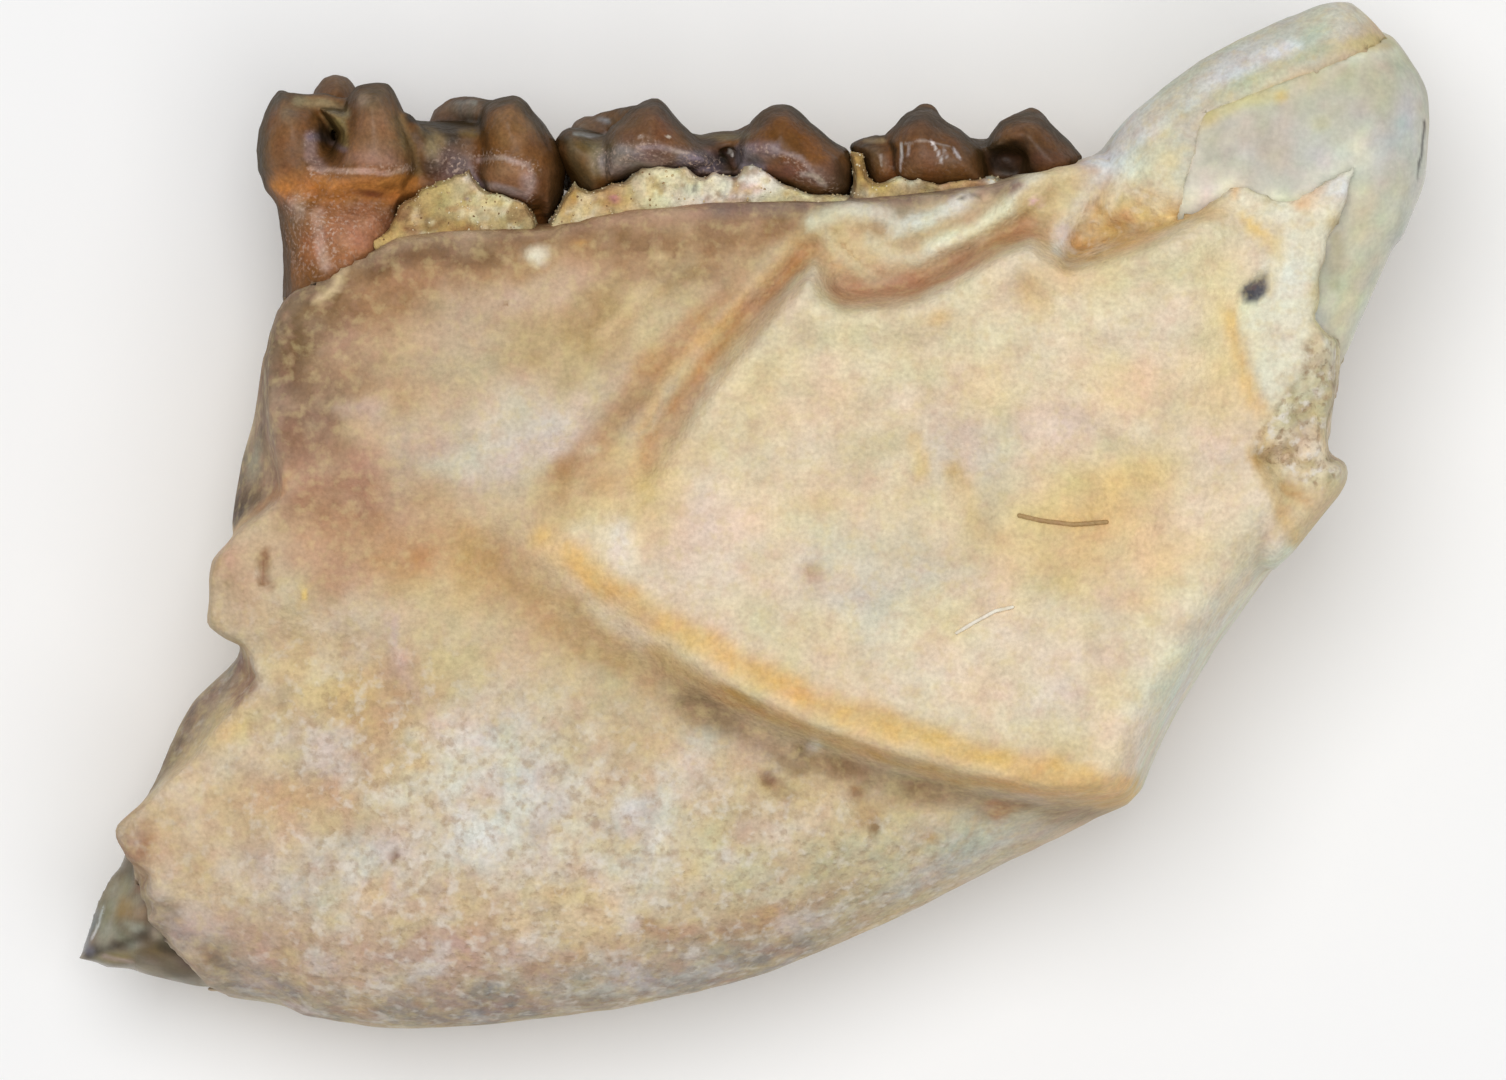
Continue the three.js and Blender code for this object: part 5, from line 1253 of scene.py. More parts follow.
PLATE_STAINS_AND_LIGHT = [
    patch(PLATE_OUTLINE, "dfcfb0", 0.95, 0.1),
    blot((-0.27, -0.23), (0.62, 0.51), "e4cfba", 0.8),
    blot((0.35, 0.35), (0.46, 0.35), "dfceb2", 0.5),
    blot((-0.88, 0.12), (0.35, 0.38), "d8b87c", 0.8, 25),
    blot((-0.5, 0.58), (0.35, 0.22), "d8c08d", 0.7, 45),
    blot((-1.04, -0.19), (0.15, 0.18), "ecdccb", 0.85, 25),
    blot((-1.41, -0.23), (0.11, 0.08), "e6d8bb", 0.6),
    blot((0.19, 1.35), (0.54, 0.31), "dfcfa4", 0.7, 45),
    blot((0.81, 0.97), (0.62, 0.38), "e0cca6", 0.5),
    blot((0.04, -0.88), (0.46, 0.18), "d9c9a8", 0.6, -25),
    blot((0.81, -0.42), (0.51, 0.38), "cbc4ba", 0.6),
    blot((0.44, -0.43), (0.09, 0.06), "c9a98c", 0.7),
    blot((1.54, 0.47), (0.35, 0.23), "d0c7bb", 0.65),
    blot((0.87, 0.52), (0.28, 0.12), "cdbd98", 0.6, 20),
    streak([(1.21, 0.58), (1.27, 0.35)], 0.07, "d6b878", 0.6),
    streak([(1.5, 0.35), (1.62, 0.12), (1.73, -0.11)], 0.08, "cfb277", 0.65),
    blot((0.5, 0.1), (0.2, 0.09), "d6bd8c", 0.6),
    blot((1.96, -0.03), (0.38, 0.31), "cdbb92", 0.6),
    blot((2.65, -0.03), (0.62, 0.38), "dfbc7f", 0.8, 12),
    blot((2.88, 0.29), (0.42, 0.26), "e3c184", 0.75),
    blot((2.27, -0.38), (0.46, 0.26), "d8bb86", 0.8),
    blot((2.81, -0.65), (0.31, 0.11), "d9b893", 0.6),
    blot((3.12, -0.23), (0.38, 0.31), "e6c89a", 0.6),
    blot((1.96, -1.34), (1, 0.35), "e0d0b8", 0.7, -10),
    blot((2.19, -0.96), (0.62, 0.2), "e2d3bf", 0.6),
    blot((2.46, -1.9), (0.12, 0.06), "dfd7cf", 0.8),
    blot((3.27, -1.11), (0.34, 0.69), "dfddc9", 0.8, -30),
    streak([(4.13, -0.25), (3.54, -1.03), (3.18, -1.71), (2.99, -2.16)], 0.18, "dcdccb", 0.9),
    blot((3.65, 0.12), (0.46, 0.31), "e6d3b2", 0.7),
    blot((2.5, 1.43), (1, 0.46), "e5d7b6", 0.7),
    blot((3.27, 0.97), (0.62, 0.38), "e8cb9d", 0.65),
    blot((2.04, 1.04), (0.69, 0.26), "e3d1ae", 0.6),
    blot((2.35, 0.58), (0.85, 0.2), "ddccb8", 0.6),
    blot((1.38, 1.5), (0.11, 0.07), "dcb678", 0.6),
    blot((1.52, 1.03), (0.05, 0.05), "cdb79c", 0.8),
    blot((2.14, 1.69), (0.11, 0.23), "dcb982", 0.7, 20),
    blot((2.54, 1.8), (0.31, 0.07), "d6b98e", 0.6, 12),
    blot((3.54, 1.77), (0.2, 0.46), "e6d1aa", 0.7),
    streak([(-1.59, -0.2), (-1.19, -0.5), (-0.81, -0.77), (-0.42, -1), (0.35, -1.39), (1.12, -1.67),
            (1.88, -1.88), (2.54, -2.03), (2.87, -2.11)], 0.13, "ddb772", 0.9),
    # painted shade on the outer slope of the plate's crest
    streak([(-0.81, -1.03), (-0.5, -1.22), (0.28, -1.6), (1.06, -1.87), (1.85, -2.07),
            (2.48, -2.17), (2.82, -2.2)], 0.07, "c49a5c", 0.8),
    blot((2.75, -2.05), (0.11, 0.08), "d8ac70", 0.7),
    streak([(2.04, -1.96), (2.35, -2.02), (2.62, -2.07)], 0.06, "c6a468", 0.6),
    # thin plate in front of the incisor's base
    patch(THIN_PLATE, "e6e0c4", 0.95, 0.02),
    streak([(3.59, 1.52), (3.7, 1.18), (3.81, 0.87), (4, 0.67)], 0.07, "e4c083", 0.8),
    streak([(3.65, 2.5), (3.72, 2.32), (3.81, 2.15), (3.93, 2.06)], 0.05, "e6c480", 0.7),
    streak([(3.93, 2.07), (4.01, 1.95), (3.95, 1.78)], 0.05, "e8d19c", 0.7),
    blot((4.12, 1.95), (0.2, 0.23), "e3e0cd", 0.6),
    streak([(4.29, 1.73), (4.36, 1.47), (4.33, 1.31)], 0.06, "dccb9a", 0.7),
    # painted shade inside the foramen
    patch([(3.72, 1.72), (3.73, 1.65), (3.79, 1.63), (3.86, 1.67), (3.92, 1.76), (3.94, 1.83),
           (3.89, 1.86), (3.82, 1.82), (3.75, 1.77)], "5a5960", 0.97, 0.03),
    # broken upper rear corner
    streak([(2.73, 2.53), (3.19, 2.58), (3.7, 2.5), (4.07, 2.38), (4.54, 2.61)], 0.14, "e4dfc8", 0.9),
    blot((3.27, 2.57), (0.11, 0.07), "ece3c6", 0.8),
    blot((3.46, 2.58), (0.07, 0.06), "e6d2a2", 0.7),
    blot((3.66, 2.5), (0.06, 0.07), "e8b982", 0.8),
    blot((3.52, 2.43), (0.11, 0.05), "e3c896", 0.7),
    blot((3.85, 2.41), (0.12, 0.07), "e6d9bc", 0.7),
    blot((4.42, 2.57), (0.14, 0.09), "ece3bc", 0.8),
    blot((4.3, 2.47), (0.06, 0.05), "e8bd90", 0.7),
    streak([(3.05, 2.23), (3.27, 2.29), (3.54, 2.32)], 0.05, "d3b981", 0.7),
    patch([(2.88, 2.67), (3.12, 2.95), (3.54, 3.26), (3.59, 2.5), (3.35, 2.46), (3.04, 2.58)],
          "cbc7b2", 0.9, 0.08),
    blot((3.16, 2.72), (0.08, 0.08), "e8d3a2", 0.8),
    blot((3.07, 2.83), (0.06, 0.11), "e3dfc4", 0.7, -30),
    blot((3.32, 2.6), (0.12, 0.08), "e2dfd2", 0.8),
    blot((3.35, 2.32), (0.23, 0.06), "dfb987", 0.7, 10),
    blot((3.96, 2.04), (0.09, 0.11), "e6c789", 0.6),
    blot((4.23, 2.38), (0.09, 0.07), "e3bb86", 0.7),
    blot((4.46, 2.5), (0.11, 0.11), "dfe4e0", 0.8),
    blot((4.7, 2.72), (0.09, 0.15), "e9e4cf", 0.9, -25),
    blot((2.68, 2.2), (0.38, 0.25), "e2bb78", 0.95, 20),
    blot((2.5, 2.12), (0.14, 0.11), "e2b06c", 0.8),
    blot((2.59, 2.09), (0.08, 0.05), "cd9656", 0.6),
    blot((2.81, 2.26), (0.11, 0.05), "c08a55", 0.75),
    blot((3.04, 2.3), (0.17, 0.08), "e6d498", 0.8),
    blot((2.52, 2.13), (0.08, 0.07), "e6bf7e", 0.6),
    blot((2.72, 2.39), (0.11, 0.06), "e8cf92", 0.8),
    blot((2.98, 2.41), (0.09, 0.11), "d2ab6c", 0.8),
    # painted highlight along the raised band behind the flake
    streak([(2.75, 2.73), (2.53, 2.44), (2.38, 2.21), (2.32, 2.04)], 0.08, "dcdedb", 0.9),
    blot((2.27, 1.84), (0.17, 0.12), "dec090", 0.8),
    streak([(2.46, 2.39), (2.36, 2.16)], 0.05, "b9b5c4", 0.7),
    blot((2.28, 2.49), (0.37, 0.28), "d2c193", 0.95),
    streak([(1.95, 2.43), (2.05, 2.58), (2.19, 2.68), (2.39, 2.73), (2.59, 2.75)], 0.05, "ded7ba", 0.85),
    blot((2.58, 2.67), (0.09, 0.05), "bd9464", 0.8),
    streak([(2.04, 2.21), (1.93, 2.13)], 0.05, "c58f66", 0.6),
    streak([(1.98, 2.23), (2.15, 2.38), (2.28, 2.49)], 0.03, "ad956c", 0.6),
    # painted glint on the flake beside the last molar
    blot((2.15, 2.4), (0.04, 0.03), "efc6d2", 0.9),
    streak([(0.66, 1.72), (0.95, 1.7), (1.23, 1.77), (1.59, 1.94), (1.82, 2.1), (2.1, 2.21)],
           0.09, "c29570", 0.85),
    streak([(-0.42, 2.35), (0.35, 2.39), (0.96, 2.43), (1.5, 2.48), (1.96, 2.53)], 0.08, "7c5f50", 0.9),
    streak([(-1.19, 2.26), (-0.88, 2.32), (-0.42, 2.35)], 0.07, "a0775a", 0.7),
    streak([(1.35, 2.03), (1.64, 2.15), (1.93, 2.32)], 0.07, "e6e2c6", 0.95),
    streak([(1.09, 2.2), (1.35, 2.28), (1.62, 2.41)], 0.07, "dcdccd", 0.95),
    streak([(0.46, 2.26), (0.73, 2.33), (1.02, 2.29)], 0.07, "d6d4bd", 0.9),
    blot((0.73, 2.04), (0.31, 0.26), "d3bd8c", 0.8),
    blot((0.62, 1.95), (0.08, 0.09), "b98e62", 0.6),
    streak([(0.55, 2.15), (0.67, 1.98), (0.87, 1.85)], 0.05, "cfc49b", 0.7),
    streak([(0.88, 2.13), (1.05, 2), (1.27, 1.95)], 0.05, "cdc4a4", 0.7),
    streak([(1.59, 2.42), (1.7, 2.42)], 0.02, "2f2620", 0.9),
    # behind the incisor's base
    streak([(2.69, 2.81), (3.04, 3.13), (3.5, 3.44), (4.04, 3.7), (4.5, 3.89)], 0.2, "cdd0c8", 0.95),
    streak([(3.12, 3.26), (3.42, 3.47), (3.81, 3.67), (4.35, 3.89)], 0.06, "bfc2ae", 0.8),
    blot((4.42, 3.75), (0.31, 0.12), "cccbb4", 0.8, 20),
    blot((2.9, 2.84), (0.08, 0.07), "d0c482", 0.8),
    blot((3.35, 3.09), (0.09, 0.05), "dccb98", 0.6),
    blot((4.75, 3.63), (0.17, 0.06), "c2ae66", 0.8, 12),
    streak([(4.12, 3.46), (4.38, 3.57), (4.73, 3.64)], 0.04, "cdbf84", 0.6),
    streak([(3.12, 2.95), (3.42, 3.2), (4.04, 3.46)], 0.05, "cfc89c", 0.55),
    streak([(3.23, 2.89), (3.65, 3.23), (4.27, 3.49)], 0.08, "c6c7b6", 0.7),
    streak([(3.32, 3.13), (3.65, 3.29), (3.88, 3.4), (4.12, 3.5), (4.35, 3.57)], 0.08, "b6b89a", 0.75),
    blot((4.12, 3.63), (0.26, 0.09), "b6bbab", 0.75, 20),
    blot((3.88, 3.52), (0.15, 0.07), "bcbfa6", 0.6, 24),
    # painted highlight, brightest part, on the same ridge
    blot((2.92, 2.7), (0.09, 0.12), "ecf5ea", 0.9, -30),
    blot((3.05, 2.63), (0.1, 0.07), "e8e4c8", 0.7),
    blot((3.22, 2.97), (0.09, 0.1), "c8d2c0", 0.7),
    blot((2.79, 2.8), (0.07, 0.07), "c6bf9c", 0.6),
    streak([(3.42, 3.1), (3.35, 2.81), (3.3, 2.55)], 0.08, "c6c3ae", 0.75),
    # painted highlight along the ridge running up behind the incisor's base
    streak([(2.72, 2.7), (3.04, 2.98), (3.54, 3.33), (4.12, 3.61)], 0.06, "d5dcd8", 0.8),
    # grainy hollow, facet and knob at the back
    patch(SEDIMENT, "d3c8a4", 0.95, 0.06),
    streak([(4.39, 1.23), (4.35, 1.04), (4.33, 0.85)], 0.07, "a89c78", 0.7),
    streak([(4.45, 1.33), (4.38, 1.07)], 0.09, "c9c49c", 0.7),
    blot((4.28, 0.67), (0.11, 0.11), "b3a97e", 0.7),
    blot((4.39, 0.7), (0.06, 0.06), "e2d2b2", 0.6),
    blot((4.15, 0.73), (0.09, 0.09), "b3a37a", 0.7),
    blot((4.42, 2.21), (0.07, 0.06), "b39a66", 0.8),
    streak([(4.36, 1.95), (4.3, 1.66)], 0.04, "b9a87e", 0.7),
    blot((4.42, 1), (0.05, 0.2), "a8997c", 0.7),
    patch([(3.82, 0.47), (3.95, 0.49), (4.08, 0.29), (4.36, 0.18), (4.54, 0.35), (4.55, 0.26),
           (4.16, -0.28), (4.04, -0.23)], "ccb98c", 0.9, 0.05),
    blot((4.19, 0.45), (0.13, 0.13), "f0e2c2", 0.9),
    blot((4.01, 0.53), (0.09, 0.07), "cdbb86", 0.7),
    blot((4.36, 0.31), (0.11, 0.07), "c2b184", 0.7),
    streak([(3.81, 0.49), (3.93, 0.26), (4.13, -0.19)], 0.05, "d3b47c", 0.8),
    blot((3.87, 0.46), (0.06, 0.05), "c79c58", 0.6),
    streak([(4.05, 0.24), (4.24, 0.12)], 0.05, "b98a52", 0.75),
    blot((4.48, 0.38), (0.08, 0.07), "cdc6ae", 0.8),
]

# Bone that lies deeper than the cheek side along the broken front, with painted shade in its recess and on its
# slope.
DEEP_FRONT_STAINS_AND_SHADE = [
    # dark patch over the recess: partly dark matrix, partly painted shade
    patch([(-3.62, 0.89), (-4.08, 0.27), (-4.08, -0.11), (-3.62, 0.12)], "584636", 0.95, 0.05),
    blot((-3.82, 0.41), (0.06, 0.17), "a9a98f", 0.95, -10),
    blot((-3.92, 0.35), (0.05, 0.09), "8f8468", 0.7),
    blot((-3.88, 0), (0.12, 0.11), "43342a", 0.9),
    # painted shade on the shadowed slope down the broken front
    streak([(-3.88, -1.07), (-4.1, -1.34), (-4.35, -1.65), (-4.58, -2.07)], 0.15, "6f5a4a", 0.95),
    streak([(-3.94, -1.11), (-3.9, -1.34)], 0.05, "7a4f40", 0.8),
    blot((-4.5, -3.07), (0.2, 0.23), "77644f", 0.9),
]

# The inner side, which the jaw lies on.
INNER_STAINS = [
    blot((-2.6, 1.2), (1.2, 0.9), "a98a63", 0.7),
    blot((-0.4, 1.9), (2.2, 0.4), "b08a62", 0.7),
    blot((0.5, -0.4), (2.0, 1.1), "d2c2a0", 0.6),
    blot((-2.8, -1.6), (1.5, 0.8), "c6a277", 0.6),
    blot((-1.0, -3.0), (2.6, 0.6), "cfc4b0", 0.8),
    blot((3.0, 0.6), (0.9, 1.1), "dccfae", 0.7),
    blot((3.9, 3.0), (0.8, 0.7), "cfd0c4", 0.8),
    streak([(-3.6, 1.5), (-2.0, 1.55), (0.0, 1.6), (1.8, 1.7)], 0.14, "9a7650", 0.7),
    blot((1.9, 0.9), (0.14, 0.1), "4a3b2f", 0.9),
    blot((2.6, -0.6), (0.4, 0.3), "b98f60", 0.6),
    streak([(-4.4, -2.4), (-2.0, -2.3), (0.4, -1.8), (2.0, -0.9)], 0.12, "b09a7c", 0.6),
]

# ---------------------------------------------------------------- stained marks, painted shade and painted highlights: teeth

INCISOR_BASE = "c3c1b0"
INCISOR_STAINS_AND_LIGHT = [
    # glassy broken tip
    blot((-4.65, -2.96), (0.85, 0.85), "74624a", 1.0),
    blot((-5.01, -3.05), (0.18, 0.28), "756a4c", 0.9),
    blot((-4.93, -3.2), (0.15, 0.06), "8b8a72", 0.8, -25),
    # painted highlight, pale grey-green, above the dark edge
    blot((-4.76, -3.16), (0.11, 0.05), "9b9f88", 0.8, -25),
    streak([(-4.84, -2.82), (-4.9, -2.96), (-4.98, -3.1)], 0.05, "8f8a68", 0.7),
    blot((-4.85, -3.02), (0.1, 0.08), "8f702c", 0.9),
    blot((-4.79, -2.76), (0.07, 0.08), "5b543f", 0.85),
    blot((-4.72, -2.83), (0.05, 0.07), "94603c", 0.7),
    # painted glint along the tip's left edge
    streak([(-5.03, -3.01), (-5.07, -3.15), (-5.1, -3.28)], 0.01, "d6d8d2", 0.7),
    streak([(-5.13, -3.4), (-5.01, -3.34), (-4.84, -3.3), (-4.67, -3.19)], 0.05, "3c3222", 0.75),
    streak([(-5.12, -3.39), (-4.98, -3.33)], 0.02, "2c2416", 0.8),
    blot((-4.88, -3.39), (0.17, 0.05), "84713f", 0.8, 12),
    blot((-4.58, -3.5), (0.38, 0.08), "8a7a62", 0.9, 14),
    # painted shade in the hollow where the tip runs under the bone
    blot((-4.52, -3.3), (0.2, 0.07), "3b2e1d", 0.95, -15),
    blot((-4.68, -3.36), (0.11, 0.06), "6b5a33", 0.8),
    blot((-5.12, -3.37), (0.05, 0.04), "5f5a60", 0.7),
    streak([(-5.09, -3.05), (-5.15, -3.22), (-5.17, -3.34)], 0.04, "6f7478", 0.7),
    blot((-4.3, -3.47), (0.15, 0.12), "645348", 0.85),
    streak([(-4.73, -3.39), (-4.5, -3.46), (-4.25, -3.57)], 0.06, "645840", 0.75),
    blot((-5.01, -3.25), (0.06, 0.1), "99957f", 0.6),
    blot((-4.86, -3.19), (0.07, 0.06), "6f664c", 0.6),
    blot((-4.72, -3.03), (0.05, 0.06), "a08c70", 0.6),
    blot((-4.59, -3.19), (0.06, 0.05), "b3a590", 0.6),
    blot((-4.95, -3), (0.05, 0.05), "9b967c", 0.6),
    blot((-4.64, -3.3), (0.07, 0.05), "665a38", 0.6),
    # painted highlight line, pinkish, on the lower facet
    streak([(-5.01, -3.4), (-4.81, -3.43)], 0.02, "a88d82", 0.6),
    # base: dentine, then the enamel band along the outer edge
    patch([(3.04, 2.81), (3.27, 3.07), (3.81, 3.37), (4.3, 3.58), (4.9, 3.64), (4.92, 3.04),
           (4.58, 2.81), (4.54, 2.31), (2.81, 2.39)], "c2bdaf", 0.95, 0.04),
    streak([(3.04, 2.62), (3.28, 2.98), (3.81, 3.26), (4.31, 3.46), (4.87, 3.57)], 0.12, "dcdcc8", 0.85),
    streak([(3.27, 2.9), (3.5, 3.07), (3.9, 3.24)], 0.07, "d8c78e", 0.8),
    streak([(3.36, 3.1), (3.3, 2.81), (3.27, 2.43)], 0.11, "d6d3c0", 0.7),
    streak([(3.24, 2.4), (3.41, 2.46), (3.64, 2.5)], 0.1, "e3dac2", 0.9),
    streak([(3.98, 2.38), (4.12, 2.33), (4.24, 2.41)], 0.11, "e0dcc2", 0.9),
    blot((4.65, 2.72), (0.09, 0.09), "dcdac4", 0.7),
    streak([(4.27, 2.61), (4.46, 2.75), (4.62, 2.84)], 0.08, "dedbc6", 0.7),
    streak([(4.19, 3.44), (4.5, 3.55), (4.9, 3.64)], 0.05, "c4b882", 0.7),
    blot((4.27, 3.32), (0.49, 0.15), "c3bf9e", 0.8, 12),
    blot((3.31, 3.07), (0.07, 0.05), "dcc992", 0.8),
    blot((3.48, 3.07), (0.07, 0.07), "cdbb74", 0.85),
    blot((3.73, 3.29), (0.11, 0.07), "d9dac4", 0.7),
    blot((4.02, 3.21), (0.06, 0.06), "cfb86e", 0.8),
    blot((4.33, 3), (0.08, 0.07), "d3bf78", 0.8),
    blot((3.76, 2.84), (0.09, 0.09), "c6cbc0", 0.7),
    blot((3.96, 2.89), (0.62, 0.23), "bfb8a8", 0.7),
    blot((4.19, 3.06), (0.38, 0.11), "bdb79f", 0.6, 10),
    streak([(4.7, 2.97), (4.64, 2.84), (4.67, 2.73)], 0.07, "d6d6ba", 0.6),
    blot((4.85, 2.8), (0.12, 0.17), "d0d4c8", 0.7),
    blot((4.88, 3.23), (0.2, 0.35), "bdbaa6", 0.8),
    blot((5, 2.97), (0.12, 0.28), "c6c8be", 0.8),
    streak([(5.12, 3.03), (5.12, 2.81), (5.08, 2.57)], 0.01, "4c4a44", 0.9),
    streak([(4.88, 2.5), (4.79, 2.04), (4.67, 1.58), (4.58, 1.31)], 0.23, "ccccb6", 0.9),
    streak([(4.65, 2.43), (4.58, 1.97), (4.48, 1.5)], 0.09, "d6d2b4", 0.8),
    streak([(5, 2.31), (4.87, 1.85), (4.72, 1.43)], 0.08, "b7b9a8", 0.7),
    streak([(4.47, 2.13), (4.42, 1.77)], 0.05, "b6ad88", 0.6),
    blot((4.5, 1), (0.12, 0.23), "b3a68a", 0.8),
    # painted shade of the foramen, on the tooth seen through it
    blot((3.82, 1.73), (0.2, 0.15), "55555b", 1.0, 50),
]

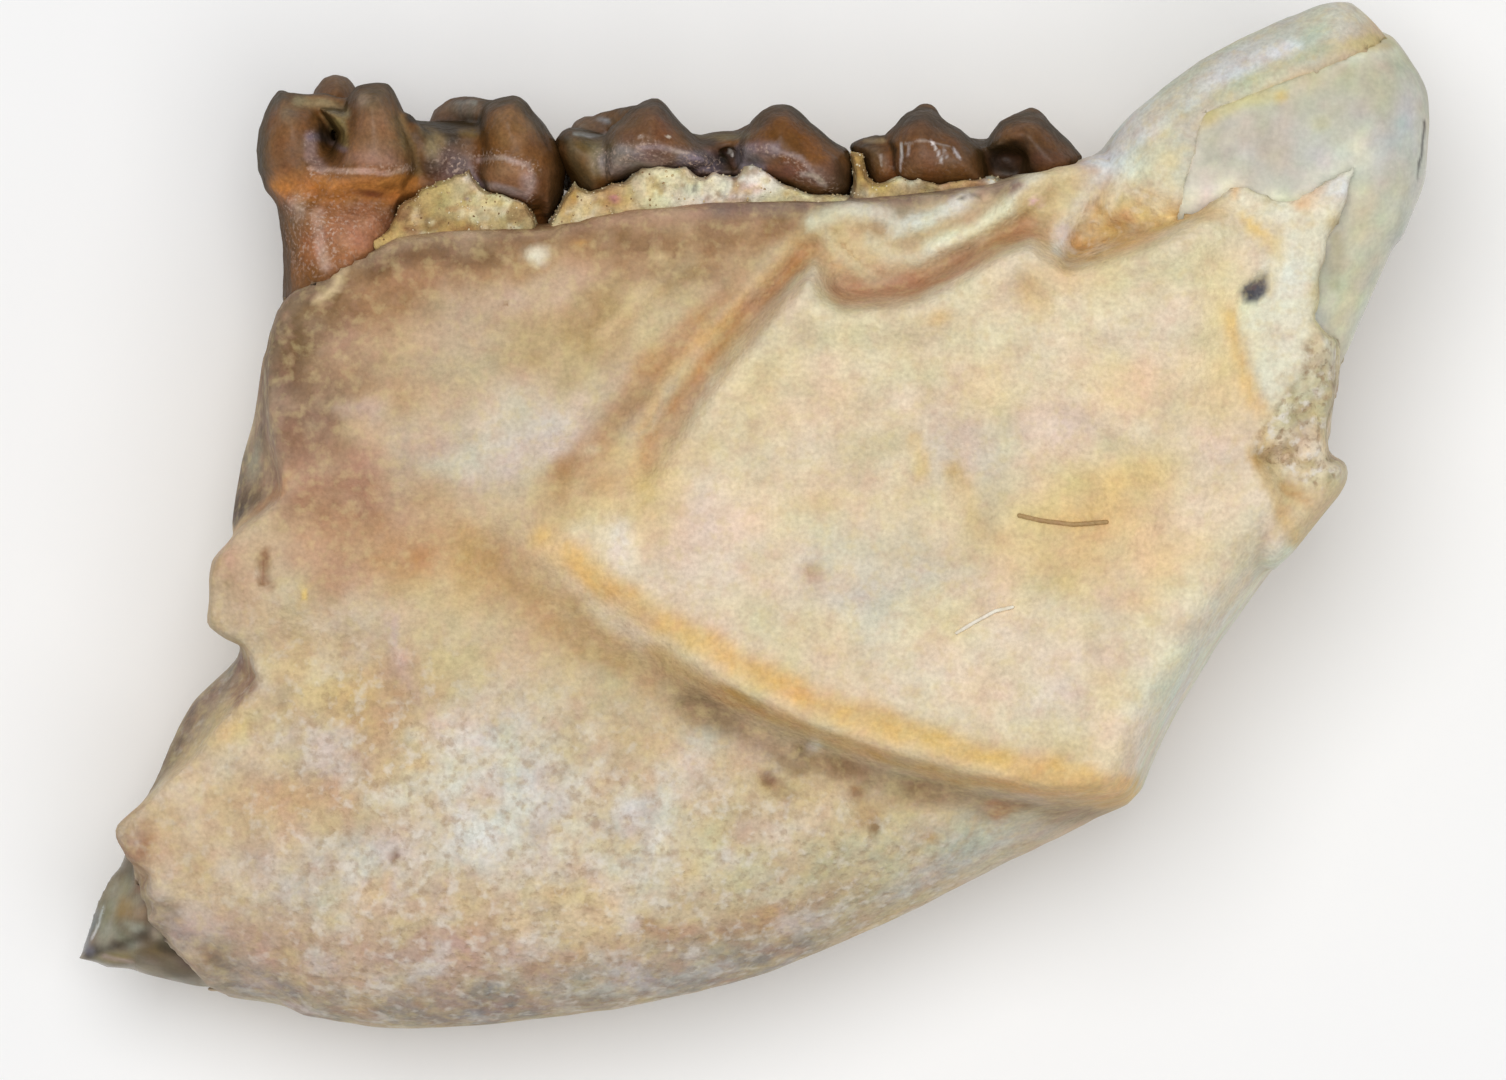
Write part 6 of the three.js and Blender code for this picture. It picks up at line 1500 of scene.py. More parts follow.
MOLAR_BASE = "734a24"
MOLAR_STAINS_AND_LIGHT = {
    "molar_first": [
        blot((-3.62, 2.81), (0.31, 0.43), "75512f", 0.8),
        # painted shade along the front rim
        streak([(-3.79, 3.06), (-3.84, 2.81), (-3.81, 2.52), (-3.68, 2.23)], 0.06, "5d4c30", 0.8),
        # painted shade along the cusp's upper rim
        streak([(-3.78, 3.1), (-3.64, 3.24), (-3.5, 3.2)], 0.05, "544632", 0.8),
        blot((-3.58, 3.08), (0.08, 0.09), "83725c", 0.7),
        blot((-2.92, 3.23), (0.17, 0.12), "5b4b35", 0.85),
        blot((-2.99, 3.2), (0.05, 0.05), "8f7f6c", 0.7),
        blot((-2.87, 3), (0.17, 0.2), "8a694a", 0.8),
        blot((-2.88, 2.77), (0.2, 0.12), "93715a", 0.7),
        streak([(-3.64, 2.52), (-3.19, 2.5), (-2.69, 2.53)], 0.11, "c27f40", 0.95),
        blot((-3.27, 2.61), (0.46, 0.07), "8c5f3a", 0.6),
        streak([(-3.41, 2.65), (-3.1, 2.63), (-2.79, 2.63), (-2.64, 2.67)], 0.02, "c4a28f", 0.75),
        streak([(-3.41, 2.9), (-3.41, 2.75), (-3.33, 2.66)], 0.05, "9c8078", 0.7),
        streak([(-3.1, 2.73), (-2.82, 2.73), (-2.72, 2.69)], 0.05, "9a7763", 0.5),
        streak([(-3.41, 2.9), (-3.3, 2.9), (-3.15, 2.81)], 0.03, "8f7b80", 0.7),
        blot((-3.28, 2.92), (0.08, 0.08), "33261f", 0.95),
        streak([(-3.5, 3.19), (-3.33, 3.17), (-3.15, 3.1)], 0.05, "9a8a66", 0.85),
        patch([(-3.33, 3.07), (-3.15, 3.06), (-3.12, 2.83), (-3.16, 2.84)], "8f7a4e", 0.95, 0.03),
        blot((-3.25, 3.32), (0.14, 0.09), "574a37", 0.8),
        streak([(-3.36, 3.32), (-3.27, 3.38), (-3.15, 3.33)], 0.02, "a09a90", 0.6),
        blot((-3.27, 2.46), (0.54, 0.04), "8c5930", 0.5),
        blot((-3.15, 2.12), (0.46, 0.26), "9e6840", 0.95),
        blot((-3.07, 2.21), (0.26, 0.15), "ad7860", 0.6),
        blot((-3.52, 2.37), (0.08, 0.11), "b79d8c", 0.7),
        streak([(-3.36, 2.33), (-3.33, 2.12), (-3.3, 1.92)], 0.05, "c09a8c", 0.7),
        streak([(-3.58, 2.31), (-3.56, 2.04), (-3.53, 1.77)], 0.07, "84582f", 0.8),
        blot((-2.95, 2.46), (0.11, 0.03), "7c4426", 0.7),
        blot((-2.35, 2.93), (0.28, 0.12), "35281a", 1.0),
        streak([(-2.64, 3.06), (-2.42, 3.03), (-2.12, 3.03)], 0.05, "30241a", 0.9),
        blot((-2.19, 2.95), (0.08, 0.05), "7d6a3c", 0.7),
        blot((-2.52, 2.97), (0.07, 0.05), "6d5c40", 0.7),
        blot((-2.45, 2.83), (0.08, 0.12), "9a875e", 0.8),
        blot((-2.31, 2.7), (0.17, 0.12), "6f6163", 0.85),
        blot((-2.28, 3.13), (0.17, 0.09), "757068", 0.9),
        streak([(-2.45, 3.1), (-2.33, 3.19), (-2.15, 3.17)], 0.02, "9fa09a", 0.6),
        blot((-1.84, 2.98), (0.17, 0.23), "8a663f", 0.85),
        # painted shade along the cusp's upper rim
        streak([(-2.04, 3.17), (-1.87, 3.21), (-1.75, 3.15), (-1.62, 2.97)], 0.05, "53432f", 0.8),
        blot((-1.87, 2.62), (0.22, 0.12), "8d664a", 0.85),
        streak([(-2.12, 2.73), (-1.92, 2.73), (-1.73, 2.67), (-1.68, 2.55), (-1.75, 2.43)], 0.02, "b39a92", 0.7),
        streak([(-2.18, 2.66), (-2.12, 2.55), (-1.95, 2.5), (-1.76, 2.44)], 0.03, "9a8a8a", 0.6),
        blot((-1.73, 2.53), (0.07, 0.09), "ab9492", 0.7),
        blot((-1.58, 2.5), (0.09, 0.23), "67442a", 0.9),
        streak([(-2.73, 3.04), (-2.64, 2.81), (-2.59, 2.64)], 0.05, "7e6a48", 0.6),
        blot((-2.48, 2.67), (0.08, 0.08), "4c3c32", 0.7),
    ],
    "molar_second": [
        blot((-1.27, 2.77), (0.18, 0.2), "5e4922", 0.9),
        streak([(-1.45, 2.89), (-1.38, 2.7), (-1.28, 2.54)], 0.05, "5a4a30", 0.8),
        streak([(-1.38, 2.94), (-1.25, 2.91), (-1.15, 2.93)], 0.02, "b9bab2", 0.8),
        blot((-1.23, 3.02), (0.17, 0.07), "6f695a", 0.9),
        streak([(-1.36, 3.01), (-1.25, 3.06), (-1.13, 3.04)], 0.02, "aeb4b4", 0.7),
        blot((-1.21, 2.72), (0.06, 0.11), "8a7a54", 0.6),
        blot((-0.82, 2.97), (0.22, 0.17), "6b4c33", 0.85),
        blot((-0.67, 3.01), (0.11, 0.14), "75482c", 0.85),
        # painted shade along the cusp's upper rim
        streak([(-1, 3.12), (-0.81, 3.18), (-0.64, 3.07), (-0.5, 2.93)], 0.05, "4e3c2b", 0.8),
        blot((-0.85, 2.92), (0.02, 0.01), "e0d5c8", 0.9),
        blot((-0.67, 2.91), (0.02, 0.01), "e6dccf", 0.9),
        blot((-1.01, 2.75), (0.2, 0.12), "857b6c", 0.85),
        blot((-0.7, 2.8), (0.23, 0.05), "7d6256", 0.7),
        blot((-0.73, 2.7), (0.28, 0.05), "988c7c", 0.7),
        blot((-0.41, 2.73), (0.2, 0.09), "6c6268", 0.85),
        streak([(-1.15, 2.72), (-1.01, 2.8), (-0.88, 2.75)], 0.05, "8f8680", 0.8),
        streak([(-0.88, 2.83), (-0.61, 2.8), (-0.47, 2.77)], 0.02, "a08e8a", 0.7),
        streak([(-0.56, 2.73), (-0.42, 2.75), (-0.32, 2.67)], 0.05, "7f7680", 0.8),
        blot((-1.05, 2.66), (0.12, 0.06), "a0968e", 0.7),
        blot((-0.77, 2.73), (0.18, 0.05), "7c5e56", 0.75),
        blot((-0.99, 2.9), (0.08, 0.05), "5c3c26", 0.7),
        # painted shade filling the pit
        blot((-0.22, 2.76), (0.12, 0.11), "0e0a0a", 1.0),
        streak([(-0.33, 2.67), (-0.24, 2.63), (-0.13, 2.61)], 0.05, "3a2f33", 0.8),
        blot((-0.42, 2.69), (0.11, 0.07), "6f6670", 0.8),
        blot((-0.36, 2.87), (0.11, 0.05), "3a2d20", 0.8),
        streak([(-0.42, 2.93), (-0.25, 2.91), (-0.08, 2.93)], 0.03, "8c7c58", 0.85),
        blot((0.27, 2.93), (0.31, 0.2), "663f14", 0.95),
        # painted shade along the cusp's upper rim
        streak([(0.02, 3.03), (0.23, 3.13), (0.44, 3.04), (0.64, 2.87)], 0.05, "4d3a28", 0.8),
        blot((-0.02, 2.75), (0.14, 0.08), "7d757a", 0.8),
        streak([(-0.1, 2.8), (0.01, 2.83), (0.15, 2.8)], 0.05, "8e8088", 0.75),
        blot((0.5, 2.6), (0.18, 0.09), "6a5048", 0.7),
        streak([(0.13, 2.81), (0.36, 2.73), (0.5, 2.55)], 0.02, "9d8a86", 0.65),
        # painted glint in the pit
        streak([(-0.19, 2.82), (-0.18, 2.77)], 0.01, "f0eeee", 0.9),
        streak([(-0.13, 2.8), (-0.1, 2.69), (0.04, 2.67)], 0.04, "8f8690", 0.8),
        blot((0.23, 2.66), (0.18, 0.08), "7b5040", 0.8),
        streak([(0.36, 2.62), (0.47, 2.6), (0.55, 2.53)], 0.02, "a8968c", 0.7),
        blot((0.64, 2.62), (0.09, 0.14), "4f3826", 0.85),
    ],
    "molar_third": [
        blot((0.88, 2.8), (0.15, 0.14), "5f482f", 0.85),
        # painted shade along the front rim
        streak([(0.75, 2.83), (0.85, 2.89), (0.99, 2.91)], 0.04, "453421", 0.8),
        blot((1.31, 2.95), (0.18, 0.15), "5f412a", 0.85),
        # painted shade along the cusp's upper rim
        streak([(1.12, 3.03), (1.31, 3.1), (1.48, 3), (1.64, 2.9)], 0.05, "463525", 0.85),
        blot((1.31, 2.73), (0.34, 0.09), "70503a", 0.8),
        streak([(0.85, 2.9), (0.99, 2.89)], 0.02, "a58e68", 0.6),
        # thin painted shadow line on the enamel
        streak([(1.04, 2.87), (1.08, 2.81), (1.06, 2.66)], 0.02, "3c2a1e", 0.8),
        # painted glints: thin pale streaks down and across the enamel
        streak([(1.12, 2.86), (1.14, 2.75), (1.12, 2.63)], 0.01, "cfc6c2", 0.85),
        streak([(1.18, 2.84), (1.18, 2.75)], 0.01, "b5a8a4", 0.8),
        streak([(1.15, 2.86), (1.28, 2.87), (1.5, 2.83)], 0.01, "b9ada4", 0.45),
        streak([(1.36, 2.86), (1.4, 2.8), (1.45, 2.7)], 0.01, "d8d2ce", 0.85),
        streak([(1.47, 2.8), (1.48, 2.73)], 0.01, "bfb4ae", 0.8),
        streak([(1.54, 2.81), (1.58, 2.72)], 0.01, "cfc6c2", 0.8),
        streak([(0.95, 2.78), (0.96, 2.69)], 0.01, "a89a90", 0.7),
        blot((1.75, 2.83), (0.18, 0.11), "60482f", 0.8),
        blot((1.92, 2.72), (0.22, 0.17), "2b2016", 0.95),
        blot((2.01, 2.84), (0.12, 0.06), "33231a", 0.9),
        blot((2.24, 2.93), (0.22, 0.14), "5e3f24", 0.9),
        blot((2.12, 2.75), (0.23, 0.11), "46301f", 0.8),
        # painted shade along the cusp's upper rim
        streak([(1.92, 3.01), (2.13, 3.08), (2.32, 2.98), (2.48, 2.81)], 0.05, "47351f", 0.8),
        blot((2.27, 2.73), (0.23, 0.06), "5a3c2a", 0.7),
    ],
}
ENAMEL_CRUST = {
    # chalky crust on the enamel: where it is and how thick
    "molar_first": [
        streak([(-3.41, 2.63), (-2.64, 2.66)], 0.04, "", 0.8),
        streak([(-3.41, 2.9), (-3.39, 2.7)], 0.06, "", 0.7),
        streak([(-2.13, 2.75), (-1.92, 2.75), (-1.69, 2.66), (-1.75, 2.43)], 0.05, "", 0.9),
        blot((-2.31, 2.7), (0.18, 0.15), "", 0.8),
        blot((-3.33, 2.18), (0.26, 0.35), "", 1.0),
        blot((-3.52, 2.37), (0.12, 0.12), "", 0.9),
        blot((-3, 2.26), (0.31, 0.15), "", 0.5),
    ],
    "molar_second": [
        streak([(-1.15, 2.72), (-0.88, 2.81), (-0.35, 2.7)], 0.09, "", 0.9),
        streak([(-0.13, 2.81), (0.08, 2.81), (0.36, 2.69), (0.5, 2.53)], 0.04, "", 0.7),
        streak([(0.35, 2.62), (0.58, 2.52)], 0.06, "", 0.8),
    ],
    "molar_third": [
        streak([(0.88, 2.67), (1.58, 2.66)], 0.06, "", 0.2),
    ],
}

# ---------------------------------------------------------------- colours of the pieces


def relief_of(points, quads, passes):
    """How far each vertex stands above its surroundings, in millimetres (negative in hollows)."""
    calm = smooth(points, quads, passes)
    return np.einsum("ij,ij->i", points - calm, normals_of(points, quads))


def even_colour(code, place, size, share, seed):
    """One colour all over, lighter and darker in soft clouds."""
    clouds = 1 + share * layered(place, size, 4, seed)
    return tone(code)[None, :] * clouds[:, None]


def tinge(colours, place, size, share, seed):
    """Drifts between warmer and cooler, and between lighter and darker, in layered clouds."""
    warm = layered(place, size, 4, seed)
    pink = layered(place, size * 0.6, 3, seed + 1)
    light = layered(place, size * 0.5, 4, seed + 2)
    shift = np.stack([0.3 * warm + 0.4 * pink, -0.4 * pink, -1.1 * warm + 0.1 * pink], 1)
    return colours * (1 + share * (shift + 0.8 * light[:, None]))


def dabs(colours, place, where, code, size, strength, seed):
    """Ragged dabs of another colour over part of a piece."""
    share = strength * ease(layered(place, size, 3, seed), 0.1, 0.7) * where
    return colours + share[:, None] * (tone(code) - colours)


def shade_hollows_lighten_ridges(colours, relief, hollow_shade, edge, reach=0.02):
    """Darkens hollows with painted shade and lightens what stands proud."""
    hollow = np.clip(-relief / reach, 0, 1)[:, None]
    proud = np.clip(relief / reach, 0, 1)[:, None]
    colours = colours * (1 - hollow_shade * hollow * np.array([0.7, 0.9, 1.0]))
    return colours + edge * proud * (np.array([0.85, 0.78, 0.66]) - colours)


# Dabs of colour: screen colour, size, strength and seed.
LOWER_BODY_DABS = [
    ("bb9684", 0.2, 0.38, 66),
    ("e3e0d8", 0.24, 0.36, 67),
    ("d2b87e", 0.17, 0.34, 69),
    ("a0948a", 0.12, 0.25, 70),
]
GRAINY_DABS = [
    ("f0e8d0", 0.12, 0.6, 71),
    ("8b7f58", 0.1, 0.55, 72),
    ("d9ae6a", 0.13, 0.25, 73),
]
ROCK_DABS = [
    ("e0d6b4", 0.13, 0.7, 82),
    ("8f6c45", 0.11, 0.6, 83),
    ("c2a76c", 0.08, 0.5, 84),
]


def bone_colours(points, quads):
    place = tuple(points.T)
    z = points[:, 2]
    cheek_side = ease(z + 0.3 * layered(place, 0.5, 3, 60), 0.8, 1.8)
    colours = even_colour(BONE_BASE, place, 1.1, 0.12, 61)
    colours = paint(colours, place, INNER_STAINS, 1 - cheek_side, 0.12, seed=62)
    colours = paint(colours, place, BONE_STAINS_AND_SHADE, cheek_side, 0.07, seed=63)
    colours = paint(colours, place, PLATE_STAINS_AND_LIGHT, cheek_side, 0.04, seed=64)
    # the deeper broken front: stained marks and painted shade
    deep = cheek_side * (1 - ease(z, 1.85, 2.2))
    colours = paint(colours, place, DEEP_FRONT_STAINS_AND_SHADE, deep, 0.03, seed=65)
    porous = np.minimum(bone_speckle(points), 1)
    for code, size, strength, seed in LOWER_BODY_DABS:
        colours = dabs(colours, place, porous, code, size, strength, seed)
    grainy = cheek_side * ease(area_depth(SEDIMENT, *points.T[:2]), -0.08, 0.02)
    grainy = np.maximum(grainy, 0.6 * ease(-path_distance(RUSTY_HOLLOW, *points.T[:2]), -0.26, -0.12))
    for code, size, strength, seed in GRAINY_DABS:
        colours = dabs(colours, place, grainy, code, size, strength, seed)
    colours = tinge(colours, place, 0.45, 0.09, 68)
    # painted shade in the bone's hollows, and lighter ridges
    return shade_hollows_lighten_ridges(colours, relief_of(points, quads, 10), 0.3, 0.1)


def bone_speckle(points):
    """Where the bone is porous and speckled: its lower body, fading out below the plate."""
    x, y, _ = points.T
    below_plate = ease(path_distance([PLATE_FRONT] + PLATE_CREST, x, y), 0.05, 0.5)
    low = (1 - ease(y + 0.3 * x, -2.6, -1.2)) * (0.45 + 0.55 * ease(x, -4.4, -3.0))
    grainy = 1.7 * ease(area_depth(SEDIMENT, x, y), -0.04, 0.04)
    rusty = 0.7 * ease(-path_distance(RUSTY_HOLLOW, x, y), -0.24, -0.1)
    return np.maximum.reduce([low * below_plate, grainy, rusty, 0.05 + 0 * x])


def tooth_colours(points, quads, base, colour_marks, outer, seed):
    place = tuple(points.T)
    colours = even_colour(base, place, 0.5, 0.16, seed)
    cheek_side = ease(points[:, 2], *outer)
    colours = paint(colours, place, colour_marks, cheek_side, 0.02, seed=seed + 1)
    colours = tinge(colours, place, 0.25, 0.1, seed + 2)
    # painted shade in the tooth's hollows, and lighter ridges
    return shade_hollows_lighten_ridges(colours, relief_of(points, quads, 6), 0.4, 0.05, 0.012)


def molar_colours(points, quads, name, seed):
    """Brown enamel above, pinkish-brown root below, the inner cusps greyer, and painted shade on the steep sides
    of the cheek-side cusps.
    """
    inner_cusps = tone("66594a")
    colours = tooth_colours(points, quads, MOLAR_BASE, MOLAR_STAINS_AND_LIGHT[name], (1.5, 1.8), seed)
    inner = (1 - ease(points[:, 2], 1.35, 1.7))[:, None]
    colours = colours + 0.7 * inner * (inner_cusps - colours)
    # painted shade: steep faces, turned away from the light, darkened towards dark brown
    steep_side_shade = (1 - ease(normals_of(points, quads)[:, 2], 0.1, 0.7))[:, None]
    return colours + 0.75 * steep_side_shade * (1 - inner) * (tone("352912") - colours)


def molar_crust(points, name):
    x, y, z = points.T
    covers = [strength * cover(x, y) for cover, _, strength in ENAMEL_CRUST[name]]
    patchy = 0.8 + 0.6 * layered(tuple(points.T), 0.1, 2, 77)
    return np.clip(np.maximum.reduce(covers) * patchy * ease(z, 1.6, 1.9), 0, 1)


def rock_colours(points, name):
    place = tuple(points.T)
    colours = even_colour(ROCKS[name]["colour"], place, 0.3, 0.2, 81)
    colours = paint(colours, place, ROCK_STAINS_AND_SHADE[name], 1.0, 0.04, seed=85)
    for code, size, strength, seed in ROCK_DABS:
        colours = dabs(colours, place, 1.0, code, size, strength, seed)
    return tinge(colours, place, 0.2, 0.12, 86)


# ---------------------------------------------------------------- finishes


class Finish:
    """A material put together from shader nodes by short calls. Sizes are in millimetres."""

    def __init__(self, name, **sockets):
        self.material = bpy.data.materials.new(name)
        self.material.use_nodes = True
        self.tree = self.material.node_tree
        self.shader = self.tree.nodes["Principled BSDF"]
        self.place = self.add("ShaderNodeTexCoord").outputs["Object"]
        for socket, value in sockets.items():
            self.shader.inputs[socket.replace("_", " ")].default_value = value

    def add(self, kind, **settings):
        node = self.tree.nodes.new(kind)
        for key, value in settings.items():
            setattr(node, key, value)
        return node

    def fill(self, socket, value):
        """Links a value into a socket, or sets the socket to it."""
        if isinstance(value, bpy.types.NodeSocket):
            self.tree.links.new(value, socket)
        else:
            socket.default_value = value

    def painted(self, layer, output="Color"):
        return self.add("ShaderNodeAttribute", attribute_name=layer).outputs[output]

    def clouds(self, size, detail=3.0):
        """Noise from 0 to 1 with patches of the given size."""
        node = self.add("ShaderNodeTexNoise")
        self.fill(node.inputs["Vector"], self.place)
        node.inputs["Scale"].default_value = 1 / (size * MM)
        node.inputs["Detail"].default_value = detail
        return node.outputs["Fac"]

    def between(self, value, low, high, start=0.25, end=0.75):
        """Maps a value's span from start to end on to low to high."""
        node = self.add("ShaderNodeMapRange")
        for socket, amount in zip(node.inputs, (value, start, end, low, high)):
            self.fill(socket, amount)
        return node.outputs["Result"]

    def times(self, a, b):
        node = self.add("ShaderNodeMath", operation="MULTIPLY")
        self.fill(node.inputs[0], a)
        self.fill(node.inputs[1], b)
        return node.outputs[0]

    def mix(self, share, a, b, how="MIX"):
        node = self.add("ShaderNodeMix", data_type="RGBA", blend_type=how)
        for number, value in ((0, share), (6, a), (7, b)):
            self.fill(node.inputs[number], value)
        return node.outputs[2]

    def shade(self, colour, size, share, detail=3.0):
        """Lightens and darkens a colour in clouds of the given size."""
        grey = self.between(self.clouds(size, detail), 1 - share, 1 + share)
        return self.mix(1.0, colour, grey, "MULTIPLY")

    def bump(self, *heights):
        """Small relief: pairs of a 0 to 1 height and how far it rises in millimetres."""
        normal = None
        for height, rise in heights:
            node = self.add("ShaderNodeBump")
            node.inputs["Distance"].default_value = rise * MM
            self.fill(node.inputs["Height"], height)
            if normal is not None:
                self.fill(node.inputs["Normal"], normal)
            normal = node.outputs["Normal"]
        self.fill(self.shader.inputs["Normal"], normal)

    def colour(self, value):
        self.fill(self.shader.inputs["Base Color"], value)

    def roughness(self, value):
        self.fill(self.shader.inputs["Roughness"], value)


def colour_of(code):
    return (*tone(code), 1.0)


def bone_finish():
    """Dry fossil bone: stained, softly mottled, porous and speckled along its lower body."""
    finish = Finish("fossil_bone", Specular_IOR_Level=0.22)
    colour = finish.shade(finish.painted("stain_and_light"), 0.16, 0.07, 6.0)
    colour = finish.shade(colour, 0.035, 0.15, 5.0)
    pink = finish.between(finish.clouds(0.11, 5.0), 0.0, 0.2, 0.48, 0.7)
    colour = finish.mix(pink, colour, colour_of("c2917a"))
    yellow = finish.between(finish.clouds(0.09, 5.0), 0.3, 0.0, 0.3, 0.5)
    colour = finish.mix(yellow, colour, colour_of("dcc890"))
    porous = finish.painted("speckle", "Fac")
    pits = finish.between(finish.clouds(0.075, 3.0), 0.0, 1.0, 0.52, 0.7)
    pits = finish.times(pits, porous)
    colour = finish.mix(finish.times(pits, 0.45), colour, colour_of("9a7c5e"))
    chalk = finish.between(finish.clouds(0.1, 3.0), 0.0, 1.0, 0.54, 0.7)
    chalk = finish.times(chalk, porous)
    finish.colour(finish.mix(finish.times(chalk, 0.45), colour, colour_of("e6dfd4")))
    finish.roughness(finish.between(finish.clouds(0.2), 0.48, 0.7))
    finish.bump(
        (finish.clouds(0.2, 5.0), 0.02), (finish.clouds(0.05, 3.0), 0.007), (pits, -0.005)
    )
    return finish.material


def enamel_finish():
    """Dark glossy molar enamel, dull where it is crusted and on the roots."""
    finish = Finish("molar_enamel")
    shine = finish.painted("shine", "Fac")
    finish.fill(finish.shader.inputs["Specular IOR Level"], finish.between(shine, 0.02, 0.2, 0.0, 1.0))
    colour = finish.shade(finish.painted("stain_and_light"), 0.16, 0.16, 5.0)
    colour = finish.shade(colour, 0.03, 0.26, 5.0)
    crust = finish.painted("crust", "Fac")
    flecks = finish.times(finish.between(finish.clouds(0.028, 6.0), 0.0, 0.75, 0.52, 0.66), crust)
    finish.colour(finish.mix(flecks, colour, colour_of("cdb3a2")))
    smooth_enamel = finish.between(finish.clouds(0.2), 0.36, 0.52)
    finish.roughness(finish.between(crust, smooth_enamel, 0.7, 0.0, 1.0))
    grain = finish.times(finish.clouds(0.035, 3.0), crust)
    finish.bump((finish.clouds(0.1, 5.0), 0.014), (grain, 0.02))
    return finish.material


def incisor_finish():
    """Pale dentine with a smooth enamel band, and a glassy broken tip."""
    finish = Finish("incisor_enamel", Specular_IOR_Level=0.35)
    colour = finish.shade(finish.painted("stain_and_light"), 0.25, 0.08, 5.0)
    finish.colour(finish.shade(colour, 0.04, 0.1, 4.0))
    gloss = finish.painted("gloss", "Fac")
    finish.roughness(finish.between(gloss, 0.6, 0.26, 0.0, 1.0))
    finish.bump((finish.clouds(0.2, 4.0), 0.006), (finish.clouds(0.04, 2.0), 0.0025))
    return finish.material


def rock_finish():
    """Crumbly cemented sand."""
    finish = Finish("cemented_sand", Specular_IOR_Level=0.3)
    colour = finish.shade(finish.painted("stain_and_light"), 0.09, 0.2, 4.0)
    finish.colour(finish.shade(colour, 0.025, 0.18))
    finish.roughness(finish.between(finish.clouds(0.1), 0.78, 0.95))
    finish.bump((finish.clouds(0.06, 3.0), 0.02), (finish.clouds(0.022, 2.0), 0.008))
    return finish.material


def grain_finish():
    """Single grains of sand, from clear cream to brown."""
    finish = Finish("sand_grains", Specular_IOR_Level=0.6)
    pick = finish.clouds(0.06, 0.0)
    brown_share = finish.between(pick, 0.0, 1.0, 0.52, 0.66)
    cream_share = finish.between(pick, 1.0, 0.0, 0.3, 0.46)
    colour = finish.mix(brown_share, colour_of("c3ab7c"), colour_of("7f5b37"))
    colour = finish.mix(cream_share, colour, colour_of("e6dcc0"))
    finish.colour(finish.shade(colour, 0.02, 0.12))
    finish.roughness(finish.between(finish.clouds(0.03), 0.35, 0.7))
    return finish.material

# ---------------------------------------------------------------- the pieces

FIBRE_STEP = 0.012
FIBRES = [
    # loose fibres stuck to the plate: path, radius, colour
    ([(2.02, 0), (2.19, -0.04), (2.44, -0.07), (2.69, -0.05)], 0.018, "a98a5e"),
    ([(1.54, -0.9), (1.69, -0.81), (1.84, -0.73), (1.97, -0.7)], 0.016, "e9e2d2"),
]


def fibre_shape(path, radius):
    """A thin fibre that lies on the cheek side of the bone."""
    line = np.array(path)
    heights = cheek_height(line[:, 0], line[:, 1]) + 0.6 * radius
    spots = [(x, y, float(z)) for (x, y), z in zip(path, heights)]
    room = 3 * radius
    grid = Grid(np.min(spots, 0) - room, np.max(spots, 0) + room, FIBRE_STEP)
    threads = [
        column_field(grid.x, grid.y, grid.z, a, radius, b, radius) for a, b in zip(spots, spots[1:])
    ]
    return skin(np.minimum.reduce(threads), grid)


def dress(piece, node, slot, *finishes):
    """Gives a piece its finishes and lets it stand for its solid."""
    for finish in finishes:
        piece.data.materials.append(finish)
    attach(piece, "root")
    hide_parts(node)


def make_bone():
    points, quads = bone_shape()
    colours = bone_colours(points, quads)
    speckle = bone_speckle(points)
    for path, radius, code in FIBRES:
        more_points, more_quads = fibre_shape(path, radius)
        quads = np.concatenate([quads, more_quads + len(points)])
        points = np.concatenate([points, more_points])
        colours = np.concatenate([colours, np.tile(tone(code), (len(more_points), 1))])
        speckle = np.concatenate([speckle, np.zeros(len(more_points))])
    layers = {"stain_and_light": colours, "speckle": speckle}
    dress(make_object("bone", points, quads, layers), "jaw_bone", "bone", bone_finish())


def make_incisor():
    points, quads = incisor_shape()
    x, y, _ = points.T
    tip = ease(-x, 4.5, 4.8)
    band = ease(x, 4.35, 4.6) * (1 - ease(y, 2.6, 3.0))
    layers = {
        "stain_and_light": tooth_colours(points, quads, INCISOR_BASE, INCISOR_STAINS_AND_LIGHT, (0.8, 1.1), 91),
        "gloss": np.maximum(tip, band),
    }
    piece = make_object("front_tooth", points, quads, layers)
    dress(piece, "incisor", "incisor", incisor_finish())


def make_molars():
    enamel = enamel_finish()
    for number, name in enumerate(MOLARS):
        points, quads = molar_shape(name)
        layers = {
            "stain_and_light": molar_colours(points, quads, name, 101 + 7 * number),
            "crust": molar_crust(points, name),
            "shine": ease(normals_of(points, quads)[:, 2], 0.1, 0.7),
        }
        piece = make_object(name.replace("molar", "cheek_tooth"), points, quads, layers)
        dress(piece, name, "molar", enamel)


def make_rock():
    tree, sockets = grain_nodes()
    rock, sand = rock_finish(), grain_finish()
    for name in ROCKS:
        points, quads = rock_shape(name)
        layers = {"stain_and_light": rock_colours(points, name)}
        piece = make_object(name.replace("matrix", "rock"), points, quads, layers)
        piece.data.materials.append(rock)
        add_grains(piece, tree, sockets, ROCKS[name]["grains"], sand)
        dress(piece, name, "matrix")


# ---------------------------------------------------------------- stage, lights and camera

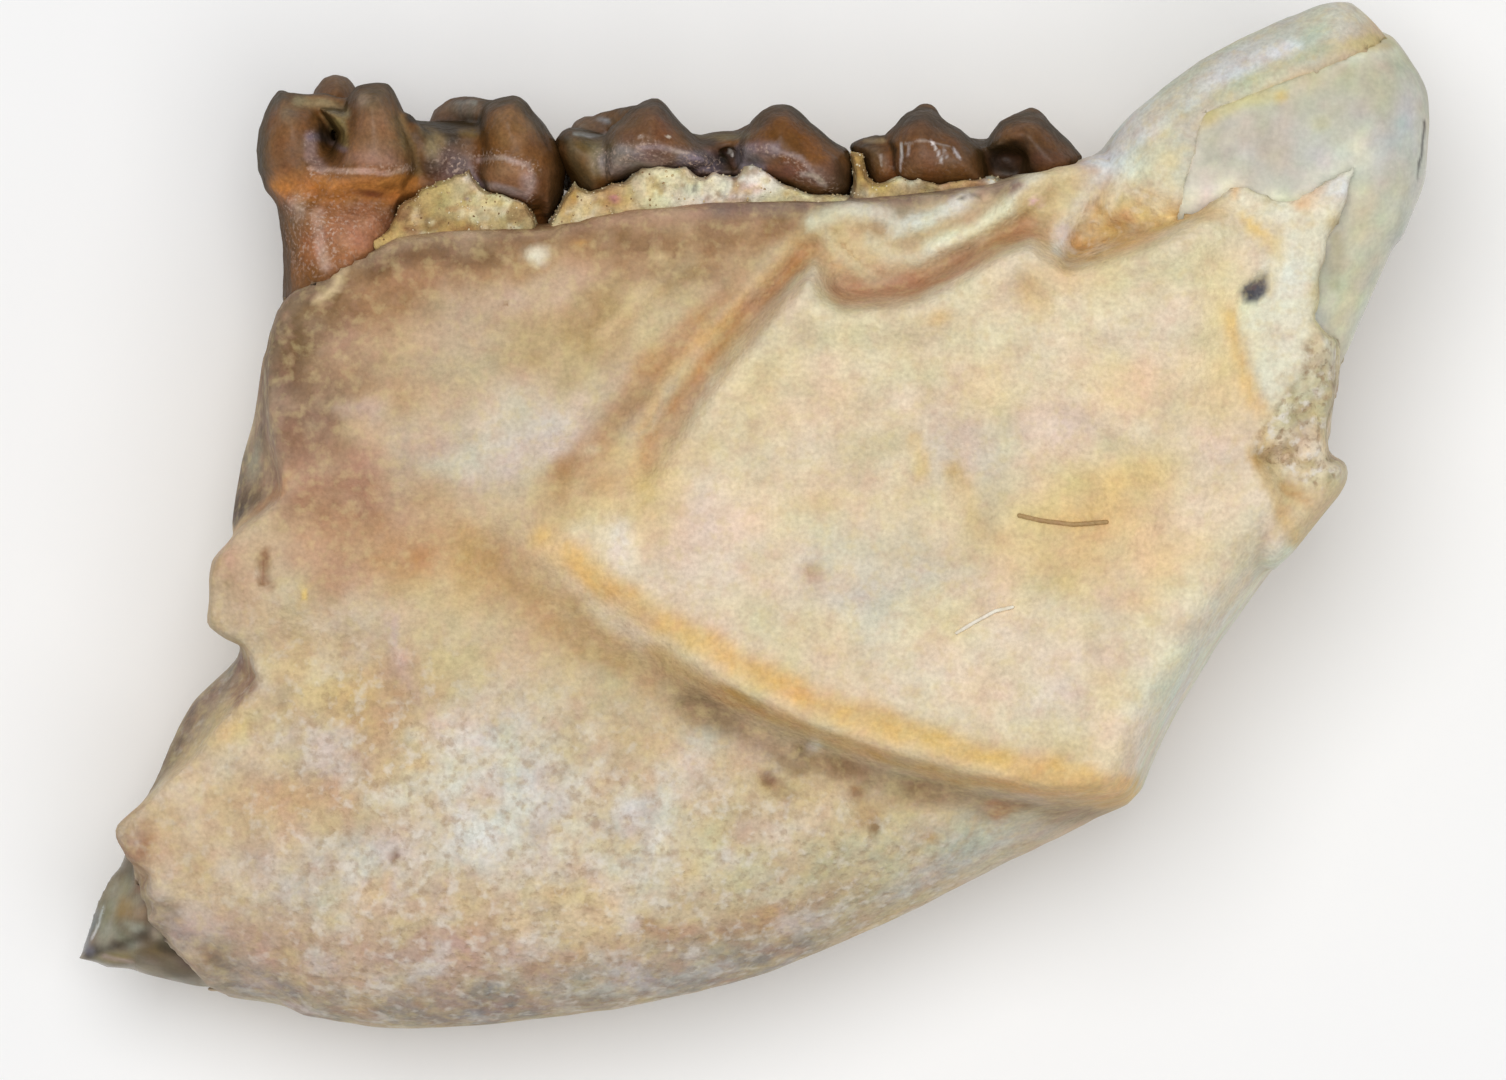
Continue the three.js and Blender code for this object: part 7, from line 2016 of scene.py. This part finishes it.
FRAME_SIZE = (11.585, 8.308)  # width and height of the view
FRAME_MIDDLE = (-0.015, -0.188)
CAMERA_HEIGHT = 200.0
SHARP_HEIGHT = 1.8
SENSOR = 36.0
FLOOR_SIZE = 900.0
SOFT_LIGHTS = [
    # place, size across, watts
    ((-30, 60, 260), 180, 0.36),
    ((60, -50, 250), 180, 0.17),
]
SKY_STRENGTH = 0.36


def make_floor():
    half = FLOOR_SIZE / 2
    corners = np.array([(-half, -half, 0), (half, -half, 0), (half, half, 0), (-half, half, 0)])
    floor = make_object("floor", corners.astype(float), np.array([[0, 1, 2, 3]]), {})
    card = Finish("white_card", Specular_IOR_Level=0.2)
    card.colour(card.shade(colour_of("f6f6f6"), 40.0, 0.01))
    card.roughness(card.between(card.clouds(2.0), 0.85, 0.95))
    floor.data.materials.append(card.material)


def aim(item, place, target):
    """Puts a light or camera at a place and turns it to face a target."""
    item.location = [n * MM for n in place]
    away = mathutils.Vector([a - b for a, b in zip(target, place)])
    item.rotation_euler = away.to_track_quat("-Z", "Y").to_euler()


def make_lights():
    for place, size, watts in SOFT_LIGHTS:
        lamp = bpy.data.lights.new("softbox", "AREA")
        lamp.shape = "DISK"
        lamp.size = size * MM
        lamp.energy = watts
        light = bpy.data.objects.new("softbox", lamp)
        bpy.context.collection.objects.link(light)
        aim(light, place, (0, 0, 0))
    world = bpy.data.worlds.new("studio")
    world.use_nodes = True
    world.node_tree.nodes["Background"].inputs["Color"].default_value = (1, 1, 1, 1)
    world.node_tree.nodes["Background"].inputs["Strength"].default_value = SKY_STRENGTH
    bpy.context.scene.world = world


def make_camera():
    lens = bpy.data.cameras.new("camera")
    lens.sensor_width = SENSOR
    lens.lens = SENSOR * (CAMERA_HEIGHT - SHARP_HEIGHT) / FRAME_SIZE[0]
    lens.clip_start, lens.clip_end = 0.01, 3.0
    camera = bpy.data.objects.new("camera", lens)
    camera.location = [n * MM for n in (*FRAME_MIDDLE, CAMERA_HEIGHT)]
    bpy.context.collection.objects.link(camera)
    bpy.context.scene.camera = camera


bpy.context.scene.view_settings.view_transform = "Standard"
make_floor()
make_lights()
make_camera()
make_bone()
make_incisor()
make_molars()
make_rock()
